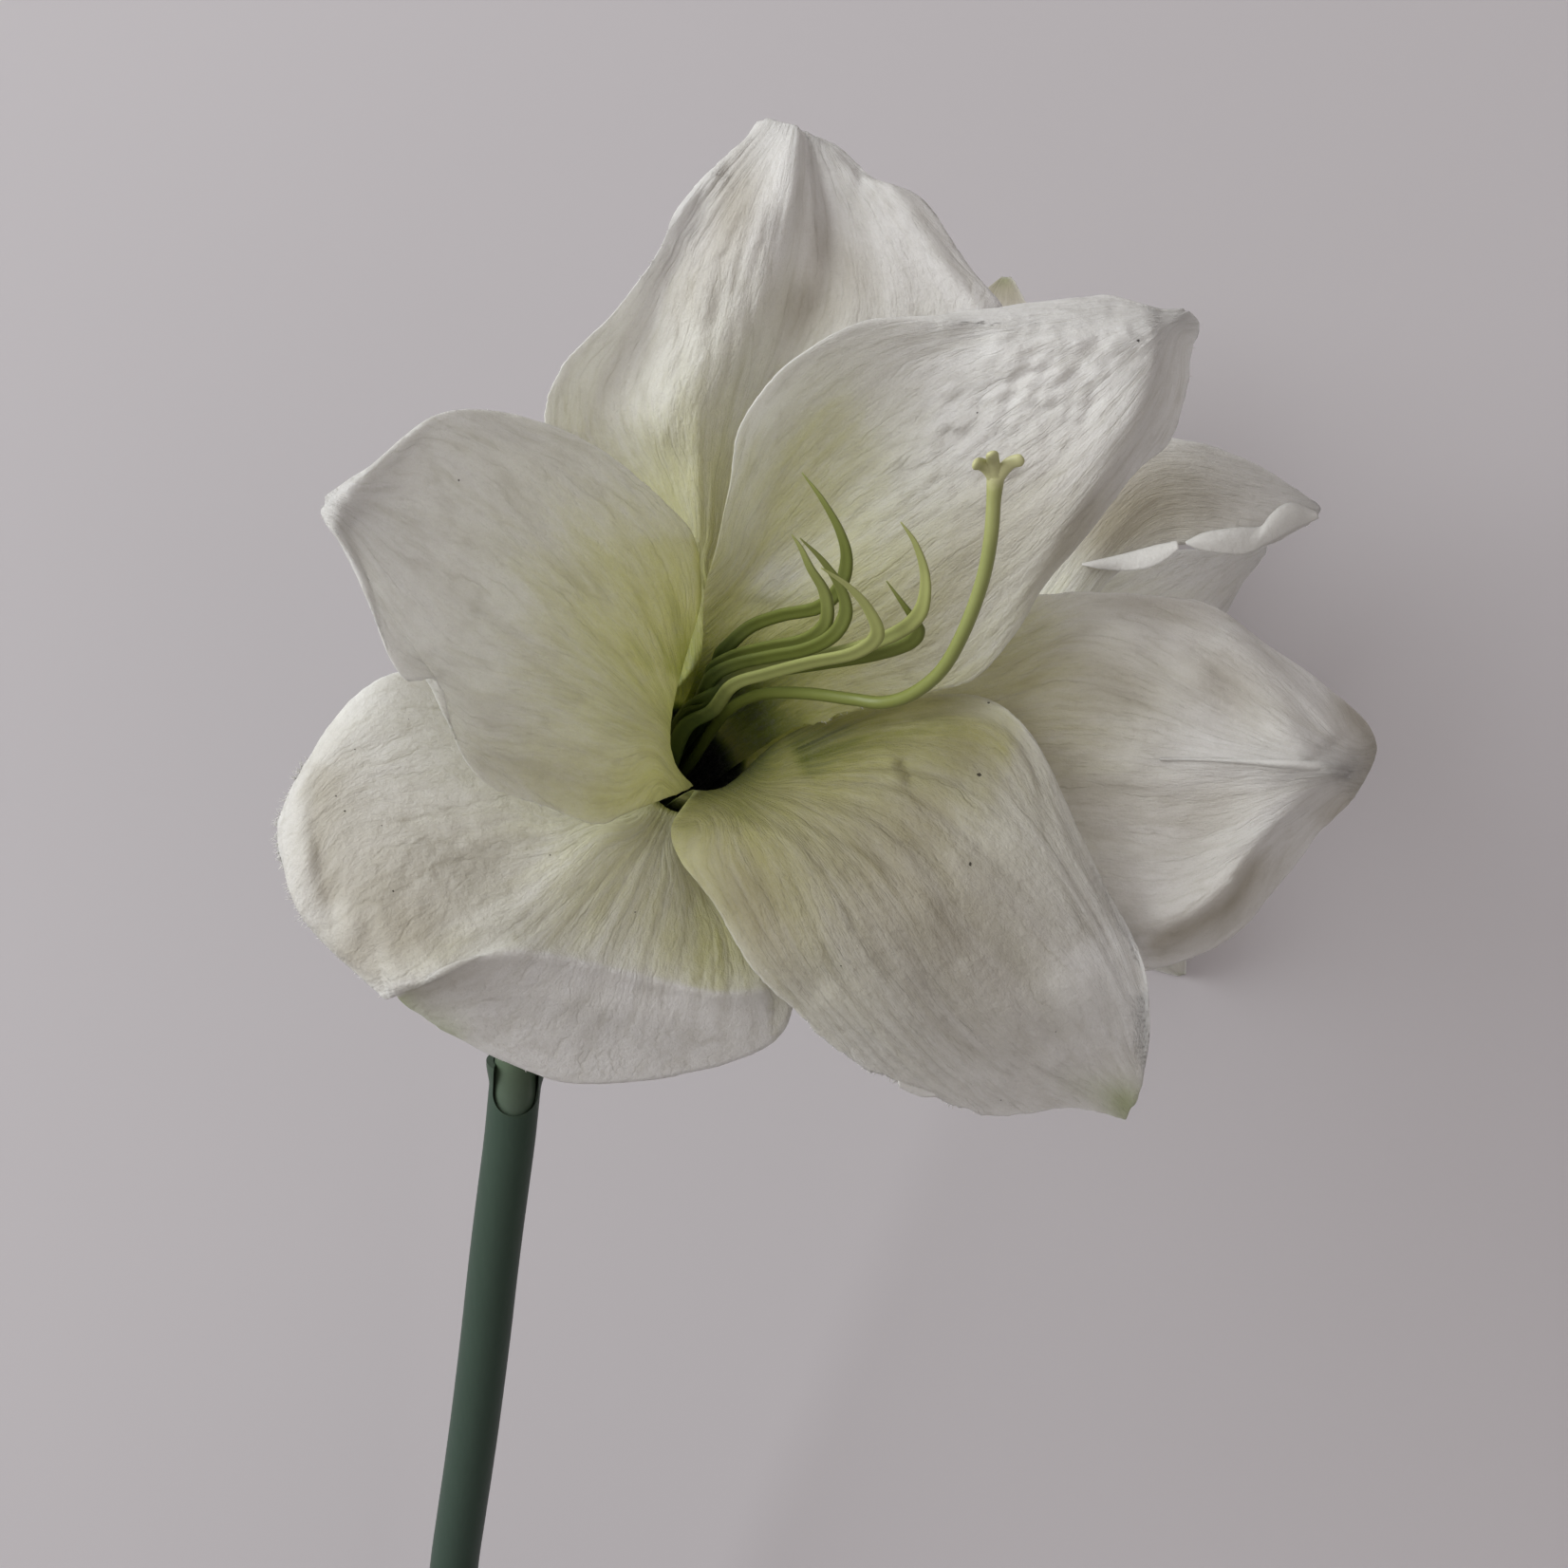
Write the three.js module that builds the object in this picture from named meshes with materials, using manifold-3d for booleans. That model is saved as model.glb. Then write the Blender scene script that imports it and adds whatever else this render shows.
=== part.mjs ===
// Artificial amaryllis stem, two blooms, lying down. Units are mm, +Z is up, origin at the middle of the underside.
import * as THREE from 'three';
import Module from 'manifold-3d';

// ---- driving dimensions -------------------------------------------------
const PETAL_THICKNESS = 0.9;
const STEM_RADIUS = 6.4;
const COLLAR_RADIUS = 7.5;
const SOCKET_RADIUS = 5.75;
const SOCKET_DEPTH = 26;
const PLUG_RADIUS = 5.4;
const STALK_RADIUS = 4.2;
const CALYX_SOCKET_RADIUS = 4.55;
const FILAMENT_HALF_WIDTH = 1.1;
const FILAMENT_HALF_THICKNESS = 0.62;
const STYLE_RADIUS = 1.15;
const LOBE_RADIUS = 1.2;

// mouth centre and axis of each bloom, and the fork point of the two flower stalks
const FRONT_MOUTH = [-19.99,191.87,229.77];
const FRONT_AXIS = [0.40000,0.42000,0.81500];
const BACK_MOUTH = [27.81,193.59,56.86];
const BACK_AXIS = [0.66000,0.50000,-0.56000];
const FORK = [-69.9,119.56,139.77];
// centre line of the stem, top to cut end
const STEM_LINE = [[-72.66,111.54,137.34],[-73.21,106.15,135.71],[-73.87,101.22,134.22],[-75.2,91.29,131.21],[-77.24,78.71,127.4],[-79.31,65.95,123.53],[-81.28,53.01,119.61],[-83.16,39.89,115.63],[-85.2,26.57,111.6],[-87.38,13.05,107.5],[-89.73,-0.66,103.35],[-92.23,-14.58,99.13],[-94.65,-28.7,94.85],[-98.7,-58.7,85.76],[-102.75,-88.7,76.67],[-106.8,-118.7,67.58],[-110.85,-148.7,58.49],[-114.9,-178.7,49.4],[-118.95,-208.7,40.31],[-123,-238.7,31.22],[-127.05,-268.7,22.13],[-131.1,-298.7,13.04],[-134.16,-321.38,6.17]];
// petal form grids: rows run from base to tip, columns from one margin to the other
const PETALS = {
front_petal_top: [
  [[-46.37,180.41,199.52],[-45.36,182.37,198.02],[-43.88,183.96,196.47],[-42,185.1,194.96],[-39.83,185.74,193.56],[-37.46,185.84,192.35],[-35.02,185.41,191.37],[-32.62,184.45,190.69]],
  [[-40.3,188.56,214.44],[-39.18,190.72,212.77],[-37.54,192.49,211.06],[-35.46,193.75,209.38],[-33.04,194.46,207.83],[-30.42,194.58,206.48],[-27.71,194.1,205.4],[-25.05,193.04,204.64]],
  [[-31.6,204.04,219.77],[-29.17,204.97,220.77],[-26.73,205.48,222.27],[-24.87,205.95,224.27],[-23.09,206.32,224.77],[-20.54,206.32,224.77],[-18.01,205.79,223.77],[-14.69,204.86,222.77]],
  [[-38.95,221.72,227.77],[-35.08,222.94,227.27],[-31.21,223.77,226.77],[-27.24,224.01,228.27],[-22.9,224.25,229.77],[-18.5,224.06,227.77],[-13.64,222.99,226.77],[-6.81,221.14,227.77]],
  [[-49.94,237.74,234.77],[-44.36,238.97,232.77],[-37.76,240.2,230.77],[-30.82,240.37,233.77],[-23.41,240.33,236.77],[-17.78,240.51,232.77],[-10.68,239.62,230.77],[7.63,233.19,232.77]],
  [[-54.03,251.73,242.77],[-49.44,252.8,239.77],[-41.64,253.52,237.77],[-32.32,253.96,240.77],[-21.86,254.93,242.77],[-12.91,255.98,236.77],[-2.06,254.3,238.77],[23.44,247.34,240.77]],
  [[-50.04,262.43,246.77],[-43.97,263.39,243.77],[-35.47,263.97,241.77],[-27.38,264.59,245.27],[-16.66,266.32,247.77],[-7.37,267.75,240.77],[4.43,265.81,244.77],[34.11,259.26,247.77]],
  [[-39.27,272.98,248.77],[-36.07,273.42,246.77],[-31.68,272.82,245.27],[-22.94,274.84,248.77],[-11.41,277.04,251.27],[-3.42,278.78,243.77],[8.04,277.06,248.77],[36.59,270.7,250.77]],
  [[-30.86,284.42,249.77],[-29.43,285.04,248.77],[-27.44,284.92,247.77],[-18.43,286.76,250.77],[-7.35,288.32,253.27],[-2.14,289.64,246.77],[7.03,288.11,251.27],[29.53,280.36,251.27]],
  [[-27.71,291.82,249.77],[-26.23,291.82,249.77],[-23.85,291.96,249.27],[-15.46,294.42,251.77],[-5.7,295.2,254.27],[-2.16,296.54,248.77],[4.25,295.34,251.77],[20.34,293.77,250.77]],
  [[-21.64,299.33,248.77],[-19.76,299.6,249.77],[-17.35,299.97,249.77],[-11.41,301.38,251.27],[-4.96,301.35,253.27],[-2.53,302.29,248.77],[1.14,301.16,250.77],[11.75,298.4,248.77]],
  [[-15.56,305.67,246.77],[-14.05,305.93,247.77],[-12.37,306.34,248.27],[-8.65,306.78,249.27],[-4.4,306.18,251.27],[-2.72,306.53,248.27],[-0.69,305.48,249.27],[5.31,304.18,246.77]],
  [[-11.87,311.07,243.77],[-10.92,311.13,244.77],[-9.79,311.01,245.77],[-7.55,310.14,246.77],[-4.02,308.79,248.77],[-3.07,308.65,246.77],[-1.94,308.21,245.77],[0.53,307.99,242.77]]
],
front_petal_upper_right: [
  [[-38.74,182.21,192.4],[-36.51,181.99,191.42],[-34.3,181.17,190.75],[-32.28,179.81,190.46],[-30.61,178.02,190.57],[-29.43,175.94,191.06],[-28.81,173.72,191.9]],
  [[-31.05,191.88,208.19],[-28.47,191.62,207.05],[-25.9,190.67,206.28],[-23.57,189.1,205.94],[-21.63,187.02,206.06],[-20.25,184.61,206.63],[-19.54,182.04,207.61]],
  [[-23.83,204.42,230.77],[-21.7,203.26,230.77],[-18.64,202.15,229.77],[-14.78,200.25,228.77],[-11.67,197.14,228.77],[-8.94,193.81,229.77],[-6.23,190.49,230.77]],
  [[-22.61,218.3,237.77],[-17.73,215.69,234.77],[-11.98,211.86,234.77],[-6.81,206.98,236.27],[-3,201.74,237.77],[-0.54,196.76,238.77],[1.34,192.17,239.77]],
  [[-19.88,226.56,245.77],[-12.49,226.65,239.77],[-3.96,222.91,239.27],[2.64,217.05,241.27],[6.95,209.81,242.27],[9.19,202.81,242.77],[11.07,196.6,242.77]],
  [[-17.3,237.33,251.77],[-8.68,238.28,244.77],[1.65,234.73,243.27],[10.97,227.93,245.27],[17.43,219.37,246.77],[20.22,209.12,246.77],[21.29,198.21,244.77]],
  [[-15.69,246.12,257.77],[-5.88,249.46,250.77],[7.14,247.17,247.77],[19.14,239.52,249.27],[27.36,229.15,250.77],[31.09,216.27,250.27],[30.48,200.55,246.77]],
  [[-12.19,252.67,261.77],[-0.41,256.84,255.77],[14.38,255.74,251.77],[28.11,248.21,252.77],[37.09,237.83,254.77],[40.75,223.2,254.77],[38.28,209.17,248.77]],
  [[-4.1,260.75,262.77],[7.69,263.35,258.77],[21.51,262.42,255.27],[35.11,255.84,256.27],[44.88,246.41,258.27],[48.51,232.81,258.27],[45.02,219.65,249.77]],
  [[7.62,267.63,260.77],[18.56,267.7,258.77],[31.37,266.56,257.27],[43.13,261.01,257.77],[51.92,252.49,259.77],[55.53,242.55,259.77],[53.35,230.01,249.77]],
  [[23.27,270.05,256.27],[32.28,269.11,257.27],[42.28,267.83,257.27],[51.3,264.28,257.77],[58.32,257.1,259.27],[61.12,249.95,258.77],[62.54,241.55,246.77]],
  [[41.09,273.43,251.77],[47.28,272.25,253.77],[53.55,270.38,254.77],[58.88,266.88,255.77],[63.07,262.32,255.77],[64.7,257.58,254.77],[70.33,248.69,241.77]],
  [[55.27,275.47,249.27],[58.74,273.83,250.77],[62.35,271.88,251.27],[65.22,269.56,251.77],[66.32,266.98,251.77],[67.41,263.51,249.77],[73.72,259.81,239.77]],
  [[65.89,273.8,246.77],[67.02,273.02,247.77],[68.51,272.27,247.77],[70,271.53,247.77],[71.11,270.63,246.77],[72.41,269.18,244.77],[74.48,267.93,241.77]],
  [[70.92,273.87,244.77],[71.66,273.87,244.77],[72.41,273.68,244.77],[73.16,273.3,244.77],[74.1,272.96,243.77],[75.04,272.43,242.77],[75.8,271.7,241.77]]
],
front_petal_right: [
  [[-27.76,180.36,190.41],[-26.19,177.75,190.99],[-25.29,174.95,191.99],[-25.11,172.16,193.34],[-25.68,169.56,194.96],[-26.95,167.35,196.73],[-28.84,165.66,198.52]],
  [[-19.66,188.5,204.34],[-17.92,185.6,204.98],[-16.92,182.49,206.09],[-16.72,179.4,207.59],[-17.35,176.52,209.38],[-18.76,174.06,211.34],[-20.86,172.19,213.33]],
  [[-12,198.81,216.77],[-10.6,196.59,217.27],[-9.6,194.18,217.77],[-9.01,191.59,217.77],[-9.01,189.01,217.77],[-9.61,186.42,217.27],[-11.01,184.03,216.77]],
  [[11.98,211.3,220.77],[14.24,204.83,223.27],[15.69,197.85,225.77],[16.42,190.97,226.77],[16.08,184.15,225.77],[15,177.29,223.77],[12.97,170.35,220.77]],
  [[30.11,216.19,228.77],[33.05,208.16,232.77],[35.27,198.4,235.77],[36.12,188.82,236.77],[35.84,179.28,235.77],[34.55,168.69,233.27],[32.14,157.84,227.77]],
  [[43.31,218.21,232.27],[46.74,210.26,235.77],[49.16,199.77,239.27],[50.85,187.79,240.77],[50.67,175.87,239.27],[49.54,163.04,236.27],[47.29,149.32,231.27]],
  [[54.81,218.94,232.77],[58.64,211.33,236.77],[62.35,199.75,239.77],[64.86,186.27,241.77],[65.2,172.65,239.77],[62.67,157.39,237.77],[59.93,142.51,230.77]],
  [[67.33,218.36,232.77],[71.24,210.69,237.77],[75.8,199.14,240.77],[78.81,184.93,242.77],[78.26,171.35,240.77],[71.45,153.14,239.77],[73.04,143.23,227.77]],
  [[79.65,216.35,233.77],[83.03,208.15,238.77],[87.05,197.12,243.77],[90.35,183.97,245.77],[87.99,173.66,243.77],[80.52,158.17,241.77],[85.91,149.01,226.77]],
  [[91.62,208.8,231.77],[94.08,201.74,237.77],[97.25,192.46,242.77],[99.32,183.03,245.77],[97.25,177.78,242.77],[89.83,168.86,239.77],[94.92,158.72,225.77]],
  [[103.7,200.21,229.77],[105.2,195.6,233.77],[106.2,189.73,238.77],[104.4,182.86,242.77],[103.09,180.8,239.77],[99.71,176.98,235.77],[104.37,170.63,224.77]],
  [[112.8,193.57,224.77],[113.24,190.97,226.77],[113.2,188.19,229.77],[110.39,183.5,233.77],[109.57,182.17,231.77],[108.81,180.24,228.77],[110.78,176.1,222.77]],
  [[117.07,190.4,217.77],[117.47,188.81,217.77],[117.67,187.21,217.77],[116.8,184.81,218.77],[116,182.82,218.77],[115.01,180.84,218.77],[113.81,178.85,218.77]]
],
front_petal_lower_right: [
  [[-39.68,167.51,200.44],[-37.5,166.58,199.84],[-35.25,166.24,198.92],[-33.13,166.53,197.73],[-31.29,167.41,196.37],[-29.88,168.82,194.95],[-29,170.65,193.58]],
  [[-32.14,174.84,217.51],[-29.61,173.76,216.82],[-27.01,173.37,215.74],[-24.55,173.7,214.37],[-22.42,174.72,212.79],[-20.78,176.36,211.15],[-19.76,178.48,209.55]],
  [[-24.99,178.69,230.77],[-22.25,178.5,231.77],[-18.36,179.27,232.77],[-14.51,181.58,232.77],[-11.04,184.66,232.77],[-8.35,187.76,231.77],[-6.23,189.78,227.77]],
  [[-28.87,171.74,241.77],[-23.58,172.21,246.77],[-15.14,173.37,249.27],[-5.88,176.53,249.77],[0.65,182.09,246.77],[4.56,188.76,239.77],[6.79,194.42,228.77]],
  [[-26.97,165.42,249.77],[-19.6,166.51,254.77],[-8.61,167.52,257.77],[3.19,171.15,257.77],[12.45,177.48,253.77],[17.49,186.77,245.77],[20.15,197.57,232.77]],
  [[-20.12,157.06,255.77],[-12.22,158.54,259.77],[-0.5,160.45,261.77],[12.13,164.9,260.77],[23.16,172.96,257.77],[29.16,183.92,251.27],[32.04,197.66,239.77]],
  [[-13.68,145.99,258.77],[-5,148.76,261.77],[7.55,152.42,262.77],[21.07,157.75,261.77],[32.14,166.64,258.77],[38.48,178.39,253.77],[39.8,192.34,246.77]],
  [[-5.89,137.92,257.77],[3.14,141.38,259.77],[15.76,145.04,260.27],[29.38,151.28,259.27],[40.52,160.21,256.77],[45.87,170.13,253.27],[45.94,182.08,249.77]],
  [[3.28,129.27,253.77],[12.36,133.34,255.77],[24.21,137.72,255.77],[37.09,143.65,254.77],[47.41,151.75,252.77],[51.8,160.82,250.27],[51.63,169.65,248.77]],
  [[16.44,120.91,247.77],[23.77,125.57,249.27],[33.91,130.81,249.77],[45.08,136.68,249.27],[53.63,143.97,247.77],[57.28,151.27,245.77],[56.72,159.68,245.77]],
  [[33.93,114.1,239.77],[38.51,119.81,241.27],[45,125.6,242.27],[53.1,131.25,242.27],[59.85,137.75,241.27],[62.76,144.31,240.77],[61.95,151.03,242.27]],
  [[49.93,114.45,233.27],[52.04,118.32,234.77],[55.35,122.29,235.77],[59.97,126.81,236.77],[63.79,131.58,236.77],[65.61,135.83,237.27],[65.85,141.34,239.27]],
  [[59.26,112.61,228.77],[60.08,114.7,229.77],[61.4,117.44,231.27],[63.09,119.96,232.77],[64.94,122.53,233.27],[66.11,125.54,234.27],[66.93,129.61,236.27]],
  [[63.82,110.98,225.77],[64.05,112.11,226.77],[64.47,113.43,227.77],[64.9,114.17,228.77],[65.4,115.21,229.27],[65.9,116.84,229.77],[66.23,119.37,231.27]]
],
front_petal_lower_left: [
  [[-46.62,174.82,202.53],[-45.62,172.03,203.48],[-43.97,169.45,204],[-41.77,167.26,204.05],[-39.18,165.59,203.64],[-36.37,164.57,202.78],[-33.54,164.27,201.55]],
  [[-40.58,182.35,217.78],[-39.48,179.26,218.83],[-37.64,176.4,219.41],[-35.2,173.96,219.46],[-32.33,172.12,219],[-29.22,170.99,218.06],[-26.07,170.65,216.69]],
  [[-37.07,181.21,226.77],[-34.72,178.09,226.77],[-32.38,175.94,226.77],[-30.04,174.38,226.77],[-26.92,173.41,226.77],[-23.4,173.02,226.77],[-20.12,173,225.77]],
  [[-48.49,187.02,229.77],[-45.81,179.27,233.77],[-42.02,173.95,237.77],[-39.02,172.08,239.77],[-34.41,166.91,237.77],[-27.94,162.94,233.77],[-17.52,160.76,227.77]],
  [[-62.96,195.46,237.77],[-59.61,184,241.77],[-53.57,173.68,245.27],[-46.46,165.33,247.27],[-38.64,156.82,244.77],[-26.75,149.85,238.77],[-9.7,146.54,232.77]],
  [[-73.6,200.93,242.77],[-72.81,187.67,247.77],[-66.8,173.77,250.77],[-55.55,156.86,252.27],[-46.5,147.92,250.77],[-30.21,139.59,244.77],[-4.89,135.09,233.77]],
  [[-83.22,201.85,246.77],[-84.16,188.52,251.77],[-79.86,172.01,255.27],[-64.96,151.14,257.27],[-55.93,147.47,256.77],[-38.38,135.65,248.27],[-11.61,125.86,233.77]],
  [[-91.78,195.66,247.77],[-93.5,184.81,253.77],[-89.86,168.41,257.27],[-71.76,145.94,260.27],[-66.42,146.08,259.77],[-52.14,135.81,249.77],[-30.71,120.95,235.77]],
  [[-98.85,186.74,247.77],[-99.74,177.48,253.77],[-95.65,162.09,258.27],[-77,143.14,261.27],[-74.46,143.05,260.27],[-66.8,136.47,250.77],[-49.44,120.36,239.77]],
  [[-103.17,179.3,246.77],[-103.61,170.08,251.27],[-99.18,156.54,256.27],[-80.78,141.43,260.27],[-79.15,141.88,259.27],[-75.87,137.31,251.77],[-64.06,126.17,243.77]],
  [[-106.85,172.16,243.77],[-105.17,165.35,247.77],[-98.67,152.66,252.77],[-83.95,139.74,257.77],[-82.32,140.73,256.77],[-80.46,136.92,249.77],[-74.57,131.8,243.77]]
],
front_petal_upper_left: [
  [[-42.08,181.19,194.56],[-43.56,179.84,195.98],[-44.51,178.06,197.37],[-44.86,175.98,198.61],[-44.58,173.76,199.62],[-43.71,171.58,200.31],[-42.29,169.61,200.64]],
  [[-34.93,190.7,210.7],[-36.63,189.14,212.34],[-37.73,187.07,213.95],[-38.14,184.66,215.39],[-37.82,182.09,216.56],[-36.81,179.56,217.36],[-35.17,177.27,217.74]],
  [[-24.56,213.05,231.77],[-26.55,206.11,234.77],[-28.37,199.31,236.77],[-29.46,192.61,237.77],[-29.46,186.9,237.77],[-28.03,182.72,235.77],[-25.38,179.66,230.77]],
  [[-23.64,223.26,235.77],[-28.12,217.95,241.77],[-32.96,210.12,245.77],[-36,201.61,247.77],[-36,192.32,247.77],[-33.21,183.98,244.77],[-29.08,177.76,237.77]],
  [[-25.37,230.63,239.77],[-33.76,225.79,247.77],[-40.71,216.89,253.77],[-45.01,206.61,256.77],[-45.56,194.78,256.77],[-41.8,182.07,251.77],[-35.52,175.16,243.77]],
  [[-32.08,237.35,244.77],[-42.54,233.38,253.77],[-50.84,223.37,261.77],[-55.75,211.37,265.77],[-56.76,197.17,264.77],[-52.07,182.03,258.77],[-43.26,172.27,249.77]],
  [[-40.96,244.29,250.77],[-51.85,239.7,260.77],[-60.42,228.57,270.77],[-64.95,214.94,275.77],[-66.12,199.41,273.77],[-61.84,185.55,266.77],[-52.36,175.87,257.77]],
  [[-52.18,249.03,257.77],[-60.82,243.1,267.77],[-68.81,231.04,278.77],[-73.12,217.63,283.77],[-72.61,203.29,281.77],[-67.71,192.4,274.77],[-61.62,179.51,265.77]],
  [[-61.98,250.18,265.77],[-68.58,244.62,274.77],[-74.47,232.67,285.77],[-77.95,221.23,289.77],[-76.3,209.67,287.77],[-71.59,201.53,282.77],[-66.99,187.55,273.77]],
  [[-70.32,247.58,274.77],[-74.82,240.93,283.77],[-78.9,231.84,291.77],[-81.14,224,294.77],[-79.38,215.92,292.77],[-75.11,207.91,288.77],[-68.51,198.17,281.77]],
  [[-77.37,239.57,283.77],[-79.76,235.32,290.77],[-82.09,230.14,295.77],[-83.33,225.61,297.77],[-81.89,220.47,296.77],[-79.18,213.34,293.77],[-74.28,198.89,287.77]],
  [[-82.13,234.13,289.77],[-83.49,231.57,293.77],[-84.52,228.69,296.77],[-85.13,226.1,297.77],[-84.31,223.64,297.77],[-82.59,220.58,295.77],[-77.57,207.69,291.77]],
  [[-86.19,230.54,292.77],[-86.43,229.28,294.77],[-86.71,227.83,295.77],[-86.71,227.01,295.77],[-86.05,225.69,295.77],[-84.9,224.54,295.77],[-79.68,216.82,293.77]]
],
back_petal_right: [
  [[10.32,168.9,85.6],[9.43,172.77,88.01],[7.32,176.76,89.09],[4.31,180.27,88.67],[0.85,182.76,86.82]],
  [[23.18,177.39,76.21],[22.2,181.68,78.88],[19.85,186.11,80.07],[16.51,190,79.61],[12.68,192.77,77.56]],
  [[33.7,184.39,68.08],[32.68,189.03,71.02],[30.16,193.83,72.33],[26.52,198.04,71.81],[22.36,200.98,69.53]],
  [[35.42,212.83,69.77],[39.23,209.55,71.77],[42.84,205.3,72.77],[45.03,200.86,71.77],[46.26,196.17,69.77]],
  [[51.62,236.2,79.77],[57.9,228.23,81.77],[61.67,221.69,82.77],[64.38,215.28,81.77],[65.92,208.9,79.77]],
  [[68.78,255.95,87.77],[73.77,248.14,88.77],[76.7,241.64,89.77],[78.53,236.72,87.77],[79.33,232.54,85.77]],
  [[85.61,270.75,94.77],[88.65,263.15,94.77],[90.85,255.68,93.77],[92.2,248.81,91.77],[92.8,242.91,89.77]],
  [[100.44,271.44,96.77],[102.4,265.03,95.77],[104.55,257.71,93.77],[106.47,250.85,91.77],[107.37,244.7,89.77]],
  [[116.44,267.25,92.77],[117.93,261.8,91.77],[119.64,255.69,89.77],[121.61,249.28,87.77],[122.86,244.27,86.77]],
  [[129.51,261.62,85.77],[130.54,258.53,85.77],[131.81,255.31,84.77],[132.82,251.83,83.77],[133.58,249.36,82.77]],
  [[138.71,257.26,79.77],[139.49,256.48,79.77],[140.27,255.44,79.77],[139.75,254.14,79.77],[139.22,252.96,78.77]]
],
back_petal_right_inner: [
  [[3.73,164.97,77.89],[5.66,165.79,80.89],[6.62,167.78,83.81],[6.45,170.6,86.13],[5.18,173.77,87.46]],
  [[17.52,173.76,66.29],[19.75,174.71,69.77],[20.87,177.02,73.15],[20.67,180.3,75.84],[19.2,183.96,77.38]],
  [[32.38,184.07,53.74],[34.93,185.25,57.81],[36.05,188.12,61.68],[35.5,192.1,64.58],[33.39,196.37,65.92]],
  [[41.47,183.89,46.44],[45.42,185.71,52.73],[47.15,190.14,58.72],[46.29,196.29,63.2],[43.04,202.89,65.26]],
  [[62.33,222.93,53.77],[64.81,212.78,55.77],[66.05,201.92,56.77],[64.93,191.15,54.77],[62.23,183.05,49.77]],
  [[82.87,237.91,61.77],[89.56,225.86,61.77],[91.6,213.85,60.77],[90.36,200.57,56.77],[86,189.88,49.77]],
  [[99.58,244.98,65.77],[105.8,233.72,63.77],[107.7,222.44,60.77],[106.21,212.78,55.77],[101.57,203.54,49.77]],
  [[115.01,246.05,65.77],[117.29,239.86,63.77],[118.44,233.18,60.77],[117.37,226.23,56.77],[114.1,219.74,52.77]],
  [[124.76,246.8,63.77],[124.98,243.7,62.77],[124.61,240.69,60.77],[123.42,237.66,58.77],[121.69,234.61,56.77]],
  [[129.48,247.02,61.77],[129.48,245.95,61.77],[129.17,244.98,60.77],[128.59,244.01,59.77],[127.73,243.04,58.77]]
],
back_petal_top: [
  [[3.63,176.04,87.66],[1.96,177.77,87.23],[0.14,179.11,86.28],[-1.69,179.94,84.87],[-3.37,180.2,83.12],[-4.79,179.86,81.15],[-5.83,178.97,79.12]],
  [[17.4,186.59,77.61],[15.46,188.6,77.12],[13.35,190.15,76.02],[11.24,191.11,74.38],[9.28,191.41,72.34],[7.64,191.03,70.06],[6.43,189.99,67.71]],
  [[33.15,196.85,65.85],[29.15,198.74,66.34],[26.16,199.95,65.47],[23.74,200.78,63.84],[21.82,201.29,61.55],[20.46,201.42,58.5],[20.12,200.89,54.1]],
  [[45.89,214.18,69.48],[40.12,216,67.82],[35.01,217.54,65.34],[30.53,218.81,62.06],[26.71,219.8,57.96],[23.53,220.52,53.05],[21,220.97,47.33]],
  [[60.78,237.11,74.81],[52.45,239.28,71],[44.58,241.31,66.65],[37.49,243.12,61.36],[31.35,244.64,54.91],[26,245.92,47.51],[21.09,247.08,39.57]],
  [[69,263.77,75.96],[60.15,265.86,71.7],[51.67,267.88,67],[44.03,269.7,61.31],[37.44,271.28,54.36],[31.7,272.67,46.42],[26.32,273.98,38.04]],
  [[66.05,287.07,79.27],[60.83,288.33,72.76],[55.42,289.62,66.49],[49.58,290.99,60.72],[43.19,292.48,55.6],[36.36,294.04,50.99],[29.33,295.65,46.61]],
  [[63.83,306.45,73.09],[60.5,307.25,68.92],[57.04,308.07,64.91],[53.31,308.94,61.22],[49.21,309.88,57.94],[44.84,310.86,54.99],[40.35,311.87,52.19]],
  [[59.8,317.46,66.75],[58.34,317.8,64.93],[56.84,318.16,63.18],[55.21,318.54,61.57],[53.42,318.95,60.14],[51.51,319.38,58.85],[49.55,319.81,57.63]],
  [[57.15,322.85,62.94],[56.81,322.93,62.52],[56.47,323.02,62.12],[56.09,323.1,61.75],[55.68,323.2,61.42],[55.24,323.3,61.13],[54.79,323.4,60.84]]
],
back_petal_lower_right: [
  [[1.49,164.65,71.39],[3.24,163.81,72.71],[4.92,163.36,74.29],[6.47,163.3,76.06],[7.82,163.64,77.95],[8.92,164.37,79.9],[9.72,165.46,81.82]],
  [[13.38,172.68,60.45],[15.33,171.75,61.91],[17.19,171.24,63.66],[18.91,171.18,65.62],[20.4,171.56,67.72],[21.62,172.37,69.88],[22.51,173.57,72.01]],
  [[26.99,182.37,48.72],[28.47,181.18,50.86],[29.99,180.59,52.92],[31.54,180.51,54.92],[33.11,180.9,56.87],[34.71,181.79,58.75],[36.34,183.28,60.56]],
  [[34.45,178.57,34.71],[36.88,177.17,38.92],[39.48,176.41,42.95],[42.28,176.33,46.76],[45.29,176.99,50.35],[48.5,178.34,53.73],[51.89,180.32,56.92]],
  [[44.61,168.83,12.88],[48.91,167.2,20.6],[53.44,166.15,28.09],[58.38,166.13,35.17],[63.82,167.38,41.77],[69.67,169.65,47.95],[75.76,172.51,53.92]],
  [[62.56,154.58,1.07],[67.1,153.16,5.9],[71.87,152.24,14.53],[77.15,152.41,22.66],[83.1,153.98,30.16],[89.56,156.64,37.18],[96.26,159.79,43.97]],
  [[78.23,135.82,1.07],[83.44,137.92,1.07],[88.52,139.77,6.14],[93.3,141.08,12.82],[97.73,141.69,19.85],[101.86,141.75,27.15],[105.86,141.56,34.57]],
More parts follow.
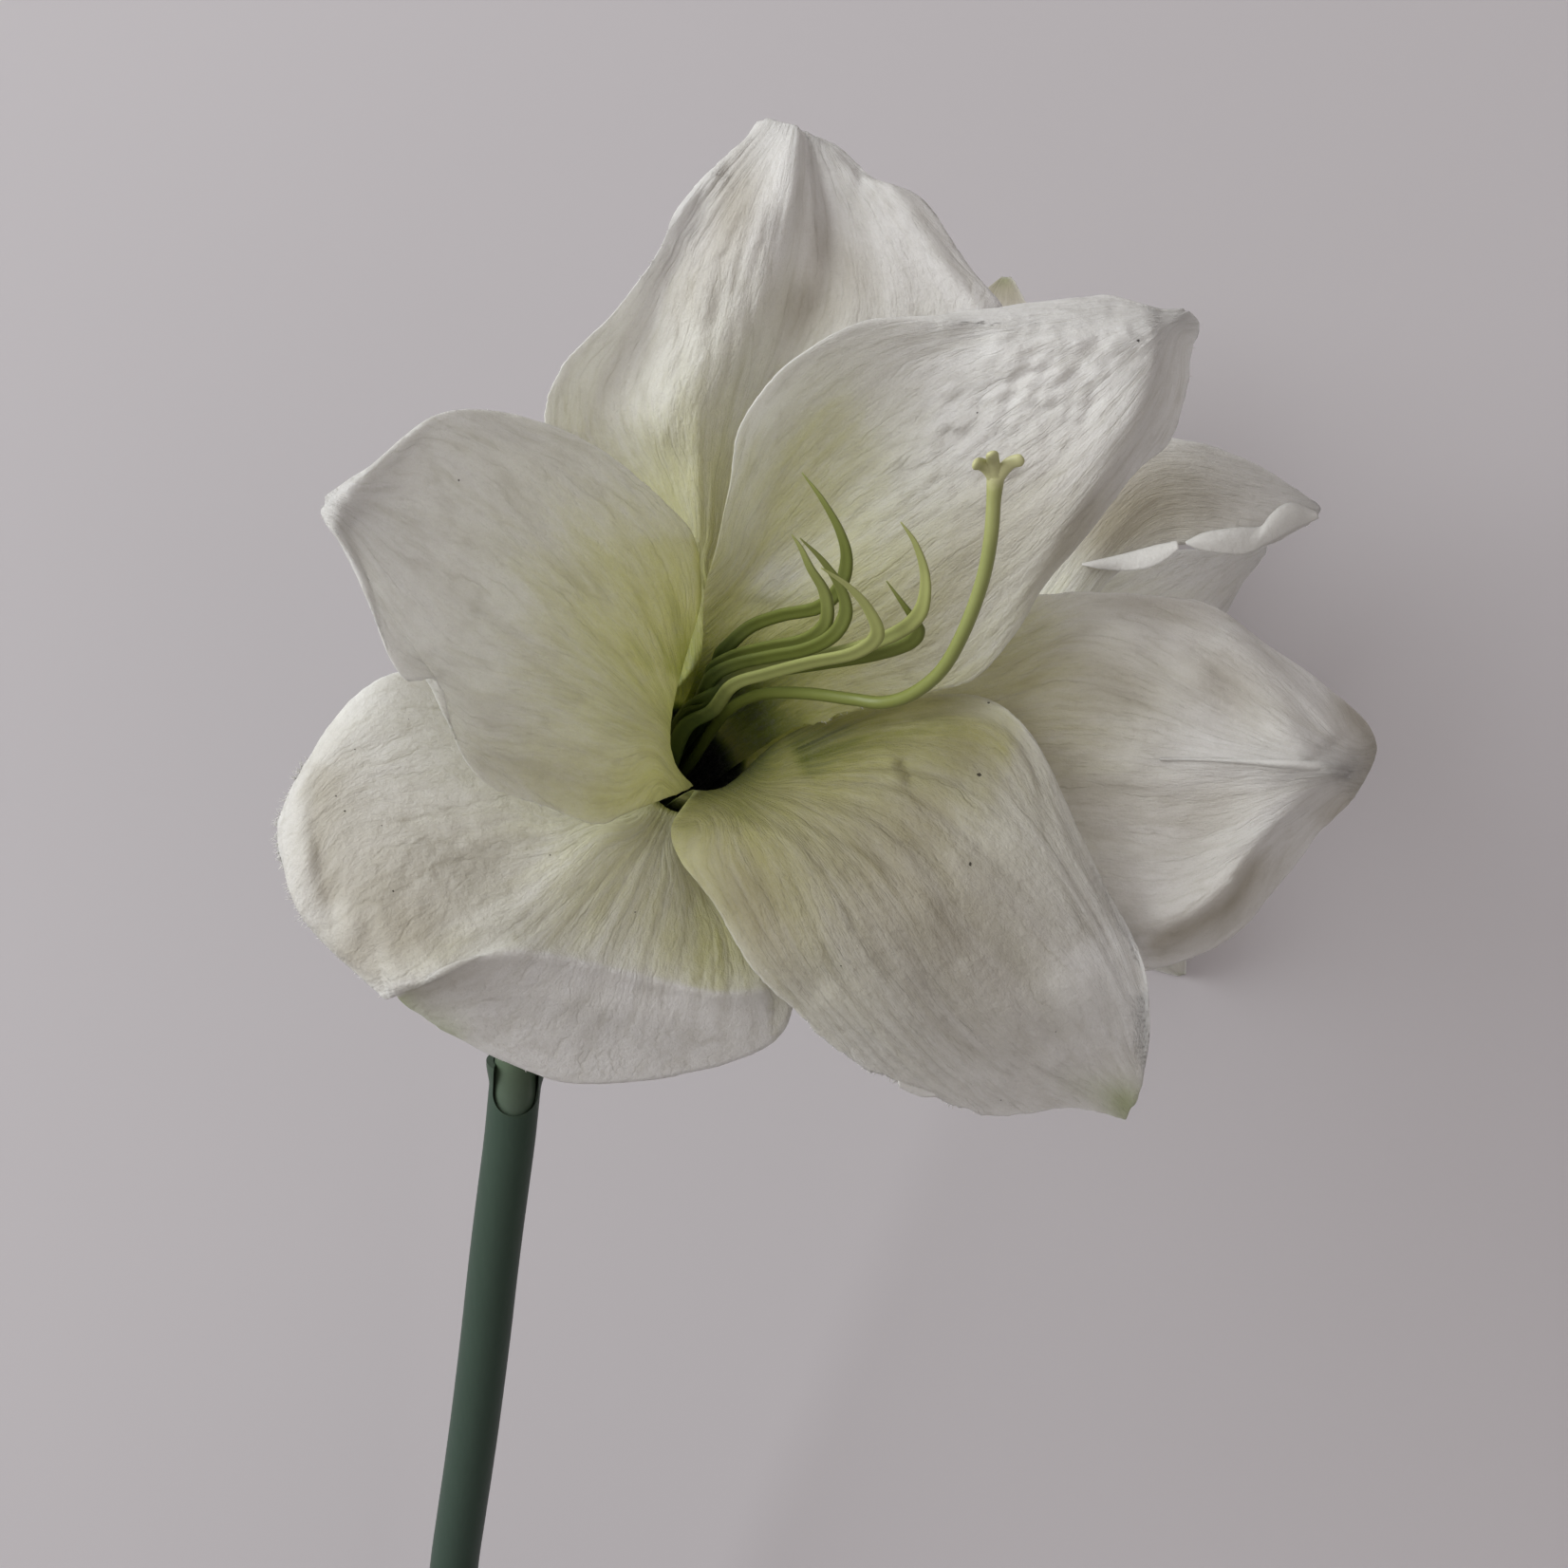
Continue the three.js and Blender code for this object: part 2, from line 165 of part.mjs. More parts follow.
  [[97.43,126.16,1.07],[100.6,127.66,1.07],[103.68,129.02,1.65],[106.56,130.04,6.01],[109.19,130.62,10.6],[111.62,130.87,15.38],[113.96,130.97,20.23]],
  [[109.86,121.99,1.07],[111.18,122.71,1.07],[112.46,123.37,1.07],[113.66,123.88,2.98],[114.73,124.21,5.02],[115.72,124.4,7.13],[116.67,124.52,9.28]],
  [[116.18,120.43,1.07],[116.47,120.61,1.07],[116.76,120.77,1.31],[117.02,120.9,1.76],[117.26,120.98,2.23],[117.48,121.04,2.72],[117.69,121.08,3.22]]
],
back_petal_left: [
  [[-3.53,183.87,82.64],[-4.9,183.56,80.75],[-6.02,182.86,78.81],[-6.85,181.81,76.88],[-7.37,180.43,75.05],[-7.53,178.78,73.38],[-7.35,176.93,71.94]],
  [[7.81,194,72.92],[6.3,193.65,70.83],[5.05,192.88,68.67],[4.13,191.71,66.54],[3.56,190.18,64.5],[3.37,188.35,62.65],[3.57,186.3,61.05]],
  [[20.93,204.7,61.52],[18.92,203.73,59.73],[17.49,202.6,57.83],[16.53,201.35,55.85],[16.04,199.98,53.78],[16.02,198.48,51.63],[16.59,196.82,49.36]],
  [[20.98,221.48,55.3],[18.22,217.94,52.95],[16.11,214.42,50.35],[14.71,210.92,47.48],[14.08,207.46,44.31],[14.15,204.03,40.87],[14.89,200.63,37.18]],
  [[14.31,244.15,48.25],[10.99,236.89,44.12],[8.26,229.77,39.69],[6.56,222.91,34.72],[6.13,216.37,29.09],[6.72,210.09,22.93],[7.9,203.96,16.45]],
  [[0.83,259.64,36.99],[-2.16,251.42,32.05],[-4.69,243.4,26.83],[-6.19,235.84,20.93],[-6.38,228.86,14.19],[-5.54,222.34,6.79],[-4.24,216.03,1.07]],
  [[-17.56,263.15,29.75],[-17.4,257.96,23.1],[-17.45,252.65,16.61],[-17.98,247.03,10.49],[-19.12,241.02,4.84],[-20.74,234.71,1.07],[-22.58,228.27,1.07]],
  [[-29.06,265.34,17.41],[-29.34,262.49,12.84],[-29.74,259.53,8.38],[-30.4,256.35,4.16],[-31.41,252.87,1.07],[-32.68,249.15,1.07],[-34.07,245.33,1.07]],
  [[-36.79,265.03,7.9],[-37.07,263.93,5.84],[-37.4,262.79,3.83],[-37.84,261.53,1.92],[-38.4,260.12,1.07],[-39.08,258.61,1.07],[-39.79,257.04,1.07]],
  [[-41.29,264.81,2.64],[-41.38,264.58,2.17],[-41.48,264.33,1.7],[-41.6,264.06,1.25],[-41.75,263.75,1.07],[-41.92,263.42,1.07],[-42.11,263.07,1.07]]
],
back_petal_under: [
  [[-6.5,175.8,75.51],[-6.07,173.77,74.2],[-5.16,171.65,73.38],[-3.85,169.6,73.1],[-2.23,167.78,73.38],[-0.43,166.33,74.2],[1.4,165.37,75.51]],
  [[5.66,186.31,63.53],[6.16,183.96,62.02],[7.21,181.5,61.06],[8.73,179.13,60.73],[10.61,177.02,61.06],[12.69,175.35,62.02],[14.82,174.23,63.53]],
  [[19.04,193.94,50.45],[19.46,191.92,50.15],[20.19,190.14,49.98],[21.19,188.57,49.92],[22.44,187.18,49.98],[23.95,185.99,50.15],[25.78,185.04,50.45]],
  [[14.47,199.82,35.42],[15.89,195.4,36.28],[17.76,191.33,36.84],[20.14,187.65,37.06],[23.07,184.38,36.91],[26.51,181.5,36.43],[30.41,178.97,35.64]],
  [[-2.71,202.19,19.96],[1.08,194.43,22.19],[5.19,186.92,23.84],[9.88,179.86,24.44],[15.3,173.34,23.74],[21.31,167.27,22],[27.64,161.44,19.67]],
  [[-19.94,190.63,8.93],[-15.82,182.89,11.31],[-11.52,175.28,13.14],[-6.83,167.97,13.77],[-1.63,161.05,12.85],[3.96,154.42,10.72],[9.72,147.92,8.06]],
  [[-35.38,175.94,9.52],[-31.09,169.87,8],[-26.87,163.75,6.76],[-22.79,157.53,6.18],[-18.89,151.17,6.43],[-15.13,144.7,7.33],[-11.43,138.19,8.52]],
  [[-44.68,161.2,1.5],[-42.47,156.95,2.29],[-40.24,152.72,2.88],[-37.95,148.54,3.04],[-35.59,144.4,2.67],[-33.18,140.31,1.87],[-30.74,136.24,1.07]],
  [[-49.19,149.68,1.07],[-48.29,147.79,1.34],[-47.38,145.92,1.62],[-46.45,144.05,1.7],[-45.51,142.2,1.55],[-44.56,140.36,1.21],[-43.6,138.52,1.07]],
  [[-51.29,143.5,1.1],[-51.06,143.01,1.2],[-50.84,142.53,1.27],[-50.62,142.04,1.3],[-50.39,141.56,1.26],[-50.16,141.08,1.18],[-49.93,140.6,1.07]]
],
};
// stamen centre lines, base to tip
const FRONT_STAMENS = [
  [[-32.08,177.64,195.16],[-25.34,187.4,210.14],[-20.16,196.09,223.99],[-19.78,204.66,236.77],[-16.8,208.33,241.77],[-12.78,211.24,245.77],[-6.98,212.83,251.77],[-0.11,213.65,259.77],[3.68,216.62,266.77],[4.99,221.54,270.77],[3.68,226.46,273.77],[0.33,232.13,275.77],[-3.32,236.99,275.77]],
  [[-35.19,179.84,195.56],[-28.27,188.67,210.93],[-22.33,196.51,224.84],[-21.08,202.5,237.77],[-16.75,205.2,243.77],[-9.93,206.57,251.77],[-3.18,207.32,259.77],[0.51,209.24,265.77],[1.49,211.94,269.77],[0.73,215.73,272.77],[-1.74,219.55,274.77],[-3.49,223.1,275.77],[-5.23,225.7,275.77]],
  [[-38.54,179.48,197.39],[-31.12,188.26,212.54],[-24.35,196.14,226.02],[-20.92,201.12,242.77],[-16.05,203.36,249.77],[-9.53,204.49,255.77],[-2.32,205.45,263.77],[2.55,207.71,269.77],[4.73,211.63,273.77],[3.6,216.06,276.77],[0.26,220.6,279.77],[-3.71,224.32,281.77]],
  [[-35.99,171.14,200.44],[-31.72,180.54,216.82],[-27.12,191.19,229.94],[-21.08,194.7,237.77],[-16.56,199.2,251.77],[-9.88,201.05,258.77],[-1.66,202.72,267.77],[6.2,203.94,276.77],[10.14,206.88,281.77],[8.48,211.26,284.77],[4.86,215.15,286.77],[-0.05,218.42,287.77]],
  [[-39.1,173.33,200.83],[-33.19,183.44,216.05],[-26.92,193.35,228.73],[-21.99,195.41,233.77],[-15.69,200.08,240.77],[-9.23,202.09,245.77],[-0.37,203.19,252.77],[9.31,204.19,263.77],[16.06,205.89,270.77],[18.1,208.24,274.77],[16.73,210.48,277.27],[14.58,213.29,278.77],[11.94,216.82,279.77]],
  [[-40.16,176.79,199.57],[-32.96,186.31,214.45],[-25.95,195.04,227.38],[-20.08,198.25,239.27],[-16.19,201.63,243.77],[-9.57,203.31,250.77],[-1.36,204.31,258.77],[6.46,205.13,268.77],[13.77,207.51,277.77],[17.26,210.06,282.77],[18.43,213.21,285.77],[18.3,217.75,287.77],[16.49,222.57,289.77],[13.93,226.14,290.77]],
];
const BACK_STAMENS = [
  [[5.82,171.88,81.17],[18.66,181.21,70.72],[30.34,189.45,61.49],[42.02,196.78,51.46],[53.71,204.13,43.24],[62.12,208.98,41.42],[70.4,214.24,43.38],[75.66,217.73,49.13],[78.57,219.94,56.32]],
  [[3.94,169.75,77.05],[16.64,178.91,66.28],[28.09,186.89,56.55],[39.2,193.59,45.29],[50.33,200.29,35.83],[58.84,205.01,32.22],[66.74,209.84,33.35],[71.82,213.12,38.69],[74.73,215.33,45.88]],
  [[0.19,171.95,74.59],[12.58,181.28,63.62],[23.58,189.53,53.6],[33.57,196.88,41.6],[43.57,204.25,31.4],[51.61,210.13,26.49],[58.76,215.4,27.13],[63.47,218.9,32.22],[66.38,221.1,39.41]],
  [[-1.69,176.28,76.24],[10.55,185.96,65.4],[21.33,194.72,55.58],[30.76,203.38,44.08],[40.19,212.04,34.37],[48.33,219.72,29.4],[55.1,225.86,30.37],[59.62,229.79,35.63],[62.53,231.99,42.81]],
  [[0.19,178.41,80.36],[12.58,188.26,69.84],[23.58,197.28,60.52],[33.57,206.57,50.25],[43.57,215.88,41.78],[52.93,224.69,37.48],[60.08,231.26,39.27],[64.79,235.4,44.94],[67.7,237.61,52.13]],
  [[3.94,176.21,82.82],[16.64,185.88,72.51],[28.09,194.64,63.48],[39.2,203.28,53.94],[50.33,211.92,46.21],[61.48,220.58,42.09],[69.38,226.7,44.38],[74.46,230.62,50.29],[77.37,232.83,57.48]],
];
const FRONT_STYLE = [[-35.32,175.43,197.89],[-27.13,183.6,212.99],[-20.95,191.87,226.56],[-17.28,195.27,237.77],[-13.37,197.12,243.77],[-8.65,197.77,250.77],[-1.56,197.21,259.77],[6.49,195.81,267.77],[11.8,195.12,271.77],[16.76,196.49,276.77],[21.69,200.51,282.77],[25.28,207.24,288.77],[28.01,215.5,293.77],[29.12,222.66,297.77],[29.42,228.95,299.77],[29.64,232.56,300.77]];
const FRONT_LOBES = [[[29.64,232.07,300.77],[29.17,234.13,302.27],[28.86,235.2,303.77],[28.41,235.87,306.77]],[[29.64,232.07,300.77],[28.41,233.72,301.77],[27.02,234.54,302.77],[25.55,234.24,304.77]],[[29.64,232.07,300.77],[30.84,233.72,301.77],[32.2,234.86,302.77],[34.19,235.2,303.77]]];
const BACK_STYLE = [[2.06,174.08,78.71],[14.61,183.58,68.06],[25.83,192.08,58.54],[39.22,204.11,43.99],[50.47,215.77,31.96],[62.64,226.24,23.53],[74.8,235.45,22.88],[84.78,243.02,28.9],[91.46,248.08,37.72]];
const BACK_LOBES = [[[90.56,247.4,36.06],[93.46,249.59,39.64],[95.13,250.86,41.85],[96.8,252.12,44.05]],[[90.56,247.4,36.06],[91.06,250.91,39.79],[90.45,253.58,41.44],[89.08,256.31,42.27]],[[90.56,247.4,36.06],[94.08,246.93,39.79],[96.49,245.61,41.44],[98.74,243.56,42.27]]];

const PETAL_MAT = { color: 0xe6e6dc, roughness: 0.85, metalness: 0 };
const STEM_MAT = { color: 0x3d4f43, roughness: 0.5, metalness: 0 };
const CALYX_MAT = { color: 0x55652f, roughness: 0.6, metalness: 0 };
const FILAMENT_MAT = { color: 0x8fa04c, roughness: 0.5, metalness: 0 };
const STYLE_MAT = { color: 0xa3b268, roughness: 0.45, metalness: 0 };

const wasm = await Module();
wasm.setup();
const { Manifold, Mesh } = wasm;

// ---- vectors and curves -------------------------------------------------
const V = (a) => new THREE.Vector3(a[0], a[1], a[2]);

// Catmull-Rom through a list of vectors, t from 0 to n-1
function through(list, t) {
  const n = list.length;
  const u = Math.min(Math.max(t, 0), n - 1 - 1e-9);
  const i = Math.floor(u);
  const f = u - i;
  const get = (k) => {
    if (k < 0) return list[0].clone().multiplyScalar(2).sub(list[1]);
    if (k > n - 1) return list[n - 1].clone().multiplyScalar(2).sub(list[n - 2]);
    return list[k];
  };
  const p0 = get(i - 1), p1 = get(i), p2 = get(i + 1), p3 = get(i + 2);
  const w0 = -f + 2 * f * f - f * f * f;
  const w1 = 2 - 5 * f * f + 3 * f * f * f;
  const w2 = f + 4 * f * f - 3 * f * f * f;
  const w3 = -f * f + f * f * f;
  return new THREE.Vector3()
    .addScaledVector(p0, 0.5 * w0).addScaledVector(p1, 0.5 * w1)
    .addScaledVector(p2, 0.5 * w2).addScaledVector(p3, 0.5 * w3);
}

function closed(positions, index) {
  const g = new THREE.BufferGeometry();
  g.setAttribute('position', new THREE.Float32BufferAttribute(positions, 3));
  let vol = 0;
  const p = (i) => new THREE.Vector3(positions[3 * i], positions[3 * i + 1], positions[3 * i + 2]);
  for (let i = 0; i < index.length; i += 3) {
    vol += p(index[i]).dot(p(index[i + 1]).cross(p(index[i + 2])));
  }
  if (vol < 0) {
    for (let i = 0; i < index.length; i += 3) [index[i + 1], index[i + 2]] = [index[i + 2], index[i + 1]];
  }
  g.setIndex(index);
  g.computeVertexNormals();
  return g;
}

// a petal: a curved sheet of constant thickness through its form grid
function petal(grid, nu, nv) {
  const rows = grid.map((r) => r.map(V));
  const pts = [];
  for (let i = 0; i < nu; i++) {
    const u = (i / (nu - 1)) * (rows.length - 1);
    const nCol = rows[0].length;
    const line = [];
    for (let c = 0; c < nCol; c++) line.push(through(rows.map((r) => r[c]), u));
    const out = [];
    for (let j = 0; j < nv; j++) out.push(through(line, (j / (nv - 1)) * (nCol - 1)));
    pts.push(out);
  }
  const pos = [];
  const half = PETAL_THICKNESS / 2;
  for (const side of [1, -1]) {
    for (let i = 0; i < nu; i++) {
      for (let j = 0; j < nv; j++) {
        const a = pts[Math.min(i + 1, nu - 1)][j].clone().sub(pts[Math.max(i - 1, 0)][j]);
        const b = pts[i][Math.min(j + 1, nv - 1)].clone().sub(pts[i][Math.max(j - 1, 0)]);
        const n = a.cross(b).normalize();
        const q = pts[i][j].clone().addScaledVector(n, side * half);
        pos.push(q.x, q.y, q.z);
      }
    }
  }
  const N = nu * nv;
  const id = (s, i, j) => s * N + i * nv + j;
  const idx = [];
  const quad = (a, b, c, d) => idx.push(a, b, c, a, c, d);
  for (let i = 0; i < nu - 1; i++) {
    for (let j = 0; j < nv - 1; j++) {
      quad(id(0, i, j), id(0, i + 1, j), id(0, i + 1, j + 1), id(0, i, j + 1));
      quad(id(1, i, j), id(1, i, j + 1), id(1, i + 1, j + 1), id(1, i + 1, j));
    }
  }
  for (let i = 0; i < nu - 1; i++) {
    quad(id(0, i, 0), id(1, i, 0), id(1, i + 1, 0), id(0, i + 1, 0));
    quad(id(0, i, nv - 1), id(0, i + 1, nv - 1), id(1, i + 1, nv - 1), id(1, i, nv - 1));
  }
  for (let j = 0; j < nv - 1; j++) {
    quad(id(0, 0, j), id(0, 0, j + 1), id(1, 0, j + 1), id(1, 0, j));
    quad(id(0, nu - 1, j), id(1, nu - 1, j), id(1, nu - 1, j + 1), id(0, nu - 1, j + 1));
  }
  return closed(pos, idx);
}

// a swept rod with an elliptical section; size(t) gives half width and half thickness
function rod(line, size, sides, steps) {
  const list = line.map((p) => (p.isVector3 ? p : V(p)));
  const n = list.length - 1;
  const pos = [];
  let normal = null;
  for (let i = 0; i <= steps; i++) {
    const t = (i / steps) * n;
    const c = through(list, t);
    const d = through(list, Math.min(t + 0.02, n)).sub(through(list, Math.max(t - 0.02, 0))).normalize();
    if (!normal) {
      normal = new THREE.Vector3(0, 0, 1);
      if (Math.abs(normal.dot(d)) > 0.9) normal.set(1, 0, 0);
    }
    normal.addScaledVector(d, -normal.dot(d)).normalize();
    const side = new THREE.Vector3().crossVectors(d, normal);
    const [w, h] = size(i / steps);
    for (let k = 0; k < sides; k++) {
      const a = (2 * Math.PI * k) / sides;
      const q = c.clone().addScaledVector(side, w * Math.cos(a)).addScaledVector(normal, h * Math.sin(a));
      pos.push(q.x, q.y, q.z);
    }
  }
  const idx = [];
  for (let i = 0; i < steps; i++) {
    for (let k = 0; k < sides; k++) {
      const a = i * sides + k, b = i * sides + ((k + 1) % sides);
      idx.push(a, b, b + sides, a, b + sides, a + sides);
    }
  }
  for (const [row, flip] of [[0, true], [steps, false]]) {
    for (let k = 1; k < sides - 1; k++) {
      const a = row * sides, b = row * sides + k, c = row * sides + k + 1;
      if (flip) idx.push(a, c, b); else idx.push(a, b, c);
    }
  }
  return closed(pos, idx);
}

function toSolid(g) {
  const m = new Mesh({
    numProp: 3,
    vertProperties: new Float32Array(g.attributes.position.array),
    triVerts: new Uint32Array(g.index.array),
  });
  m.merge();
  return new Manifold(m);
}

function fromSolid(s) {
  const m = s.getMesh();
  const g = new THREE.BufferGeometry();
  const pos = [];
  for (let i = 0; i < m.numVert; i++) pos.push(...m.vertProperties.slice(i * m.numProp, i * m.numProp + 3));
  g.setAttribute('position', new THREE.Float32BufferAttribute(pos, 3));
  g.setIndex(Array.from(m.triVerts));
  g.computeVertexNormals();
  return g;
}

// a turned part: radius and distance pairs along an axis from a point
function turned(profile, origin, axis, segments) {
  const pos = [], idx = [];
  const o = V(origin), a = V(axis).normalize();
  const ex = new THREE.Vector3(1, 0, 0);
  ex.addScaledVector(a, -ex.dot(a)).normalize();
  const ey = new THREE.Vector3().crossVectors(a, ex);
  const rows = [];
  for (const [r, s] of profile) {
    const row = [];
    const count = r < 1e-6 ? 1 : segments;
    for (let k = 0; k < count; k++) {
      const t = (2 * Math.PI * k) / segments;
      const q = o.clone().addScaledVector(a, s).addScaledVector(ex, r * Math.cos(t)).addScaledVector(ey, r * Math.sin(t));
      row.push(pos.length / 3);
      pos.push(q.x, q.y, q.z);
    }
    rows.push(row);
  }
  for (let i = 0; i < rows.length - 1; i++) {
    for (let k = 0; k < segments; k++) {
      const A = rows[i], B = rows[i + 1], m = (k + 1) % segments;
      if (A.length === 1 && B.length > 1) idx.push(A[0], B[m], B[k]);
      else if (B.length === 1 && A.length > 1) idx.push(A[k], A[m], B[0]);
      else if (A.length > 1) idx.push(A[k], A[m], B[m], A[k], B[m], B[k]);
    }
  }
  return closed(pos, idx);
}

// ---- parts --------------------------------------------------------------
const object = new THREE.Group();
object.name = 'amaryllis_stem';
function add(name, geometry, mat) {
  const mesh = new THREE.Mesh(geometry, new THREE.MeshStandardMaterial(mat));
  mesh.name = name;
  object.add(mesh);
}

// stem: a rod with a wider collar, a socket and a scooped opening at its top
{
  const top = V(STEM_LINE[0]);
  const down = V(STEM_LINE[2]).sub(top).normalize();
  const count = STEM_LINE.length - 1;
  const lengthMm = 455;
  const body = toSolid(rod(STEM_LINE, (t) => {
    const s = t * lengthMm;
    const k = Math.max(0, 1 - s / 26);
    const r = STEM_RADIUS + (COLLAR_RADIUS - STEM_RADIUS) * (k * k * (3 - 2 * k));
    return [r, r];
  }, 22, count));
  const up = down.clone().negate();
  const boreLine = [top.clone().addScaledVector(up, 6), top.clone().addScaledVector(down, SOCKET_DEPTH)];
  const bore = toSolid(rod([boreLine[0], boreLine[0].clone().lerp(boreLine[1], 0.5), boreLine[1]], () => [SOCKET_RADIUS, SOCKET_RADIUS], 24, 2));
  // scoop through the front wall of the collar
  const side = new THREE.Vector3(1, 0, 0);
  const centre = top.clone().addScaledVector(down, 8.2).addScaledVector(side, 0.7);
  const a = centre.clone(), b = centre.clone();
  a.z += 1.2; b.z += 14;
  const round = toSolid(rod([a, a.clone().lerp(b, 0.5), b], () => [5.5, 5.5], 24, 1));
  const above = round.translate([up.x * 14, up.y * 14, up.z * 14]);
  const scoop = Manifold.hull([round, above]);
  add('stem', fromSolid(body.subtract(bore).subtract(scoop)), STEM_MAT);

  // fork: a plug in the socket that branches into the two flower stalks
  const plugLow = top.clone().addScaledVector(down, SOCKET_DEPTH - 1.5);
  const fork = V(FORK);
  const plug = toSolid(rod([plugLow, top.clone().addScaledVector(down, 10), top, fork],
    (t) => [PLUG_RADIUS, PLUG_RADIUS], 20, 8));
  const end1 = V(FRONT_MOUTH).addScaledVector(V(FRONT_AXIS), -54.6);
  const mid1 = V(FRONT_MOUTH).addScaledVector(V(FRONT_AXIS), -72);
  const end2 = V(BACK_MOUTH).addScaledVector(V(BACK_AXIS), -54.6);
  const mid2 = V(BACK_MOUTH).addScaledVector(V(BACK_AXIS), -74);
  const start = fork.clone().addScaledVector(top.clone().sub(fork).normalize(), 6);
  const straight = (end) => (t) => [STALK_RADIUS + 0.9 * Math.max(0, 1 - 3 * t), STALK_RADIUS + 0.9 * Math.max(0, 1 - 3 * t)];
  const way1 = [start, fork.clone().lerp(mid1, 0.38).add(new THREE.Vector3(-2, 5, 3)), mid1.clone().lerp(fork, 0.25).add(new THREE.Vector3(-1, 2, 1)), mid1, end1.clone().lerp(mid1, 0.5), end1];
  const way2 = [start, fork.clone().lerp(mid2, 0.3).add(new THREE.Vector3(0, 3, 3)), mid2.clone().lerp(fork, 0.35).add(new THREE.Vector3(0, 1, 1)), mid2, end2.clone().lerp(mid2, 0.5), end2];
  const knob = toSolid(new THREE.SphereGeometry(6.4, 16, 10).translate(fork.x, fork.y, fork.z));
  const s1 = toSolid(rod(way1, straight(), 16, 12));
  const s2 = toSolid(rod(way2, straight(), 16, 12));
  add('umbel_fork', fromSolid(plug.add(knob).add(s1).add(s2)), STEM_MAT);
}

// calyx tubes
const CALYX = [
  [0, -54], [CALYX_SOCKET_RADIUS, -54], [CALYX_SOCKET_RADIUS, -64], [6.3, -64], [8.2, -59], [11.4, -51],
  [13.9, -44], [14.7, -38], [15.8, -19], [14.5, -19], [13.35, -38], [12.9, -43], [0, -43.6],
];
add('front_calyx', turned(CALYX, FRONT_MOUTH, FRONT_AXIS, 28), CALYX_MAT);
add('back_calyx', turned(CALYX, BACK_MOUTH, BACK_AXIS, 28), CALYX_MAT);

// petals
for (const [name, grid] of Object.entries(PETALS)) {
  add(name, petal(grid, name.startsWith('front') ? 19 : 15, name.startsWith('front') ? 9 : 7), PETAL_MAT);
}

// stamens: flattened filaments that taper to a hooked point
const filament = (t) => {
  const a = Math.min(1, 0.62 + 1.6 * Math.max(0, t - 0.16));
  const b = t < 0.62 ? 1 : Math.max(0.16, 1 - (t - 0.62) / 0.42);
  return [FILAMENT_HALF_WIDTH * a * b, FILAMENT_HALF_THICKNESS * Math.max(b, 0.22)];
};
FRONT_STAMENS.forEach((l, i) => add(`front_stamen_${i + 1}`, rod(l, filament, 6, 20), FILAMENT_MAT));
BACK_STAMENS.forEach((l, i) => add(`back_stamen_${i + 1}`, rod(l, filament, 6, 12), FILAMENT_MAT));

// styles with their three stigma lobes
function style(line, lobes) {
  let s = toSolid(rod(line, (t) => [STYLE_RADIUS * (1 + 0.12 * t), STYLE_RADIUS * (1 + 0.12 * t)], 10, 24));
  for (const l of lobes) s = s.add(toSolid(rod(l, (t) => [LOBE_RADIUS * (1 - 0.35 * t), LOBE_RADIUS * (1 - 0.5 * t)], 8, 5)));
  return fromSolid(s);
}
add('front_style', style(FRONT_STYLE, FRONT_LOBES), STYLE_MAT);
add('back_style', style(BACK_STYLE, BACK_LOBES), STYLE_MAT);

export default object;
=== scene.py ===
import bpy, bmesh, math
import numpy as np
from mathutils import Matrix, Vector


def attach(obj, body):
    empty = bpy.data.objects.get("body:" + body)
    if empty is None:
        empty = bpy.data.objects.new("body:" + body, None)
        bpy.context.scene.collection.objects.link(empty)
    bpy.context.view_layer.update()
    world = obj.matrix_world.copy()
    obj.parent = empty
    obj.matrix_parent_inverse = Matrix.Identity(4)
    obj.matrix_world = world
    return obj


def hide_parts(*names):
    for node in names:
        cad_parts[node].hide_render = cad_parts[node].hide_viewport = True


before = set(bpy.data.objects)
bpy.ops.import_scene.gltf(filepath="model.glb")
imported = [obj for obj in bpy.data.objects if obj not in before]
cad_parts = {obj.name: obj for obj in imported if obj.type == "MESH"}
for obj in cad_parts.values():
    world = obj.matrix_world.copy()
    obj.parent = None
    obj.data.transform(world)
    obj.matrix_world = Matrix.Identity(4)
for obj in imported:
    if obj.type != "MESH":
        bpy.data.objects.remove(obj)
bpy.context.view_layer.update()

MM = 0.001

# ---------------------------------------------------------------- form data, mm, in the part's own frame
FRONT_MOUTH = [-19.99, 191.87, 229.77]
FRONT_AXIS = [0.4, 0.42, 0.815]
BACK_MOUTH = [27.81, 193.59, 56.86]
BACK_AXIS = [0.66, 0.5, -0.56]
FORK = [-69.9, 119.56, 139.77]
STEM_LINE = [[-72.66,111.54,137.34], [-73.21,106.15,135.71], [-73.87,101.22,134.22], [-75.2,91.29,131.21], [-77.24,78.71,127.4], [-79.31,65.95,123.53], [-81.28,53.01,119.61], [-83.16,39.89,115.63], [-85.2,26.57,111.6], [-87.38,13.05,107.5], [-89.73,-0.66,103.35], [-92.23,-14.58,99.13], [-94.65,-28.7,94.85], [-98.7,-58.7,85.76], [-102.75,-88.7,76.67], [-106.8,-118.7,67.58], [-110.85,-148.7,58.49], [-114.9,-178.7,49.4], [-118.95,-208.7,40.31], [-123,-238.7,31.22], [-127.05,-268.7,22.13], [-131.1,-298.7,13.04], [-134.16,-321.38,6.17]]
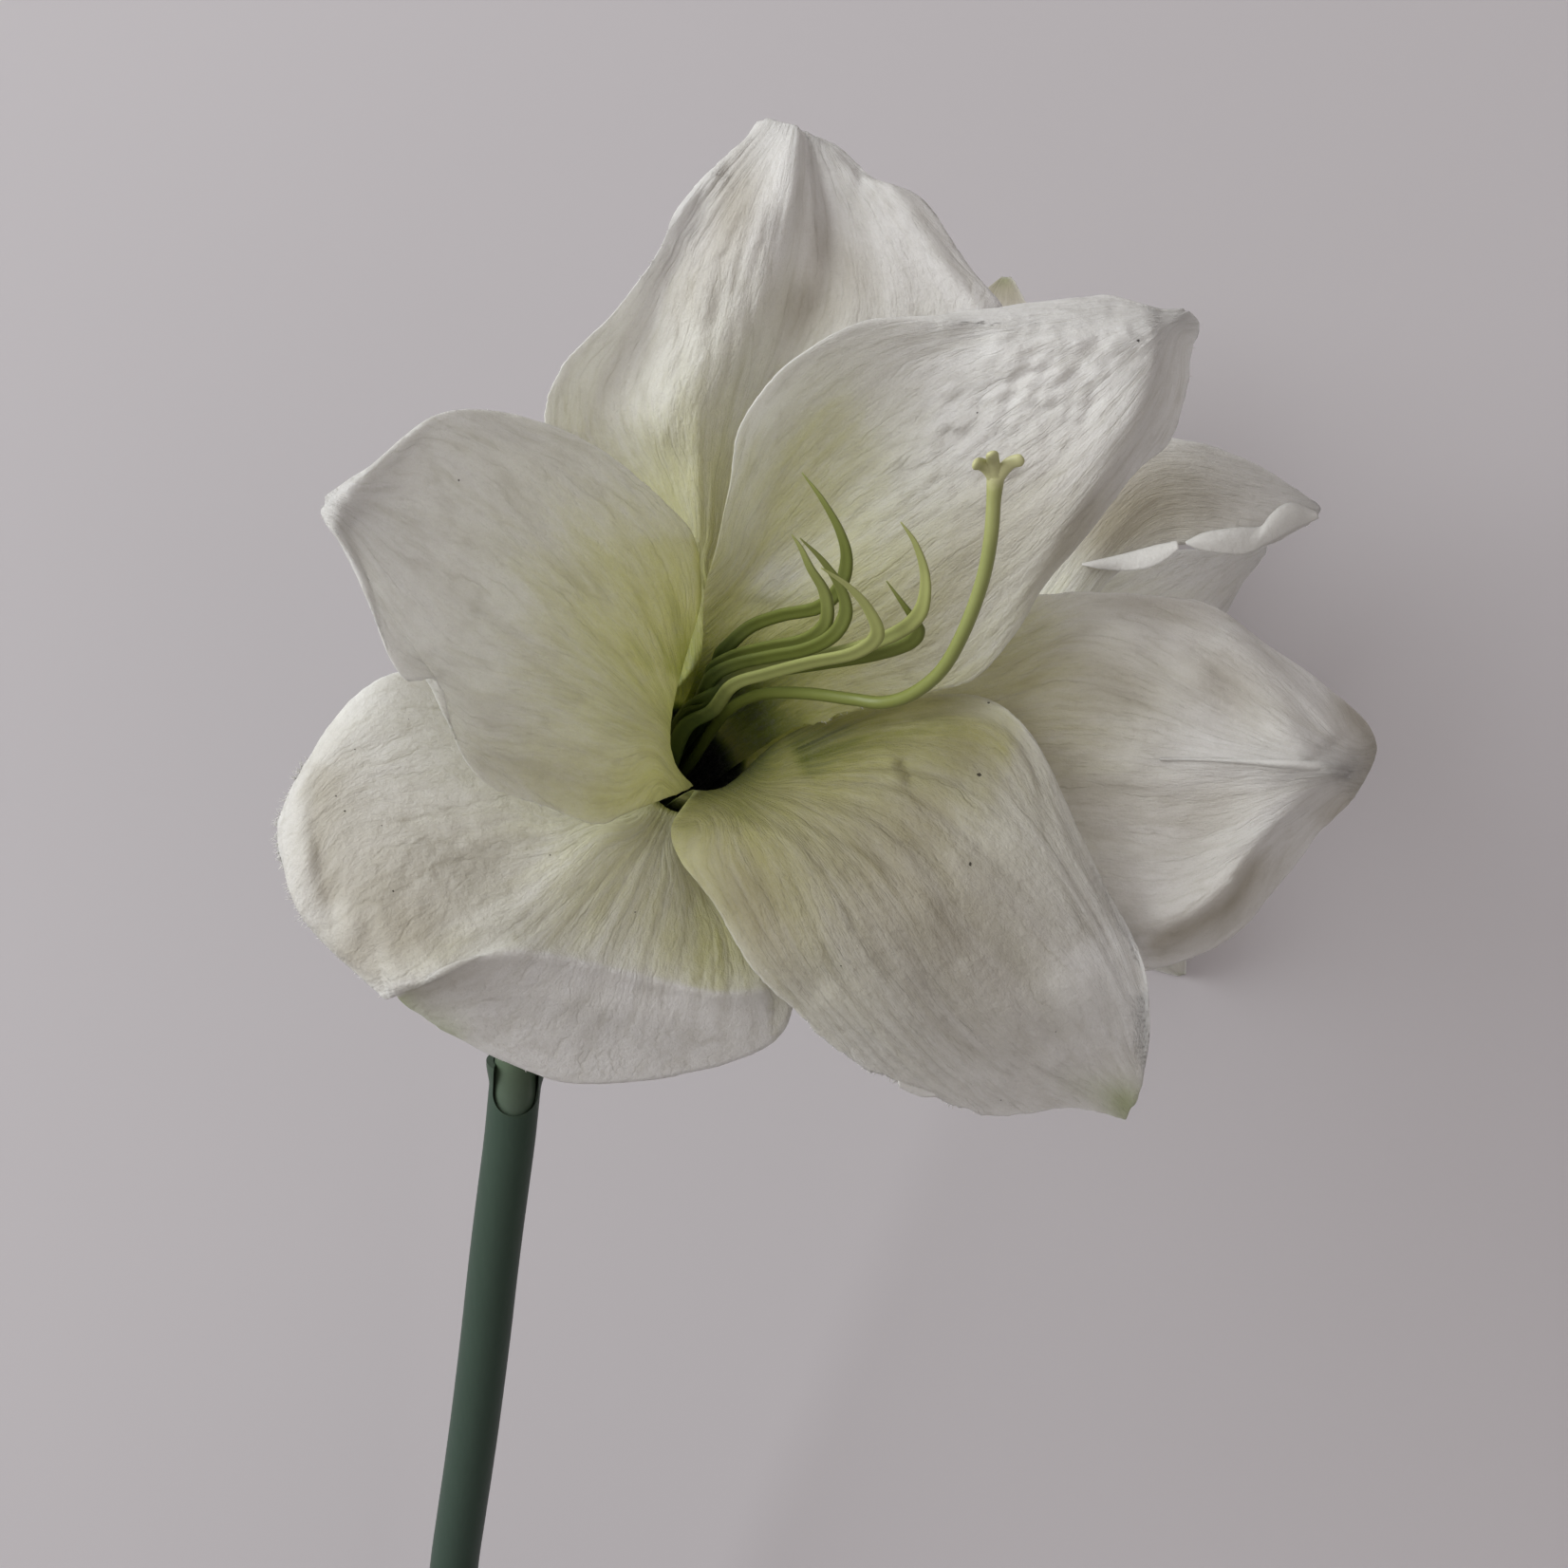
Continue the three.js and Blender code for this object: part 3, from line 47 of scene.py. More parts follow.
PETALS = {
"front_petal_top": [
  [[-46.37,180.41,199.52], [-45.36,182.37,198.02], [-43.88,183.96,196.47], [-42,185.1,194.96], [-39.83,185.74,193.56], [-37.46,185.84,192.35], [-35.02,185.41,191.37], [-32.62,184.45,190.69]],
  [[-40.3,188.56,214.44], [-39.18,190.72,212.77], [-37.54,192.49,211.06], [-35.46,193.75,209.38], [-33.04,194.46,207.83], [-30.42,194.58,206.48], [-27.71,194.1,205.4], [-25.05,193.04,204.64]],
  [[-31.6,204.04,219.77], [-29.17,204.97,220.77], [-26.73,205.48,222.27], [-24.87,205.95,224.27], [-23.09,206.32,224.77], [-20.54,206.32,224.77], [-18.01,205.79,223.77], [-14.69,204.86,222.77]],
  [[-38.95,221.72,227.77], [-35.08,222.94,227.27], [-31.21,223.77,226.77], [-27.24,224.01,228.27], [-22.9,224.25,229.77], [-18.5,224.06,227.77], [-13.64,222.99,226.77], [-6.81,221.14,227.77]],
  [[-49.94,237.74,234.77], [-44.36,238.97,232.77], [-37.76,240.2,230.77], [-30.82,240.37,233.77], [-23.41,240.33,236.77], [-17.78,240.51,232.77], [-10.68,239.62,230.77], [7.63,233.19,232.77]],
  [[-54.03,251.73,242.77], [-49.44,252.8,239.77], [-41.64,253.52,237.77], [-32.32,253.96,240.77], [-21.86,254.93,242.77], [-12.91,255.98,236.77], [-2.06,254.3,238.77], [23.44,247.34,240.77]],
  [[-50.04,262.43,246.77], [-43.97,263.39,243.77], [-35.47,263.97,241.77], [-27.38,264.59,245.27], [-16.66,266.32,247.77], [-7.37,267.75,240.77], [4.43,265.81,244.77], [34.11,259.26,247.77]],
  [[-39.27,272.98,248.77], [-36.07,273.42,246.77], [-31.68,272.82,245.27], [-22.94,274.84,248.77], [-11.41,277.04,251.27], [-3.42,278.78,243.77], [8.04,277.06,248.77], [36.59,270.7,250.77]],
  [[-30.86,284.42,249.77], [-29.43,285.04,248.77], [-27.44,284.92,247.77], [-18.43,286.76,250.77], [-7.35,288.32,253.27], [-2.14,289.64,246.77], [7.03,288.11,251.27], [29.53,280.36,251.27]],
  [[-27.71,291.82,249.77], [-26.23,291.82,249.77], [-23.85,291.96,249.27], [-15.46,294.42,251.77], [-5.7,295.2,254.27], [-2.16,296.54,248.77], [4.25,295.34,251.77], [20.34,293.77,250.77]],
  [[-21.64,299.33,248.77], [-19.76,299.6,249.77], [-17.35,299.97,249.77], [-11.41,301.38,251.27], [-4.96,301.35,253.27], [-2.53,302.29,248.77], [1.14,301.16,250.77], [11.75,298.4,248.77]],
  [[-15.56,305.67,246.77], [-14.05,305.93,247.77], [-12.37,306.34,248.27], [-8.65,306.78,249.27], [-4.4,306.18,251.27], [-2.72,306.53,248.27], [-0.69,305.48,249.27], [5.31,304.18,246.77]],
  [[-11.87,311.07,243.77], [-10.92,311.13,244.77], [-9.79,311.01,245.77], [-7.55,310.14,246.77], [-4.02,308.79,248.77], [-3.07,308.65,246.77], [-1.94,308.21,245.77], [0.53,307.99,242.77]]],
"front_petal_upper_right": [
  [[-38.74,182.21,192.4], [-36.51,181.99,191.42], [-34.3,181.17,190.75], [-32.28,179.81,190.46], [-30.61,178.02,190.57], [-29.43,175.94,191.06], [-28.81,173.72,191.9]],
  [[-31.05,191.88,208.19], [-28.47,191.62,207.05], [-25.9,190.67,206.28], [-23.57,189.1,205.94], [-21.63,187.02,206.06], [-20.25,184.61,206.63], [-19.54,182.04,207.61]],
  [[-23.83,204.42,230.77], [-21.7,203.26,230.77], [-18.64,202.15,229.77], [-14.78,200.25,228.77], [-11.67,197.14,228.77], [-8.94,193.81,229.77], [-6.23,190.49,230.77]],
  [[-22.61,218.3,237.77], [-17.73,215.69,234.77], [-11.98,211.86,234.77], [-6.81,206.98,236.27], [-3,201.74,237.77], [-0.54,196.76,238.77], [1.34,192.17,239.77]],
  [[-19.88,226.56,245.77], [-12.49,226.65,239.77], [-3.96,222.91,239.27], [2.64,217.05,241.27], [6.95,209.81,242.27], [9.19,202.81,242.77], [11.07,196.6,242.77]],
  [[-17.3,237.33,251.77], [-8.68,238.28,244.77], [1.65,234.73,243.27], [10.97,227.93,245.27], [17.43,219.37,246.77], [20.22,209.12,246.77], [21.29,198.21,244.77]],
  [[-15.69,246.12,257.77], [-5.88,249.46,250.77], [7.14,247.17,247.77], [19.14,239.52,249.27], [27.36,229.15,250.77], [31.09,216.27,250.27], [30.48,200.55,246.77]],
  [[-12.19,252.67,261.77], [-0.41,256.84,255.77], [14.38,255.74,251.77], [28.11,248.21,252.77], [37.09,237.83,254.77], [40.75,223.2,254.77], [38.28,209.17,248.77]],
  [[-4.1,260.75,262.77], [7.69,263.35,258.77], [21.51,262.42,255.27], [35.11,255.84,256.27], [44.88,246.41,258.27], [48.51,232.81,258.27], [45.02,219.65,249.77]],
  [[7.62,267.63,260.77], [18.56,267.7,258.77], [31.37,266.56,257.27], [43.13,261.01,257.77], [51.92,252.49,259.77], [55.53,242.55,259.77], [53.35,230.01,249.77]],
  [[23.27,270.05,256.27], [32.28,269.11,257.27], [42.28,267.83,257.27], [51.3,264.28,257.77], [58.32,257.1,259.27], [61.12,249.95,258.77], [62.54,241.55,246.77]],
  [[41.09,273.43,251.77], [47.28,272.25,253.77], [53.55,270.38,254.77], [58.88,266.88,255.77], [63.07,262.32,255.77], [64.7,257.58,254.77], [70.33,248.69,241.77]],
  [[55.27,275.47,249.27], [58.74,273.83,250.77], [62.35,271.88,251.27], [65.22,269.56,251.77], [66.32,266.98,251.77], [67.41,263.51,249.77], [73.72,259.81,239.77]],
  [[65.89,273.8,246.77], [67.02,273.02,247.77], [68.51,272.27,247.77], [70,271.53,247.77], [71.11,270.63,246.77], [72.41,269.18,244.77], [74.48,267.93,241.77]],
  [[70.92,273.87,244.77], [71.66,273.87,244.77], [72.41,273.68,244.77], [73.16,273.3,244.77], [74.1,272.96,243.77], [75.04,272.43,242.77], [75.8,271.7,241.77]]],
"front_petal_right": [
  [[-27.76,180.36,190.41], [-26.19,177.75,190.99], [-25.29,174.95,191.99], [-25.11,172.16,193.34], [-25.68,169.56,194.96], [-26.95,167.35,196.73], [-28.84,165.66,198.52]],
  [[-19.66,188.5,204.34], [-17.92,185.6,204.98], [-16.92,182.49,206.09], [-16.72,179.4,207.59], [-17.35,176.52,209.38], [-18.76,174.06,211.34], [-20.86,172.19,213.33]],
  [[-12,198.81,216.77], [-10.6,196.59,217.27], [-9.6,194.18,217.77], [-9.01,191.59,217.77], [-9.01,189.01,217.77], [-9.61,186.42,217.27], [-11.01,184.03,216.77]],
  [[11.98,211.3,220.77], [14.24,204.83,223.27], [15.69,197.85,225.77], [16.42,190.97,226.77], [16.08,184.15,225.77], [15,177.29,223.77], [12.97,170.35,220.77]],
  [[30.11,216.19,228.77], [33.05,208.16,232.77], [35.27,198.4,235.77], [36.12,188.82,236.77], [35.84,179.28,235.77], [34.55,168.69,233.27], [32.14,157.84,227.77]],
  [[43.31,218.21,232.27], [46.74,210.26,235.77], [49.16,199.77,239.27], [50.85,187.79,240.77], [50.67,175.87,239.27], [49.54,163.04,236.27], [47.29,149.32,231.27]],
  [[54.81,218.94,232.77], [58.64,211.33,236.77], [62.35,199.75,239.77], [64.86,186.27,241.77], [65.2,172.65,239.77], [62.67,157.39,237.77], [59.93,142.51,230.77]],
  [[67.33,218.36,232.77], [71.24,210.69,237.77], [75.8,199.14,240.77], [78.81,184.93,242.77], [78.26,171.35,240.77], [71.45,153.14,239.77], [73.04,143.23,227.77]],
  [[79.65,216.35,233.77], [83.03,208.15,238.77], [87.05,197.12,243.77], [90.35,183.97,245.77], [87.99,173.66,243.77], [80.52,158.17,241.77], [85.91,149.01,226.77]],
  [[91.62,208.8,231.77], [94.08,201.74,237.77], [97.25,192.46,242.77], [99.32,183.03,245.77], [97.25,177.78,242.77], [89.83,168.86,239.77], [94.92,158.72,225.77]],
  [[103.7,200.21,229.77], [105.2,195.6,233.77], [106.2,189.73,238.77], [104.4,182.86,242.77], [103.09,180.8,239.77], [99.71,176.98,235.77], [104.37,170.63,224.77]],
  [[112.8,193.57,224.77], [113.24,190.97,226.77], [113.2,188.19,229.77], [110.39,183.5,233.77], [109.57,182.17,231.77], [108.81,180.24,228.77], [110.78,176.1,222.77]],
  [[117.07,190.4,217.77], [117.47,188.81,217.77], [117.67,187.21,217.77], [116.8,184.81,218.77], [116,182.82,218.77], [115.01,180.84,218.77], [113.81,178.85,218.77]]],
"front_petal_lower_right": [
  [[-39.68,167.51,200.44], [-37.5,166.58,199.84], [-35.25,166.24,198.92], [-33.13,166.53,197.73], [-31.29,167.41,196.37], [-29.88,168.82,194.95], [-29,170.65,193.58]],
  [[-32.14,174.84,217.51], [-29.61,173.76,216.82], [-27.01,173.37,215.74], [-24.55,173.7,214.37], [-22.42,174.72,212.79], [-20.78,176.36,211.15], [-19.76,178.48,209.55]],
  [[-24.99,178.69,230.77], [-22.25,178.5,231.77], [-18.36,179.27,232.77], [-14.51,181.58,232.77], [-11.04,184.66,232.77], [-8.35,187.76,231.77], [-6.23,189.78,227.77]],
  [[-28.87,171.74,241.77], [-23.58,172.21,246.77], [-15.14,173.37,249.27], [-5.88,176.53,249.77], [0.65,182.09,246.77], [4.56,188.76,239.77], [6.79,194.42,228.77]],
  [[-26.97,165.42,249.77], [-19.6,166.51,254.77], [-8.61,167.52,257.77], [3.19,171.15,257.77], [12.45,177.48,253.77], [17.49,186.77,245.77], [20.15,197.57,232.77]],
  [[-20.12,157.06,255.77], [-12.22,158.54,259.77], [-0.5,160.45,261.77], [12.13,164.9,260.77], [23.16,172.96,257.77], [29.16,183.92,251.27], [32.04,197.66,239.77]],
  [[-13.68,145.99,258.77], [-5,148.76,261.77], [7.55,152.42,262.77], [21.07,157.75,261.77], [32.14,166.64,258.77], [38.48,178.39,253.77], [39.8,192.34,246.77]],
  [[-5.89,137.92,257.77], [3.14,141.38,259.77], [15.76,145.04,260.27], [29.38,151.28,259.27], [40.52,160.21,256.77], [45.87,170.13,253.27], [45.94,182.08,249.77]],
  [[3.28,129.27,253.77], [12.36,133.34,255.77], [24.21,137.72,255.77], [37.09,143.65,254.77], [47.41,151.75,252.77], [51.8,160.82,250.27], [51.63,169.65,248.77]],
  [[16.44,120.91,247.77], [23.77,125.57,249.27], [33.91,130.81,249.77], [45.08,136.68,249.27], [53.63,143.97,247.77], [57.28,151.27,245.77], [56.72,159.68,245.77]],
  [[33.93,114.1,239.77], [38.51,119.81,241.27], [45,125.6,242.27], [53.1,131.25,242.27], [59.85,137.75,241.27], [62.76,144.31,240.77], [61.95,151.03,242.27]],
  [[49.93,114.45,233.27], [52.04,118.32,234.77], [55.35,122.29,235.77], [59.97,126.81,236.77], [63.79,131.58,236.77], [65.61,135.83,237.27], [65.85,141.34,239.27]],
  [[59.26,112.61,228.77], [60.08,114.7,229.77], [61.4,117.44,231.27], [63.09,119.96,232.77], [64.94,122.53,233.27], [66.11,125.54,234.27], [66.93,129.61,236.27]],
  [[63.82,110.98,225.77], [64.05,112.11,226.77], [64.47,113.43,227.77], [64.9,114.17,228.77], [65.4,115.21,229.27], [65.9,116.84,229.77], [66.23,119.37,231.27]]],
"front_petal_lower_left": [
  [[-46.62,174.82,202.53], [-45.62,172.03,203.48], [-43.97,169.45,204], [-41.77,167.26,204.05], [-39.18,165.59,203.64], [-36.37,164.57,202.78], [-33.54,164.27,201.55]],
  [[-40.58,182.35,217.78], [-39.48,179.26,218.83], [-37.64,176.4,219.41], [-35.2,173.96,219.46], [-32.33,172.12,219], [-29.22,170.99,218.06], [-26.07,170.65,216.69]],
  [[-37.07,181.21,226.77], [-34.72,178.09,226.77], [-32.38,175.94,226.77], [-30.04,174.38,226.77], [-26.92,173.41,226.77], [-23.4,173.02,226.77], [-20.12,173,225.77]],
  [[-48.49,187.02,229.77], [-45.81,179.27,233.77], [-42.02,173.95,237.77], [-39.02,172.08,239.77], [-34.41,166.91,237.77], [-27.94,162.94,233.77], [-17.52,160.76,227.77]],
  [[-62.96,195.46,237.77], [-59.61,184,241.77], [-53.57,173.68,245.27], [-46.46,165.33,247.27], [-38.64,156.82,244.77], [-26.75,149.85,238.77], [-9.7,146.54,232.77]],
  [[-73.6,200.93,242.77], [-72.81,187.67,247.77], [-66.8,173.77,250.77], [-55.55,156.86,252.27], [-46.5,147.92,250.77], [-30.21,139.59,244.77], [-4.89,135.09,233.77]],
  [[-83.22,201.85,246.77], [-84.16,188.52,251.77], [-79.86,172.01,255.27], [-64.96,151.14,257.27], [-55.93,147.47,256.77], [-38.38,135.65,248.27], [-11.61,125.86,233.77]],
  [[-91.78,195.66,247.77], [-93.5,184.81,253.77], [-89.86,168.41,257.27], [-71.76,145.94,260.27], [-66.42,146.08,259.77], [-52.14,135.81,249.77], [-30.71,120.95,235.77]],
  [[-98.85,186.74,247.77], [-99.74,177.48,253.77], [-95.65,162.09,258.27], [-77,143.14,261.27], [-74.46,143.05,260.27], [-66.8,136.47,250.77], [-49.44,120.36,239.77]],
  [[-103.17,179.3,246.77], [-103.61,170.08,251.27], [-99.18,156.54,256.27], [-80.78,141.43,260.27], [-79.15,141.88,259.27], [-75.87,137.31,251.77], [-64.06,126.17,243.77]],
  [[-106.85,172.16,243.77], [-105.17,165.35,247.77], [-98.67,152.66,252.77], [-83.95,139.74,257.77], [-82.32,140.73,256.77], [-80.46,136.92,249.77], [-74.57,131.8,243.77]]],
"front_petal_upper_left": [
  [[-42.08,181.19,194.56], [-43.56,179.84,195.98], [-44.51,178.06,197.37], [-44.86,175.98,198.61], [-44.58,173.76,199.62], [-43.71,171.58,200.31], [-42.29,169.61,200.64]],
  [[-34.93,190.7,210.7], [-36.63,189.14,212.34], [-37.73,187.07,213.95], [-38.14,184.66,215.39], [-37.82,182.09,216.56], [-36.81,179.56,217.36], [-35.17,177.27,217.74]],
  [[-24.56,213.05,231.77], [-26.55,206.11,234.77], [-28.37,199.31,236.77], [-29.46,192.61,237.77], [-29.46,186.9,237.77], [-28.03,182.72,235.77], [-25.38,179.66,230.77]],
  [[-23.64,223.26,235.77], [-28.12,217.95,241.77], [-32.96,210.12,245.77], [-36,201.61,247.77], [-36,192.32,247.77], [-33.21,183.98,244.77], [-29.08,177.76,237.77]],
  [[-25.37,230.63,239.77], [-33.76,225.79,247.77], [-40.71,216.89,253.77], [-45.01,206.61,256.77], [-45.56,194.78,256.77], [-41.8,182.07,251.77], [-35.52,175.16,243.77]],
  [[-32.08,237.35,244.77], [-42.54,233.38,253.77], [-50.84,223.37,261.77], [-55.75,211.37,265.77], [-56.76,197.17,264.77], [-52.07,182.03,258.77], [-43.26,172.27,249.77]],
  [[-40.96,244.29,250.77], [-51.85,239.7,260.77], [-60.42,228.57,270.77], [-64.95,214.94,275.77], [-66.12,199.41,273.77], [-61.84,185.55,266.77], [-52.36,175.87,257.77]],
  [[-52.18,249.03,257.77], [-60.82,243.1,267.77], [-68.81,231.04,278.77], [-73.12,217.63,283.77], [-72.61,203.29,281.77], [-67.71,192.4,274.77], [-61.62,179.51,265.77]],
  [[-61.98,250.18,265.77], [-68.58,244.62,274.77], [-74.47,232.67,285.77], [-77.95,221.23,289.77], [-76.3,209.67,287.77], [-71.59,201.53,282.77], [-66.99,187.55,273.77]],
  [[-70.32,247.58,274.77], [-74.82,240.93,283.77], [-78.9,231.84,291.77], [-81.14,224,294.77], [-79.38,215.92,292.77], [-75.11,207.91,288.77], [-68.51,198.17,281.77]],
  [[-77.37,239.57,283.77], [-79.76,235.32,290.77], [-82.09,230.14,295.77], [-83.33,225.61,297.77], [-81.89,220.47,296.77], [-79.18,213.34,293.77], [-74.28,198.89,287.77]],
  [[-82.13,234.13,289.77], [-83.49,231.57,293.77], [-84.52,228.69,296.77], [-85.13,226.1,297.77], [-84.31,223.64,297.77], [-82.59,220.58,295.77], [-77.57,207.69,291.77]],
  [[-86.19,230.54,292.77], [-86.43,229.28,294.77], [-86.71,227.83,295.77], [-86.71,227.01,295.77], [-86.05,225.69,295.77], [-84.9,224.54,295.77], [-79.68,216.82,293.77]]],
"back_petal_right": [
  [[10.32,168.9,85.6], [9.43,172.77,88.01], [7.32,176.76,89.09], [4.31,180.27,88.67], [0.85,182.76,86.82]],
  [[23.18,177.39,76.21], [22.2,181.68,78.88], [19.85,186.11,80.07], [16.51,190,79.61], [12.68,192.77,77.56]],
  [[33.7,184.39,68.08], [32.68,189.03,71.02], [30.16,193.83,72.33], [26.52,198.04,71.81], [22.36,200.98,69.53]],
  [[35.42,212.83,69.77], [39.23,209.55,71.77], [42.84,205.3,72.77], [45.03,200.86,71.77], [46.26,196.17,69.77]],
  [[51.62,236.2,79.77], [57.9,228.23,81.77], [61.67,221.69,82.77], [64.38,215.28,81.77], [65.92,208.9,79.77]],
  [[68.78,255.95,87.77], [73.77,248.14,88.77], [76.7,241.64,89.77], [78.53,236.72,87.77], [79.33,232.54,85.77]],
  [[85.61,270.75,94.77], [88.65,263.15,94.77], [90.85,255.68,93.77], [92.2,248.81,91.77], [92.8,242.91,89.77]],
  [[100.44,271.44,96.77], [102.4,265.03,95.77], [104.55,257.71,93.77], [106.47,250.85,91.77], [107.37,244.7,89.77]],
  [[116.44,267.25,92.77], [117.93,261.8,91.77], [119.64,255.69,89.77], [121.61,249.28,87.77], [122.86,244.27,86.77]],
  [[129.51,261.62,85.77], [130.54,258.53,85.77], [131.81,255.31,84.77], [132.82,251.83,83.77], [133.58,249.36,82.77]],
  [[138.71,257.26,79.77], [139.49,256.48,79.77], [140.27,255.44,79.77], [139.75,254.14,79.77], [139.22,252.96,78.77]]],
"back_petal_right_inner": [
  [[3.73,164.97,77.89], [5.66,165.79,80.89], [6.62,167.78,83.81], [6.45,170.6,86.13], [5.18,173.77,87.46]],
  [[17.52,173.76,66.29], [19.75,174.71,69.77], [20.87,177.02,73.15], [20.67,180.3,75.84], [19.2,183.96,77.38]],
  [[32.38,184.07,53.74], [34.93,185.25,57.81], [36.05,188.12,61.68], [35.5,192.1,64.58], [33.39,196.37,65.92]],
  [[41.47,183.89,46.44], [45.42,185.71,52.73], [47.15,190.14,58.72], [46.29,196.29,63.2], [43.04,202.89,65.26]],
  [[62.33,222.93,53.77], [64.81,212.78,55.77], [66.05,201.92,56.77], [64.93,191.15,54.77], [62.23,183.05,49.77]],
  [[82.87,237.91,61.77], [89.56,225.86,61.77], [91.6,213.85,60.77], [90.36,200.57,56.77], [86,189.88,49.77]],
  [[99.58,244.98,65.77], [105.8,233.72,63.77], [107.7,222.44,60.77], [106.21,212.78,55.77], [101.57,203.54,49.77]],
  [[115.01,246.05,65.77], [117.29,239.86,63.77], [118.44,233.18,60.77], [117.37,226.23,56.77], [114.1,219.74,52.77]],
  [[124.76,246.8,63.77], [124.98,243.7,62.77], [124.61,240.69,60.77], [123.42,237.66,58.77], [121.69,234.61,56.77]],
  [[129.48,247.02,61.77], [129.48,245.95,61.77], [129.17,244.98,60.77], [128.59,244.01,59.77], [127.73,243.04,58.77]]],
"back_petal_top": [
  [[3.63,176.04,87.66], [1.96,177.77,87.23], [0.14,179.11,86.28], [-1.69,179.94,84.87], [-3.37,180.2,83.12], [-4.79,179.86,81.15], [-5.83,178.97,79.12]],
  [[17.4,186.59,77.61], [15.46,188.6,77.12], [13.35,190.15,76.02], [11.24,191.11,74.38], [9.28,191.41,72.34], [7.64,191.03,70.06], [6.43,189.99,67.71]],
  [[33.15,196.85,65.85], [29.15,198.74,66.34], [26.16,199.95,65.47], [23.74,200.78,63.84], [21.82,201.29,61.55], [20.46,201.42,58.5], [20.12,200.89,54.1]],
  [[45.89,214.18,69.48], [40.12,216,67.82], [35.01,217.54,65.34], [30.53,218.81,62.06], [26.71,219.8,57.96], [23.53,220.52,53.05], [21,220.97,47.33]],
  [[60.78,237.11,74.81], [52.45,239.28,71], [44.58,241.31,66.65], [37.49,243.12,61.36], [31.35,244.64,54.91], [26,245.92,47.51], [21.09,247.08,39.57]],
  [[69,263.77,75.96], [60.15,265.86,71.7], [51.67,267.88,67], [44.03,269.7,61.31], [37.44,271.28,54.36], [31.7,272.67,46.42], [26.32,273.98,38.04]],
  [[66.05,287.07,79.27], [60.83,288.33,72.76], [55.42,289.62,66.49], [49.58,290.99,60.72], [43.19,292.48,55.6], [36.36,294.04,50.99], [29.33,295.65,46.61]],
  [[63.83,306.45,73.09], [60.5,307.25,68.92], [57.04,308.07,64.91], [53.31,308.94,61.22], [49.21,309.88,57.94], [44.84,310.86,54.99], [40.35,311.87,52.19]],
  [[59.8,317.46,66.75], [58.34,317.8,64.93], [56.84,318.16,63.18], [55.21,318.54,61.57], [53.42,318.95,60.14], [51.51,319.38,58.85], [49.55,319.81,57.63]],
  [[57.15,322.85,62.94], [56.81,322.93,62.52], [56.47,323.02,62.12], [56.09,323.1,61.75], [55.68,323.2,61.42], [55.24,323.3,61.13], [54.79,323.4,60.84]]],
"back_petal_lower_right": [
  [[1.49,164.65,71.39], [3.24,163.81,72.71], [4.92,163.36,74.29], [6.47,163.3,76.06], [7.82,163.64,77.95], [8.92,164.37,79.9], [9.72,165.46,81.82]],
  [[13.38,172.68,60.45], [15.33,171.75,61.91], [17.19,171.24,63.66], [18.91,171.18,65.62], [20.4,171.56,67.72], [21.62,172.37,69.88], [22.51,173.57,72.01]],
  [[26.99,182.37,48.72], [28.47,181.18,50.86], [29.99,180.59,52.92], [31.54,180.51,54.92], [33.11,180.9,56.87], [34.71,181.79,58.75], [36.34,183.28,60.56]],
  [[34.45,178.57,34.71], [36.88,177.17,38.92], [39.48,176.41,42.95], [42.28,176.33,46.76], [45.29,176.99,50.35], [48.5,178.34,53.73], [51.89,180.32,56.92]],
  [[44.61,168.83,12.88], [48.91,167.2,20.6], [53.44,166.15,28.09], [58.38,166.13,35.17], [63.82,167.38,41.77], [69.67,169.65,47.95], [75.76,172.51,53.92]],
  [[62.56,154.58,1.07], [67.1,153.16,5.9], [71.87,152.24,14.53], [77.15,152.41,22.66], [83.1,153.98,30.16], [89.56,156.64,37.18], [96.26,159.79,43.97]],
  [[78.23,135.82,1.07], [83.44,137.92,1.07], [88.52,139.77,6.14], [93.3,141.08,12.82], [97.73,141.69,19.85], [101.86,141.75,27.15], [105.86,141.56,34.57]],
  [[97.43,126.16,1.07], [100.6,127.66,1.07], [103.68,129.02,1.65], [106.56,130.04,6.01], [109.19,130.62,10.6], [111.62,130.87,15.38], [113.96,130.97,20.23]],
  [[109.86,121.99,1.07], [111.18,122.71,1.07], [112.46,123.37,1.07], [113.66,123.88,2.98], [114.73,124.21,5.02], [115.72,124.4,7.13], [116.67,124.52,9.28]],
  [[116.18,120.43,1.07], [116.47,120.61,1.07], [116.76,120.77,1.31], [117.02,120.9,1.76], [117.26,120.98,2.23], [117.48,121.04,2.72], [117.69,121.08,3.22]]],
"back_petal_left": [
  [[-3.53,183.87,82.64], [-4.9,183.56,80.75], [-6.02,182.86,78.81], [-6.85,181.81,76.88], [-7.37,180.43,75.05], [-7.53,178.78,73.38], [-7.35,176.93,71.94]],
  [[7.81,194,72.92], [6.3,193.65,70.83], [5.05,192.88,68.67], [4.13,191.71,66.54], [3.56,190.18,64.5], [3.37,188.35,62.65], [3.57,186.3,61.05]],
  [[20.93,204.7,61.52], [18.92,203.73,59.73], [17.49,202.6,57.83], [16.53,201.35,55.85], [16.04,199.98,53.78], [16.02,198.48,51.63], [16.59,196.82,49.36]],
  [[20.98,221.48,55.3], [18.22,217.94,52.95], [16.11,214.42,50.35], [14.71,210.92,47.48], [14.08,207.46,44.31], [14.15,204.03,40.87], [14.89,200.63,37.18]],
  [[14.31,244.15,48.25], [10.99,236.89,44.12], [8.26,229.77,39.69], [6.56,222.91,34.72], [6.13,216.37,29.09], [6.72,210.09,22.93], [7.9,203.96,16.45]],
  [[0.83,259.64,36.99], [-2.16,251.42,32.05], [-4.69,243.4,26.83], [-6.19,235.84,20.93], [-6.38,228.86,14.19], [-5.54,222.34,6.79], [-4.24,216.03,1.07]],
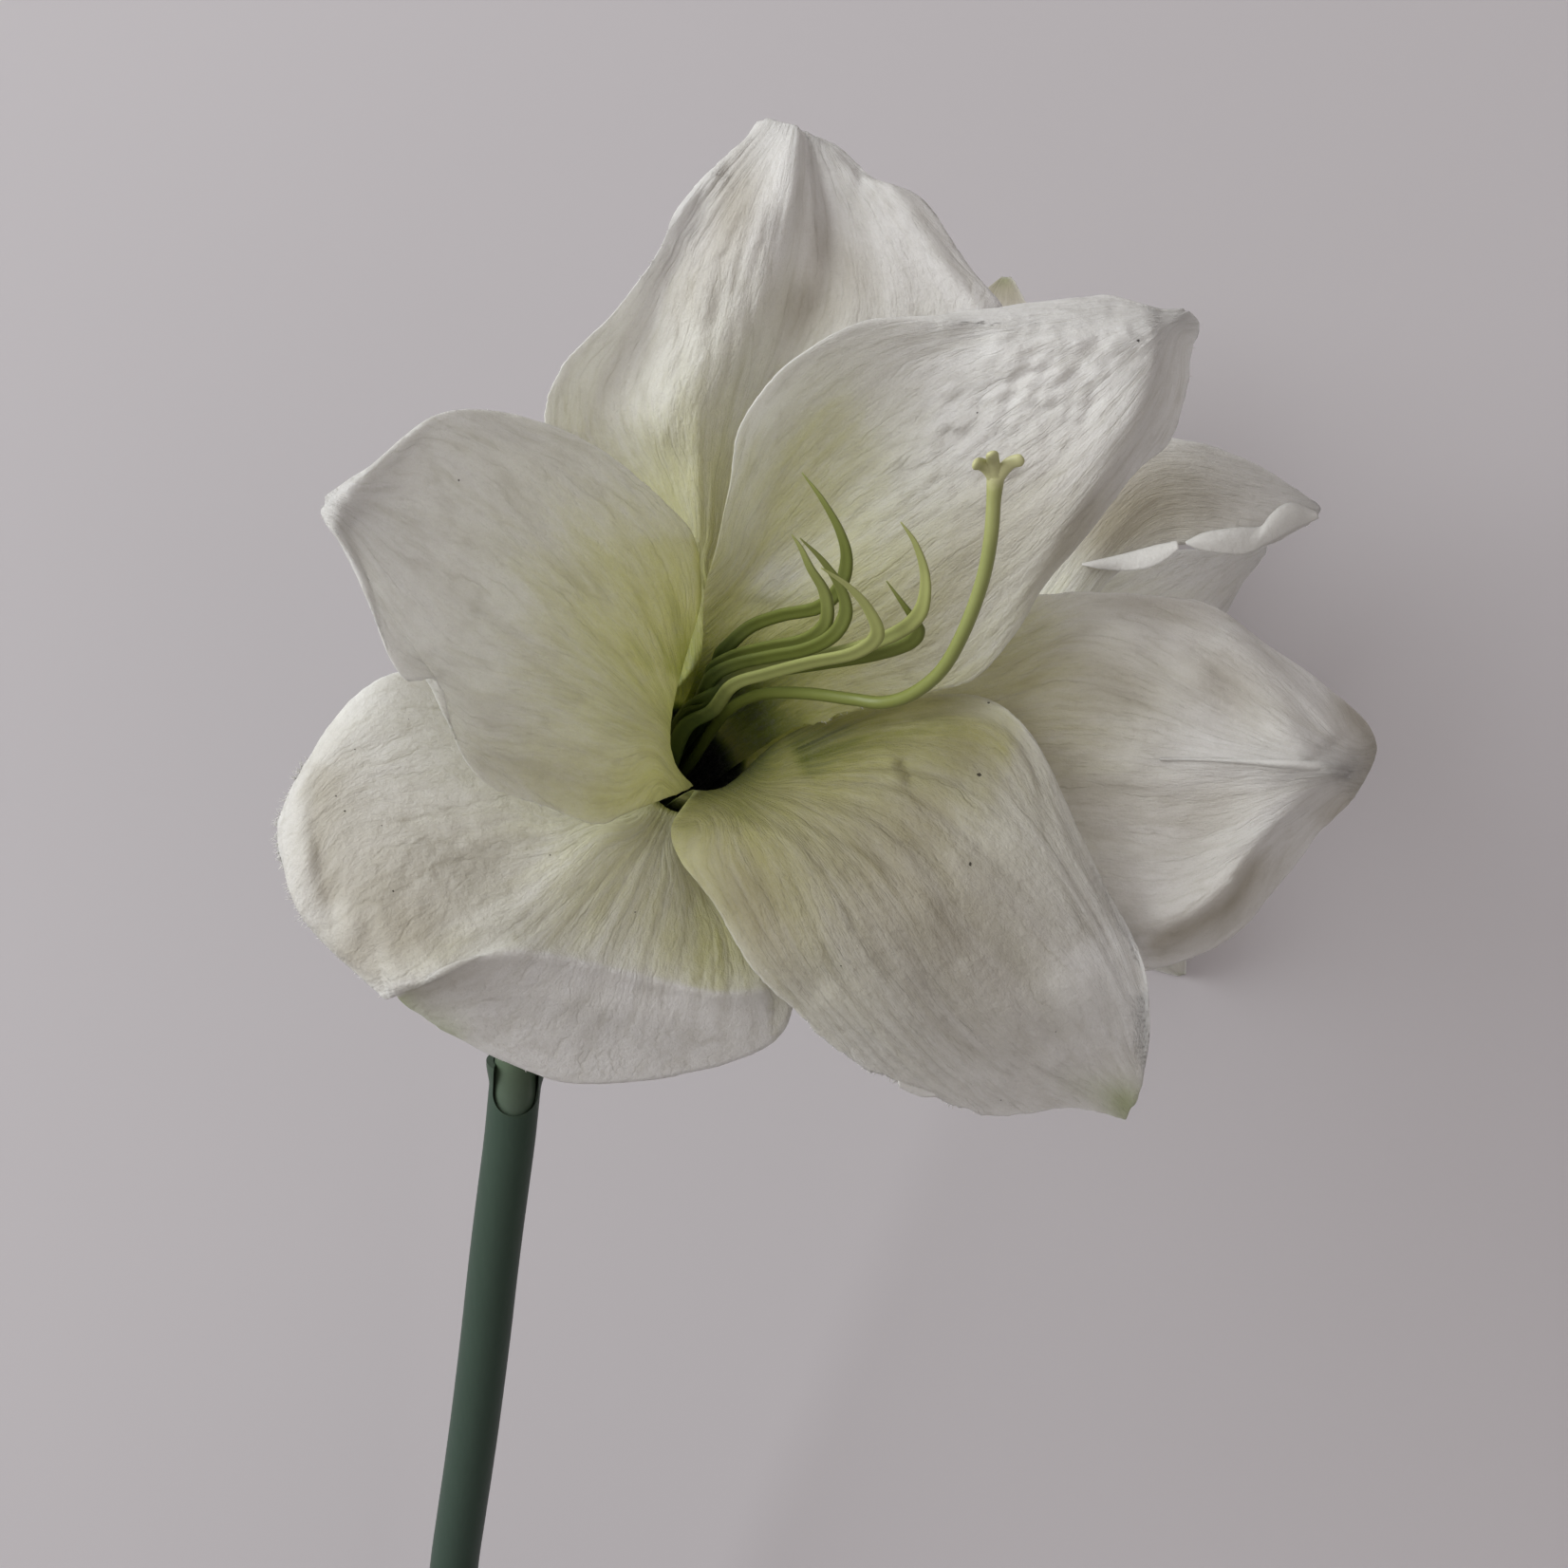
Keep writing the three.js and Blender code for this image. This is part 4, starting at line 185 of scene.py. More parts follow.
  [[-17.56,263.15,29.75], [-17.4,257.96,23.1], [-17.45,252.65,16.61], [-17.98,247.03,10.49], [-19.12,241.02,4.84], [-20.74,234.71,1.07], [-22.58,228.27,1.07]],
  [[-29.06,265.34,17.41], [-29.34,262.49,12.84], [-29.74,259.53,8.38], [-30.4,256.35,4.16], [-31.41,252.87,1.07], [-32.68,249.15,1.07], [-34.07,245.33,1.07]],
  [[-36.79,265.03,7.9], [-37.07,263.93,5.84], [-37.4,262.79,3.83], [-37.84,261.53,1.92], [-38.4,260.12,1.07], [-39.08,258.61,1.07], [-39.79,257.04,1.07]],
  [[-41.29,264.81,2.64], [-41.38,264.58,2.17], [-41.48,264.33,1.7], [-41.6,264.06,1.25], [-41.75,263.75,1.07], [-41.92,263.42,1.07], [-42.11,263.07,1.07]]],
"back_petal_under": [
  [[-6.5,175.8,75.51], [-6.07,173.77,74.2], [-5.16,171.65,73.38], [-3.85,169.6,73.1], [-2.23,167.78,73.38], [-0.43,166.33,74.2], [1.4,165.37,75.51]],
  [[5.66,186.31,63.53], [6.16,183.96,62.02], [7.21,181.5,61.06], [8.73,179.13,60.73], [10.61,177.02,61.06], [12.69,175.35,62.02], [14.82,174.23,63.53]],
  [[19.04,193.94,50.45], [19.46,191.92,50.15], [20.19,190.14,49.98], [21.19,188.57,49.92], [22.44,187.18,49.98], [23.95,185.99,50.15], [25.78,185.04,50.45]],
  [[14.47,199.82,35.42], [15.89,195.4,36.28], [17.76,191.33,36.84], [20.14,187.65,37.06], [23.07,184.38,36.91], [26.51,181.5,36.43], [30.41,178.97,35.64]],
  [[-2.71,202.19,19.96], [1.08,194.43,22.19], [5.19,186.92,23.84], [9.88,179.86,24.44], [15.3,173.34,23.74], [21.31,167.27,22], [27.64,161.44,19.67]],
  [[-19.94,190.63,8.93], [-15.82,182.89,11.31], [-11.52,175.28,13.14], [-6.83,167.97,13.77], [-1.63,161.05,12.85], [3.96,154.42,10.72], [9.72,147.92,8.06]],
  [[-35.38,175.94,9.52], [-31.09,169.87,8], [-26.87,163.75,6.76], [-22.79,157.53,6.18], [-18.89,151.17,6.43], [-15.13,144.7,7.33], [-11.43,138.19,8.52]],
  [[-44.68,161.2,1.5], [-42.47,156.95,2.29], [-40.24,152.72,2.88], [-37.95,148.54,3.04], [-35.59,144.4,2.67], [-33.18,140.31,1.87], [-30.74,136.24,1.07]],
  [[-49.19,149.68,1.07], [-48.29,147.79,1.34], [-47.38,145.92,1.62], [-46.45,144.05,1.7], [-45.51,142.2,1.55], [-44.56,140.36,1.21], [-43.6,138.52,1.07]],
  [[-51.29,143.5,1.1], [-51.06,143.01,1.2], [-50.84,142.53,1.27], [-50.62,142.04,1.3], [-50.39,141.56,1.26], [-50.16,141.08,1.18], [-49.93,140.6,1.07]]],
}
FRONT_STAMENS = [[[-32.08,177.64,195.16], [-25.34,187.4,210.14], [-20.16,196.09,223.99], [-19.78,204.66,236.77], [-16.8,208.33,241.77], [-12.78,211.24,245.77], [-6.98,212.83,251.77], [-0.11,213.65,259.77], [3.68,216.62,266.77], [4.99,221.54,270.77], [3.68,226.46,273.77], [0.33,232.13,275.77], [-3.32,236.99,275.77]],
  [[-35.19,179.84,195.56], [-28.27,188.67,210.93], [-22.33,196.51,224.84], [-21.08,202.5,237.77], [-16.75,205.2,243.77], [-9.93,206.57,251.77], [-3.18,207.32,259.77], [0.51,209.24,265.77], [1.49,211.94,269.77], [0.73,215.73,272.77], [-1.74,219.55,274.77], [-3.49,223.1,275.77], [-5.23,225.7,275.77]],
  [[-38.54,179.48,197.39], [-31.12,188.26,212.54], [-24.35,196.14,226.02], [-20.92,201.12,242.77], [-16.05,203.36,249.77], [-9.53,204.49,255.77], [-2.32,205.45,263.77], [2.55,207.71,269.77], [4.73,211.63,273.77], [3.6,216.06,276.77], [0.26,220.6,279.77], [-3.71,224.32,281.77]],
  [[-35.99,171.14,200.44], [-31.72,180.54,216.82], [-27.12,191.19,229.94], [-21.08,194.7,237.77], [-16.56,199.2,251.77], [-9.88,201.05,258.77], [-1.66,202.72,267.77], [6.2,203.94,276.77], [10.14,206.88,281.77], [8.48,211.26,284.77], [4.86,215.15,286.77], [-0.05,218.42,287.77]],
  [[-39.1,173.33,200.83], [-33.19,183.44,216.05], [-26.92,193.35,228.73], [-21.99,195.41,233.77], [-15.69,200.08,240.77], [-9.23,202.09,245.77], [-0.37,203.19,252.77], [9.31,204.19,263.77], [16.06,205.89,270.77], [18.1,208.24,274.77], [16.73,210.48,277.27], [14.58,213.29,278.77], [11.94,216.82,279.77]],
  [[-40.16,176.79,199.57], [-32.96,186.31,214.45], [-25.95,195.04,227.38], [-20.08,198.25,239.27], [-16.19,201.63,243.77], [-9.57,203.31,250.77], [-1.36,204.31,258.77], [6.46,205.13,268.77], [13.77,207.51,277.77], [17.26,210.06,282.77], [18.43,213.21,285.77], [18.3,217.75,287.77], [16.49,222.57,289.77], [13.93,226.14,290.77]]]
BACK_STAMENS = [[[5.82,171.88,81.17], [18.66,181.21,70.72], [30.34,189.45,61.49], [42.02,196.78,51.46], [53.71,204.13,43.24], [62.12,208.98,41.42], [70.4,214.24,43.38], [75.66,217.73,49.13], [78.57,219.94,56.32]],
  [[3.94,169.75,77.05], [16.64,178.91,66.28], [28.09,186.89,56.55], [39.2,193.59,45.29], [50.33,200.29,35.83], [58.84,205.01,32.22], [66.74,209.84,33.35], [71.82,213.12,38.69], [74.73,215.33,45.88]],
  [[0.19,171.95,74.59], [12.58,181.28,63.62], [23.58,189.53,53.6], [33.57,196.88,41.6], [43.57,204.25,31.4], [51.61,210.13,26.49], [58.76,215.4,27.13], [63.47,218.9,32.22], [66.38,221.1,39.41]],
  [[-1.69,176.28,76.24], [10.55,185.96,65.4], [21.33,194.72,55.58], [30.76,203.38,44.08], [40.19,212.04,34.37], [48.33,219.72,29.4], [55.1,225.86,30.37], [59.62,229.79,35.63], [62.53,231.99,42.81]],
  [[0.19,178.41,80.36], [12.58,188.26,69.84], [23.58,197.28,60.52], [33.57,206.57,50.25], [43.57,215.88,41.78], [52.93,224.69,37.48], [60.08,231.26,39.27], [64.79,235.4,44.94], [67.7,237.61,52.13]],
  [[3.94,176.21,82.82], [16.64,185.88,72.51], [28.09,194.64,63.48], [39.2,203.28,53.94], [50.33,211.92,46.21], [61.48,220.58,42.09], [69.38,226.7,44.38], [74.46,230.62,50.29], [77.37,232.83,57.48]]]
FRONT_STYLE = [[-35.32,175.43,197.89], [-27.13,183.6,212.99], [-20.95,191.87,226.56], [-17.28,195.27,237.77], [-13.37,197.12,243.77], [-8.65,197.77,250.77], [-1.56,197.21,259.77], [6.49,195.81,267.77], [11.8,195.12,271.77], [16.76,196.49,276.77], [21.69,200.51,282.77], [25.28,207.24,288.77], [28.01,215.5,293.77], [29.12,222.66,297.77], [29.42,228.95,299.77], [29.64,232.56,300.77]]
FRONT_LOBES = [[[29.64,232.07,300.77], [29.17,234.13,302.27], [28.86,235.2,303.77], [28.41,235.87,306.77]], [[29.64,232.07,300.77], [28.41,233.72,301.77], [27.02,234.54,302.77], [25.55,234.24,304.77]], [[29.64,232.07,300.77], [30.84,233.72,301.77], [32.2,234.86,302.77], [34.19,235.2,303.77]]]
BACK_STYLE = [[2.06,174.08,78.71], [14.61,183.58,68.06], [25.83,192.08,58.54], [39.22,204.11,43.99], [50.47,215.77,31.96], [62.64,226.24,23.53], [74.8,235.45,22.88], [84.78,243.02,28.9], [91.46,248.08,37.72]]
BACK_LOBES = [[[90.56,247.4,36.06], [93.46,249.59,39.64], [95.13,250.86,41.85], [96.8,252.12,44.05]], [[90.56,247.4,36.06], [91.06,250.91,39.79], [90.45,253.58,41.44], [89.08,256.31,42.27]], [[90.56,247.4,36.06], [94.08,246.93,39.79], [96.49,245.61,41.44], [98.74,243.56,42.27]]]

CAMERA = (-6.615, 180.042, 669.769)          # mm
VIEW_ANGLE = 40.0

# ---------------------------------------------------------------- small numeric tools
def unit(v):
    v = np.asarray(v, float)
    return v / np.maximum(np.linalg.norm(v, axis=-1, keepdims=True), 1e-12)


def through(P, t):
    """Catmull-Rom through the first axis of P."""
    P = np.asarray(P, float)
    n = len(P)
    Q = np.concatenate([[2 * P[0] - P[1]], P, [2 * P[-1] - P[-2]]])
    t = np.clip(np.asarray(t, float), 0, n - 1 - 1e-9)
    i = np.floor(t).astype(int)
    f = (t - i).reshape((-1,) + (1,) * (P.ndim - 1))
    p0, p1, p2, p3 = Q[i], Q[i + 1], Q[i + 2], Q[i + 3]
    return 0.5 * ((2 * p1) + (-p0 + p2) * f + (2 * p0 - 5 * p1 + 4 * p2 - p3) * f ** 2
                  + (-p0 + 3 * p1 - 3 * p2 + p3) * f ** 3)


def noise(x, y, seed):
    """Smooth lattice noise in -1..1 of two coordinates."""
    rs = np.random.RandomState(seed)
    T = rs.uniform(-1, 1, (64, 64))
    x = np.asarray(x, float) + 1000.37
    y = np.asarray(y, float) + 1000.71
    xi, yi = np.floor(x).astype(int), np.floor(y).astype(int)
    fx, fy = x - xi, y - yi
    fx = fx * fx * fx * (fx * (fx * 6 - 15) + 10)
    fy = fy * fy * fy * (fy * (fy * 6 - 15) + 10)
    a, b = T[xi % 64, yi % 64], T[(xi + 1) % 64, yi % 64]
    c, d = T[xi % 64, (yi + 1) % 64], T[(xi + 1) % 64, (yi + 1) % 64]
    return (a * (1 - fx) + b * fx) * (1 - fy) + (c * (1 - fx) + d * fx) * fy


def fbm(x, y, seed, octaves=3):
    s, a = 0.0, 1.0
    for k in range(octaves):
        s = s + a * noise(x * 2 ** k, y * 2 ** k, seed + 17 * k)
        a *= 0.5
    return s / 1.75


def smooth(a, b, x):
    t = np.clip((np.asarray(x, float) - a) / (b - a), 0, 1)
    return t * t * (3 - 2 * t)


def normals(P):
    du = np.gradient(P, axis=0)
    dv = np.gradient(P, axis=1)
    return unit(np.cross(du, dv))


FOCAL = 826 / math.tan(math.radians(VIEW_ANGLE / 2))


def seen_at(P):
    """Where a point stands in the 1652 frame of the camera above the part."""
    d = CAMERA[2] - P[..., 2]
    return 826 + (P[..., 0] - CAMERA[0]) * FOCAL / d, 826 - (P[..., 1] - CAMERA[1]) * FOCAL / d


def along_line(x, y, pts, n=56):
    """Signed distance to a smooth line (right-hand side positive) and place along it, 0..1."""
    Q = through(np.array(pts, float), np.linspace(0, len(pts) - 1, n))
    T = unit(np.gradient(Q, axis=0))
    dx, dy = x[..., None] - Q[:, 0], y[..., None] - Q[:, 1]
    k = np.argmin(dx * dx + dy * dy, axis=-1)
    dx = np.take_along_axis(dx, k[..., None], -1)[..., 0]
    dy = np.take_along_axis(dy, k[..., None], -1)[..., 0]
    s = T[k, 0] * dy - T[k, 1] * dx
    over = np.abs(T[k, 0] * dx + T[k, 1] * dy)      # past either end
    return s, k / (n - 1), over


def relief(x, y, feats, mmpp, seed):
    """Height in mm toward the viewer, from modelled ridges, valleys, bumps and crumpled zones."""
    h = np.zeros_like(x)
    for f in feats:
        kind = f[0]
        if kind == "line":          # pts, amp, left width, right width, (start fade, end fade)
            _, pts, amp, wl, wr = f[:5]
            fa, fb = f[5] if len(f) > 5 else (0.08, 0.08)
            s, t, over = along_line(x, y, pts)
            ex, ey = pts[-1][0] - pts[0][0], pts[-1][1] - pts[0][1]
            if (abs(ey) >= abs(ex) and ey > 0) or (abs(ex) > abs(ey) and ex < 0):
                s = -s               # second width is always the right-hand or lower side
            w = np.where(s > 0, wr, wl)
            c = 0.30 * np.minimum(wl, wr)
            prof = np.exp(-(np.sqrt(s * s + c * c) - c) / w)
            win = (smooth(0, fa, t) if fa > 0 else 1.0) * (smooth(1, 1 - fb, t) if fb > 0 else 1.0)
            h = h + amp * prof * win * np.exp(-(over / 25.0) ** 2)
        elif kind == "bump":        # x, y, rx, ry, angle, amp
            _, cx, cy, rx, ry, an, amp = f
            a = math.radians(an)
            u = ((x - cx) * math.cos(a) + (y - cy) * math.sin(a)) / rx
            v = (-(x - cx) * math.sin(a) + (y - cy) * math.cos(a)) / ry
            h = h + amp * np.exp(-(u * u + v * v))
        elif kind == "crumple":     # x, y, rx, ry, angle, amp, wavelength px, stretch, octaves
            _, cx, cy, rx, ry, an, amp, wl, st, oc = f
            a = math.radians(an)
            X = (x - cx) * math.cos(a) + (y - cy) * math.sin(a)
            Y = -(x - cx) * math.sin(a) + (y - cy) * math.cos(a)
            m = np.exp(-((X / rx) ** 2 + (Y / ry) ** 2) ** 1.6)
            n1 = fbm(X / (wl * st), Y / wl, seed + 300 + int(cx), oc)
            h = h + amp * m * n1
    return h


def paint(x, y, feats):
    c = np.zeros_like(x)
    for f in feats:
        if f[0] == "bump":
            c = c + relief(x, y, [f], 1, 0)
        else:
            c = c + relief(x, y, [f], 1, 0)
    return c


def add_threads(V, Fc, rng, P0, out, tang, n, length, width):
    """Loose fibres of the cut cloth edge: slim three-sided spikes that start inside the edge."""
    for i in rng.choice(len(P0), n):
        L = length * (0.35 + 0.9 * rng.rand())
        d = unit(out[i] + tang[i] * rng.uniform(-1.1, 1.1) + rng.uniform(-0.35, 0.35, 3))
        bend = unit(tang[i] * rng.uniform(-1, 1) + rng.uniform(-0.5, 0.5, 3)) * 0.30 * L
        base = P0[i] - out[i] * 0.35 + tang[i] * rng.uniform(-0.5, 0.5)
        side = unit(np.cross(d, [0.3, 0.2, 0.93]))
        nn = np.cross(d, side)
        w = width * (1.6 + 1.4 * rng.rand())
        start = len(V)
        for k, t in enumerate((0.0, 0.4, 0.75)):
            c = base + d * L * t + bend * t * t
            ww = w * (1 - 0.75 * t)
            for q in range(3):
                a = 2 * math.pi * q / 3
                V.append(c + (side * math.cos(a) + nn * math.sin(a)) * ww)
        V.append(base + d * L + bend)
        for k in range(2):
            for q in range(3):
                a, b = start + 3 * k + q, start + 3 * k + (q + 1) % 3
                Fc.append((a, b, b + 3, a + 3))
        e = start + 6
        for q in range(3):
            Fc.append((e + q, e + (q + 1) % 3, start + 9))
        Fc.append((start + 2, start + 1, start))


def grid_object(name, top, bottom, attrs, extra=None):
    """A closed sheet from two grids of the same size, with float attributes on its points."""
    nu, nv = top.shape[:2]
    N = nu * nv
    verts = np.concatenate([top.reshape(-1, 3), bottom.reshape(-1, 3)])
    idx = np.arange(N).reshape(nu, nv)
    a, b, c, d = idx[:-1, :-1], idx[1:, :-1], idx[1:, 1:], idx[:-1, 1:]
    q1 = np.stack([a, b, c, d], -1).reshape(-1, 4)
    q2 = np.stack([a, d, c, b], -1).reshape(-1, 4) + N
    e = []
    for line, flip in ((idx[:, 0], False), (idx[:, -1], True), (idx[0, :], True), (idx[-1, :], False)):
        p, q = line[:-1], line[1:]
        f = np.stack([p, p + N, q + N, q], -1)
        e.append(f[:, ::-1] if flip else f)
    faces = np.concatenate([q1, q2] + e).tolist()
    ne = 0
    if extra:
        xv, xf = extra
        ne = len(xv)
        faces = faces + [tuple(int(i) + 2 * N for i in f) for f in xf]
        verts = np.concatenate([verts, np.array(xv)])
    me = bpy.data.meshes.new(name)
    me.from_pydata((verts * MM).tolist(), [], faces)
    for k, v in attrs.items():
        at = me.attributes.new(k, "FLOAT", "POINT")
        at.data.foreach_set("value", np.concatenate([v.reshape(-1)] * 2 + [np.zeros(ne)]).astype(np.float32))
    me.update()
    ob = bpy.data.objects.new(name, me)
    bpy.context.scene.collection.objects.link(ob)
    bm = bmesh.new()
    bm.from_mesh(me)
    bmesh.ops.recalc_face_normals(bm, faces=bm.faces)
    bm.to_mesh(me)
    bm.free()
    for p in me.polygons:
        p.use_smooth = True
    return ob


def sweep(name, line, size, sides=20, steps=80, up=(0, 0, 1), groove=0.0, attrs=None):
    """A rod with an elliptical section; size(t) gives half width and half thickness in mm."""
    line = np.asarray(line, float)
    t = np.linspace(0, 1, steps + 1)
    P = through(line, t * (len(line) - 1))
    T = unit(np.gradient(P, axis=0))
    nrm = np.array(up, float)
    if abs(nrm @ T[0]) > 0.92:
        nrm = np.array([1.0, 0, 0])
    verts, N1 = [], []
    for i in range(steps + 1):
        nrm = nrm - (nrm @ T[i]) * T[i]
        nrm = nrm / np.linalg.norm(nrm)
        side = np.cross(T[i], nrm)
        w, h = size(t[i])
        for k in range(sides):
            a = 2 * math.pi * k / sides
            r = 1 - groove * max(0.0, math.sin(a)) ** 6
            verts.append(P[i] + side * w * math.cos(a) + nrm * h * math.sin(a) * r)
    verts = np.array(verts) * MM
    faces = []
    for i in range(steps):
        for k in range(sides):
            a, b = i * sides + k, i * sides + (k + 1) % sides
            faces.append((a, b, b + sides, a + sides))
    faces.append(tuple(range(sides))[::-1])
    faces.append(tuple(steps * sides + k for k in range(sides)))
    me = bpy.data.meshes.new(name)
    me.from_pydata(verts.tolist(), [], faces)
    at = me.attributes.new("pu", "FLOAT", "POINT")
    at.data.foreach_set("value", np.repeat(t, sides).astype(np.float32))
    me.update()
    ob = bpy.data.objects.new(name, me)
    bpy.context.scene.collection.objects.link(ob)
    bm = bmesh.new()
    bm.from_mesh(me)
    bmesh.ops.recalc_face_normals(bm, faces=bm.faces)
    bm.to_mesh(me)
    bm.free()
    for p in me.polygons:
        p.use_smooth = True
    return ob


def boolean(a, b, op):
    m = a.modifiers.new("b", "BOOLEAN")
    m.operation = op
    m.solver = "EXACT"
    m.object = b
    dg = bpy.context.evaluated_depsgraph_get()
    me = bpy.data.meshes.new_from_object(a.evaluated_get(dg))
    a.modifiers.clear()
    a.data = me
    bpy.data.objects.remove(b)


def autosmooth(ob, deg=38):
    me = ob.data
    for p in me.polygons:
        p.use_smooth = True
    me.set_sharp_from_angle(angle=math.radians(deg))


# ---------------------------------------------------------------- materials
class Mat:
    def __init__(self, name):
        self.m = bpy.data.materials.new(name)
        self.m.use_nodes = True
        self.t = self.m.node_tree
        self.t.nodes.clear()
        self.out = self.t.nodes.new("ShaderNodeOutputMaterial")
        self.p = self.t.nodes.new("ShaderNodeBsdfPrincipled")

    def n(self, kind, **kw):
        x = self.t.nodes.new(kind)
        for k, v in kw.items():
            setattr(x, k, v)
        return x

    def link(self, a, b):
        self.t.links.new(a, b)

    def attr(self, name):
        x = self.n("ShaderNodeAttribute", attribute_name=name)
        return x.outputs["Fac"]

    def math(self, op, a, b=None, clamp=False):
        x = self.n("ShaderNodeMath", operation=op, use_clamp=clamp)
        for i, v in enumerate((a, b)):
            if v is None:
                continue
            if isinstance(v, (int, float)):
                x.inputs[i].default_value = v
            else:
                self.link(v, x.inputs[i])
        return x.outputs[0]

    def mix(self, fac, a, b, kind="MIX"):
        x = self.n("ShaderNodeMix", data_type="RGBA", blend_type=kind)
        for i, v in ((0, fac), (6, a), (7, b)):
            if isinstance(v, (int, float)):
                x.inputs[i].default_value = v
            elif isinstance(v, tuple):
                x.inputs[i].default_value = (*v, 1.0)
            else:
                self.link(v, x.inputs[i])
        return x.outputs[2]

    def ramp(self, fac, stops, interp="LINEAR"):
        x = self.n("ShaderNodeValToRGB")
        x.color_ramp.interpolation = interp
        e = x.color_ramp.elements
        e[0].position, e[0].color = stops[0][0], (*stops[0][1], 1)
        e[1].position, e[1].color = stops[-1][0], (*stops[-1][1], 1)
        for pos, col in stops[1:-1]:
            y = e.new(pos)
            y.color = (*col, 1)
        self.link(fac, x.inputs[0])
        return x.outputs[0]

    def noise(self, scale, detail=3.0, rough=0.5, stretch=None):
        tc = self.n("ShaderNodeTexCoord")
        x = self.n("ShaderNodeTexNoise")
        x.inputs["Scale"].default_value = scale
        x.inputs["Detail"].default_value = detail
        x.inputs["Roughness"].default_value = rough
        if stretch:
            mp = self.n("ShaderNodeMapping")
            mp.inputs["Scale"].default_value = stretch
            self.link(tc.outputs["Object"], mp.inputs[0])
            self.link(mp.outputs[0], x.inputs[0])
        else:
            self.link(tc.outputs["Object"], x.inputs[0])
        return x.outputs["Fac"]

    def bump(self, height, strength, distance):
        x = self.n("ShaderNodeBump")
        x.inputs["Strength"].default_value = strength
        x.inputs["Distance"].default_value = distance
        self.link(height, x.inputs["Height"])
        return x.outputs[0]


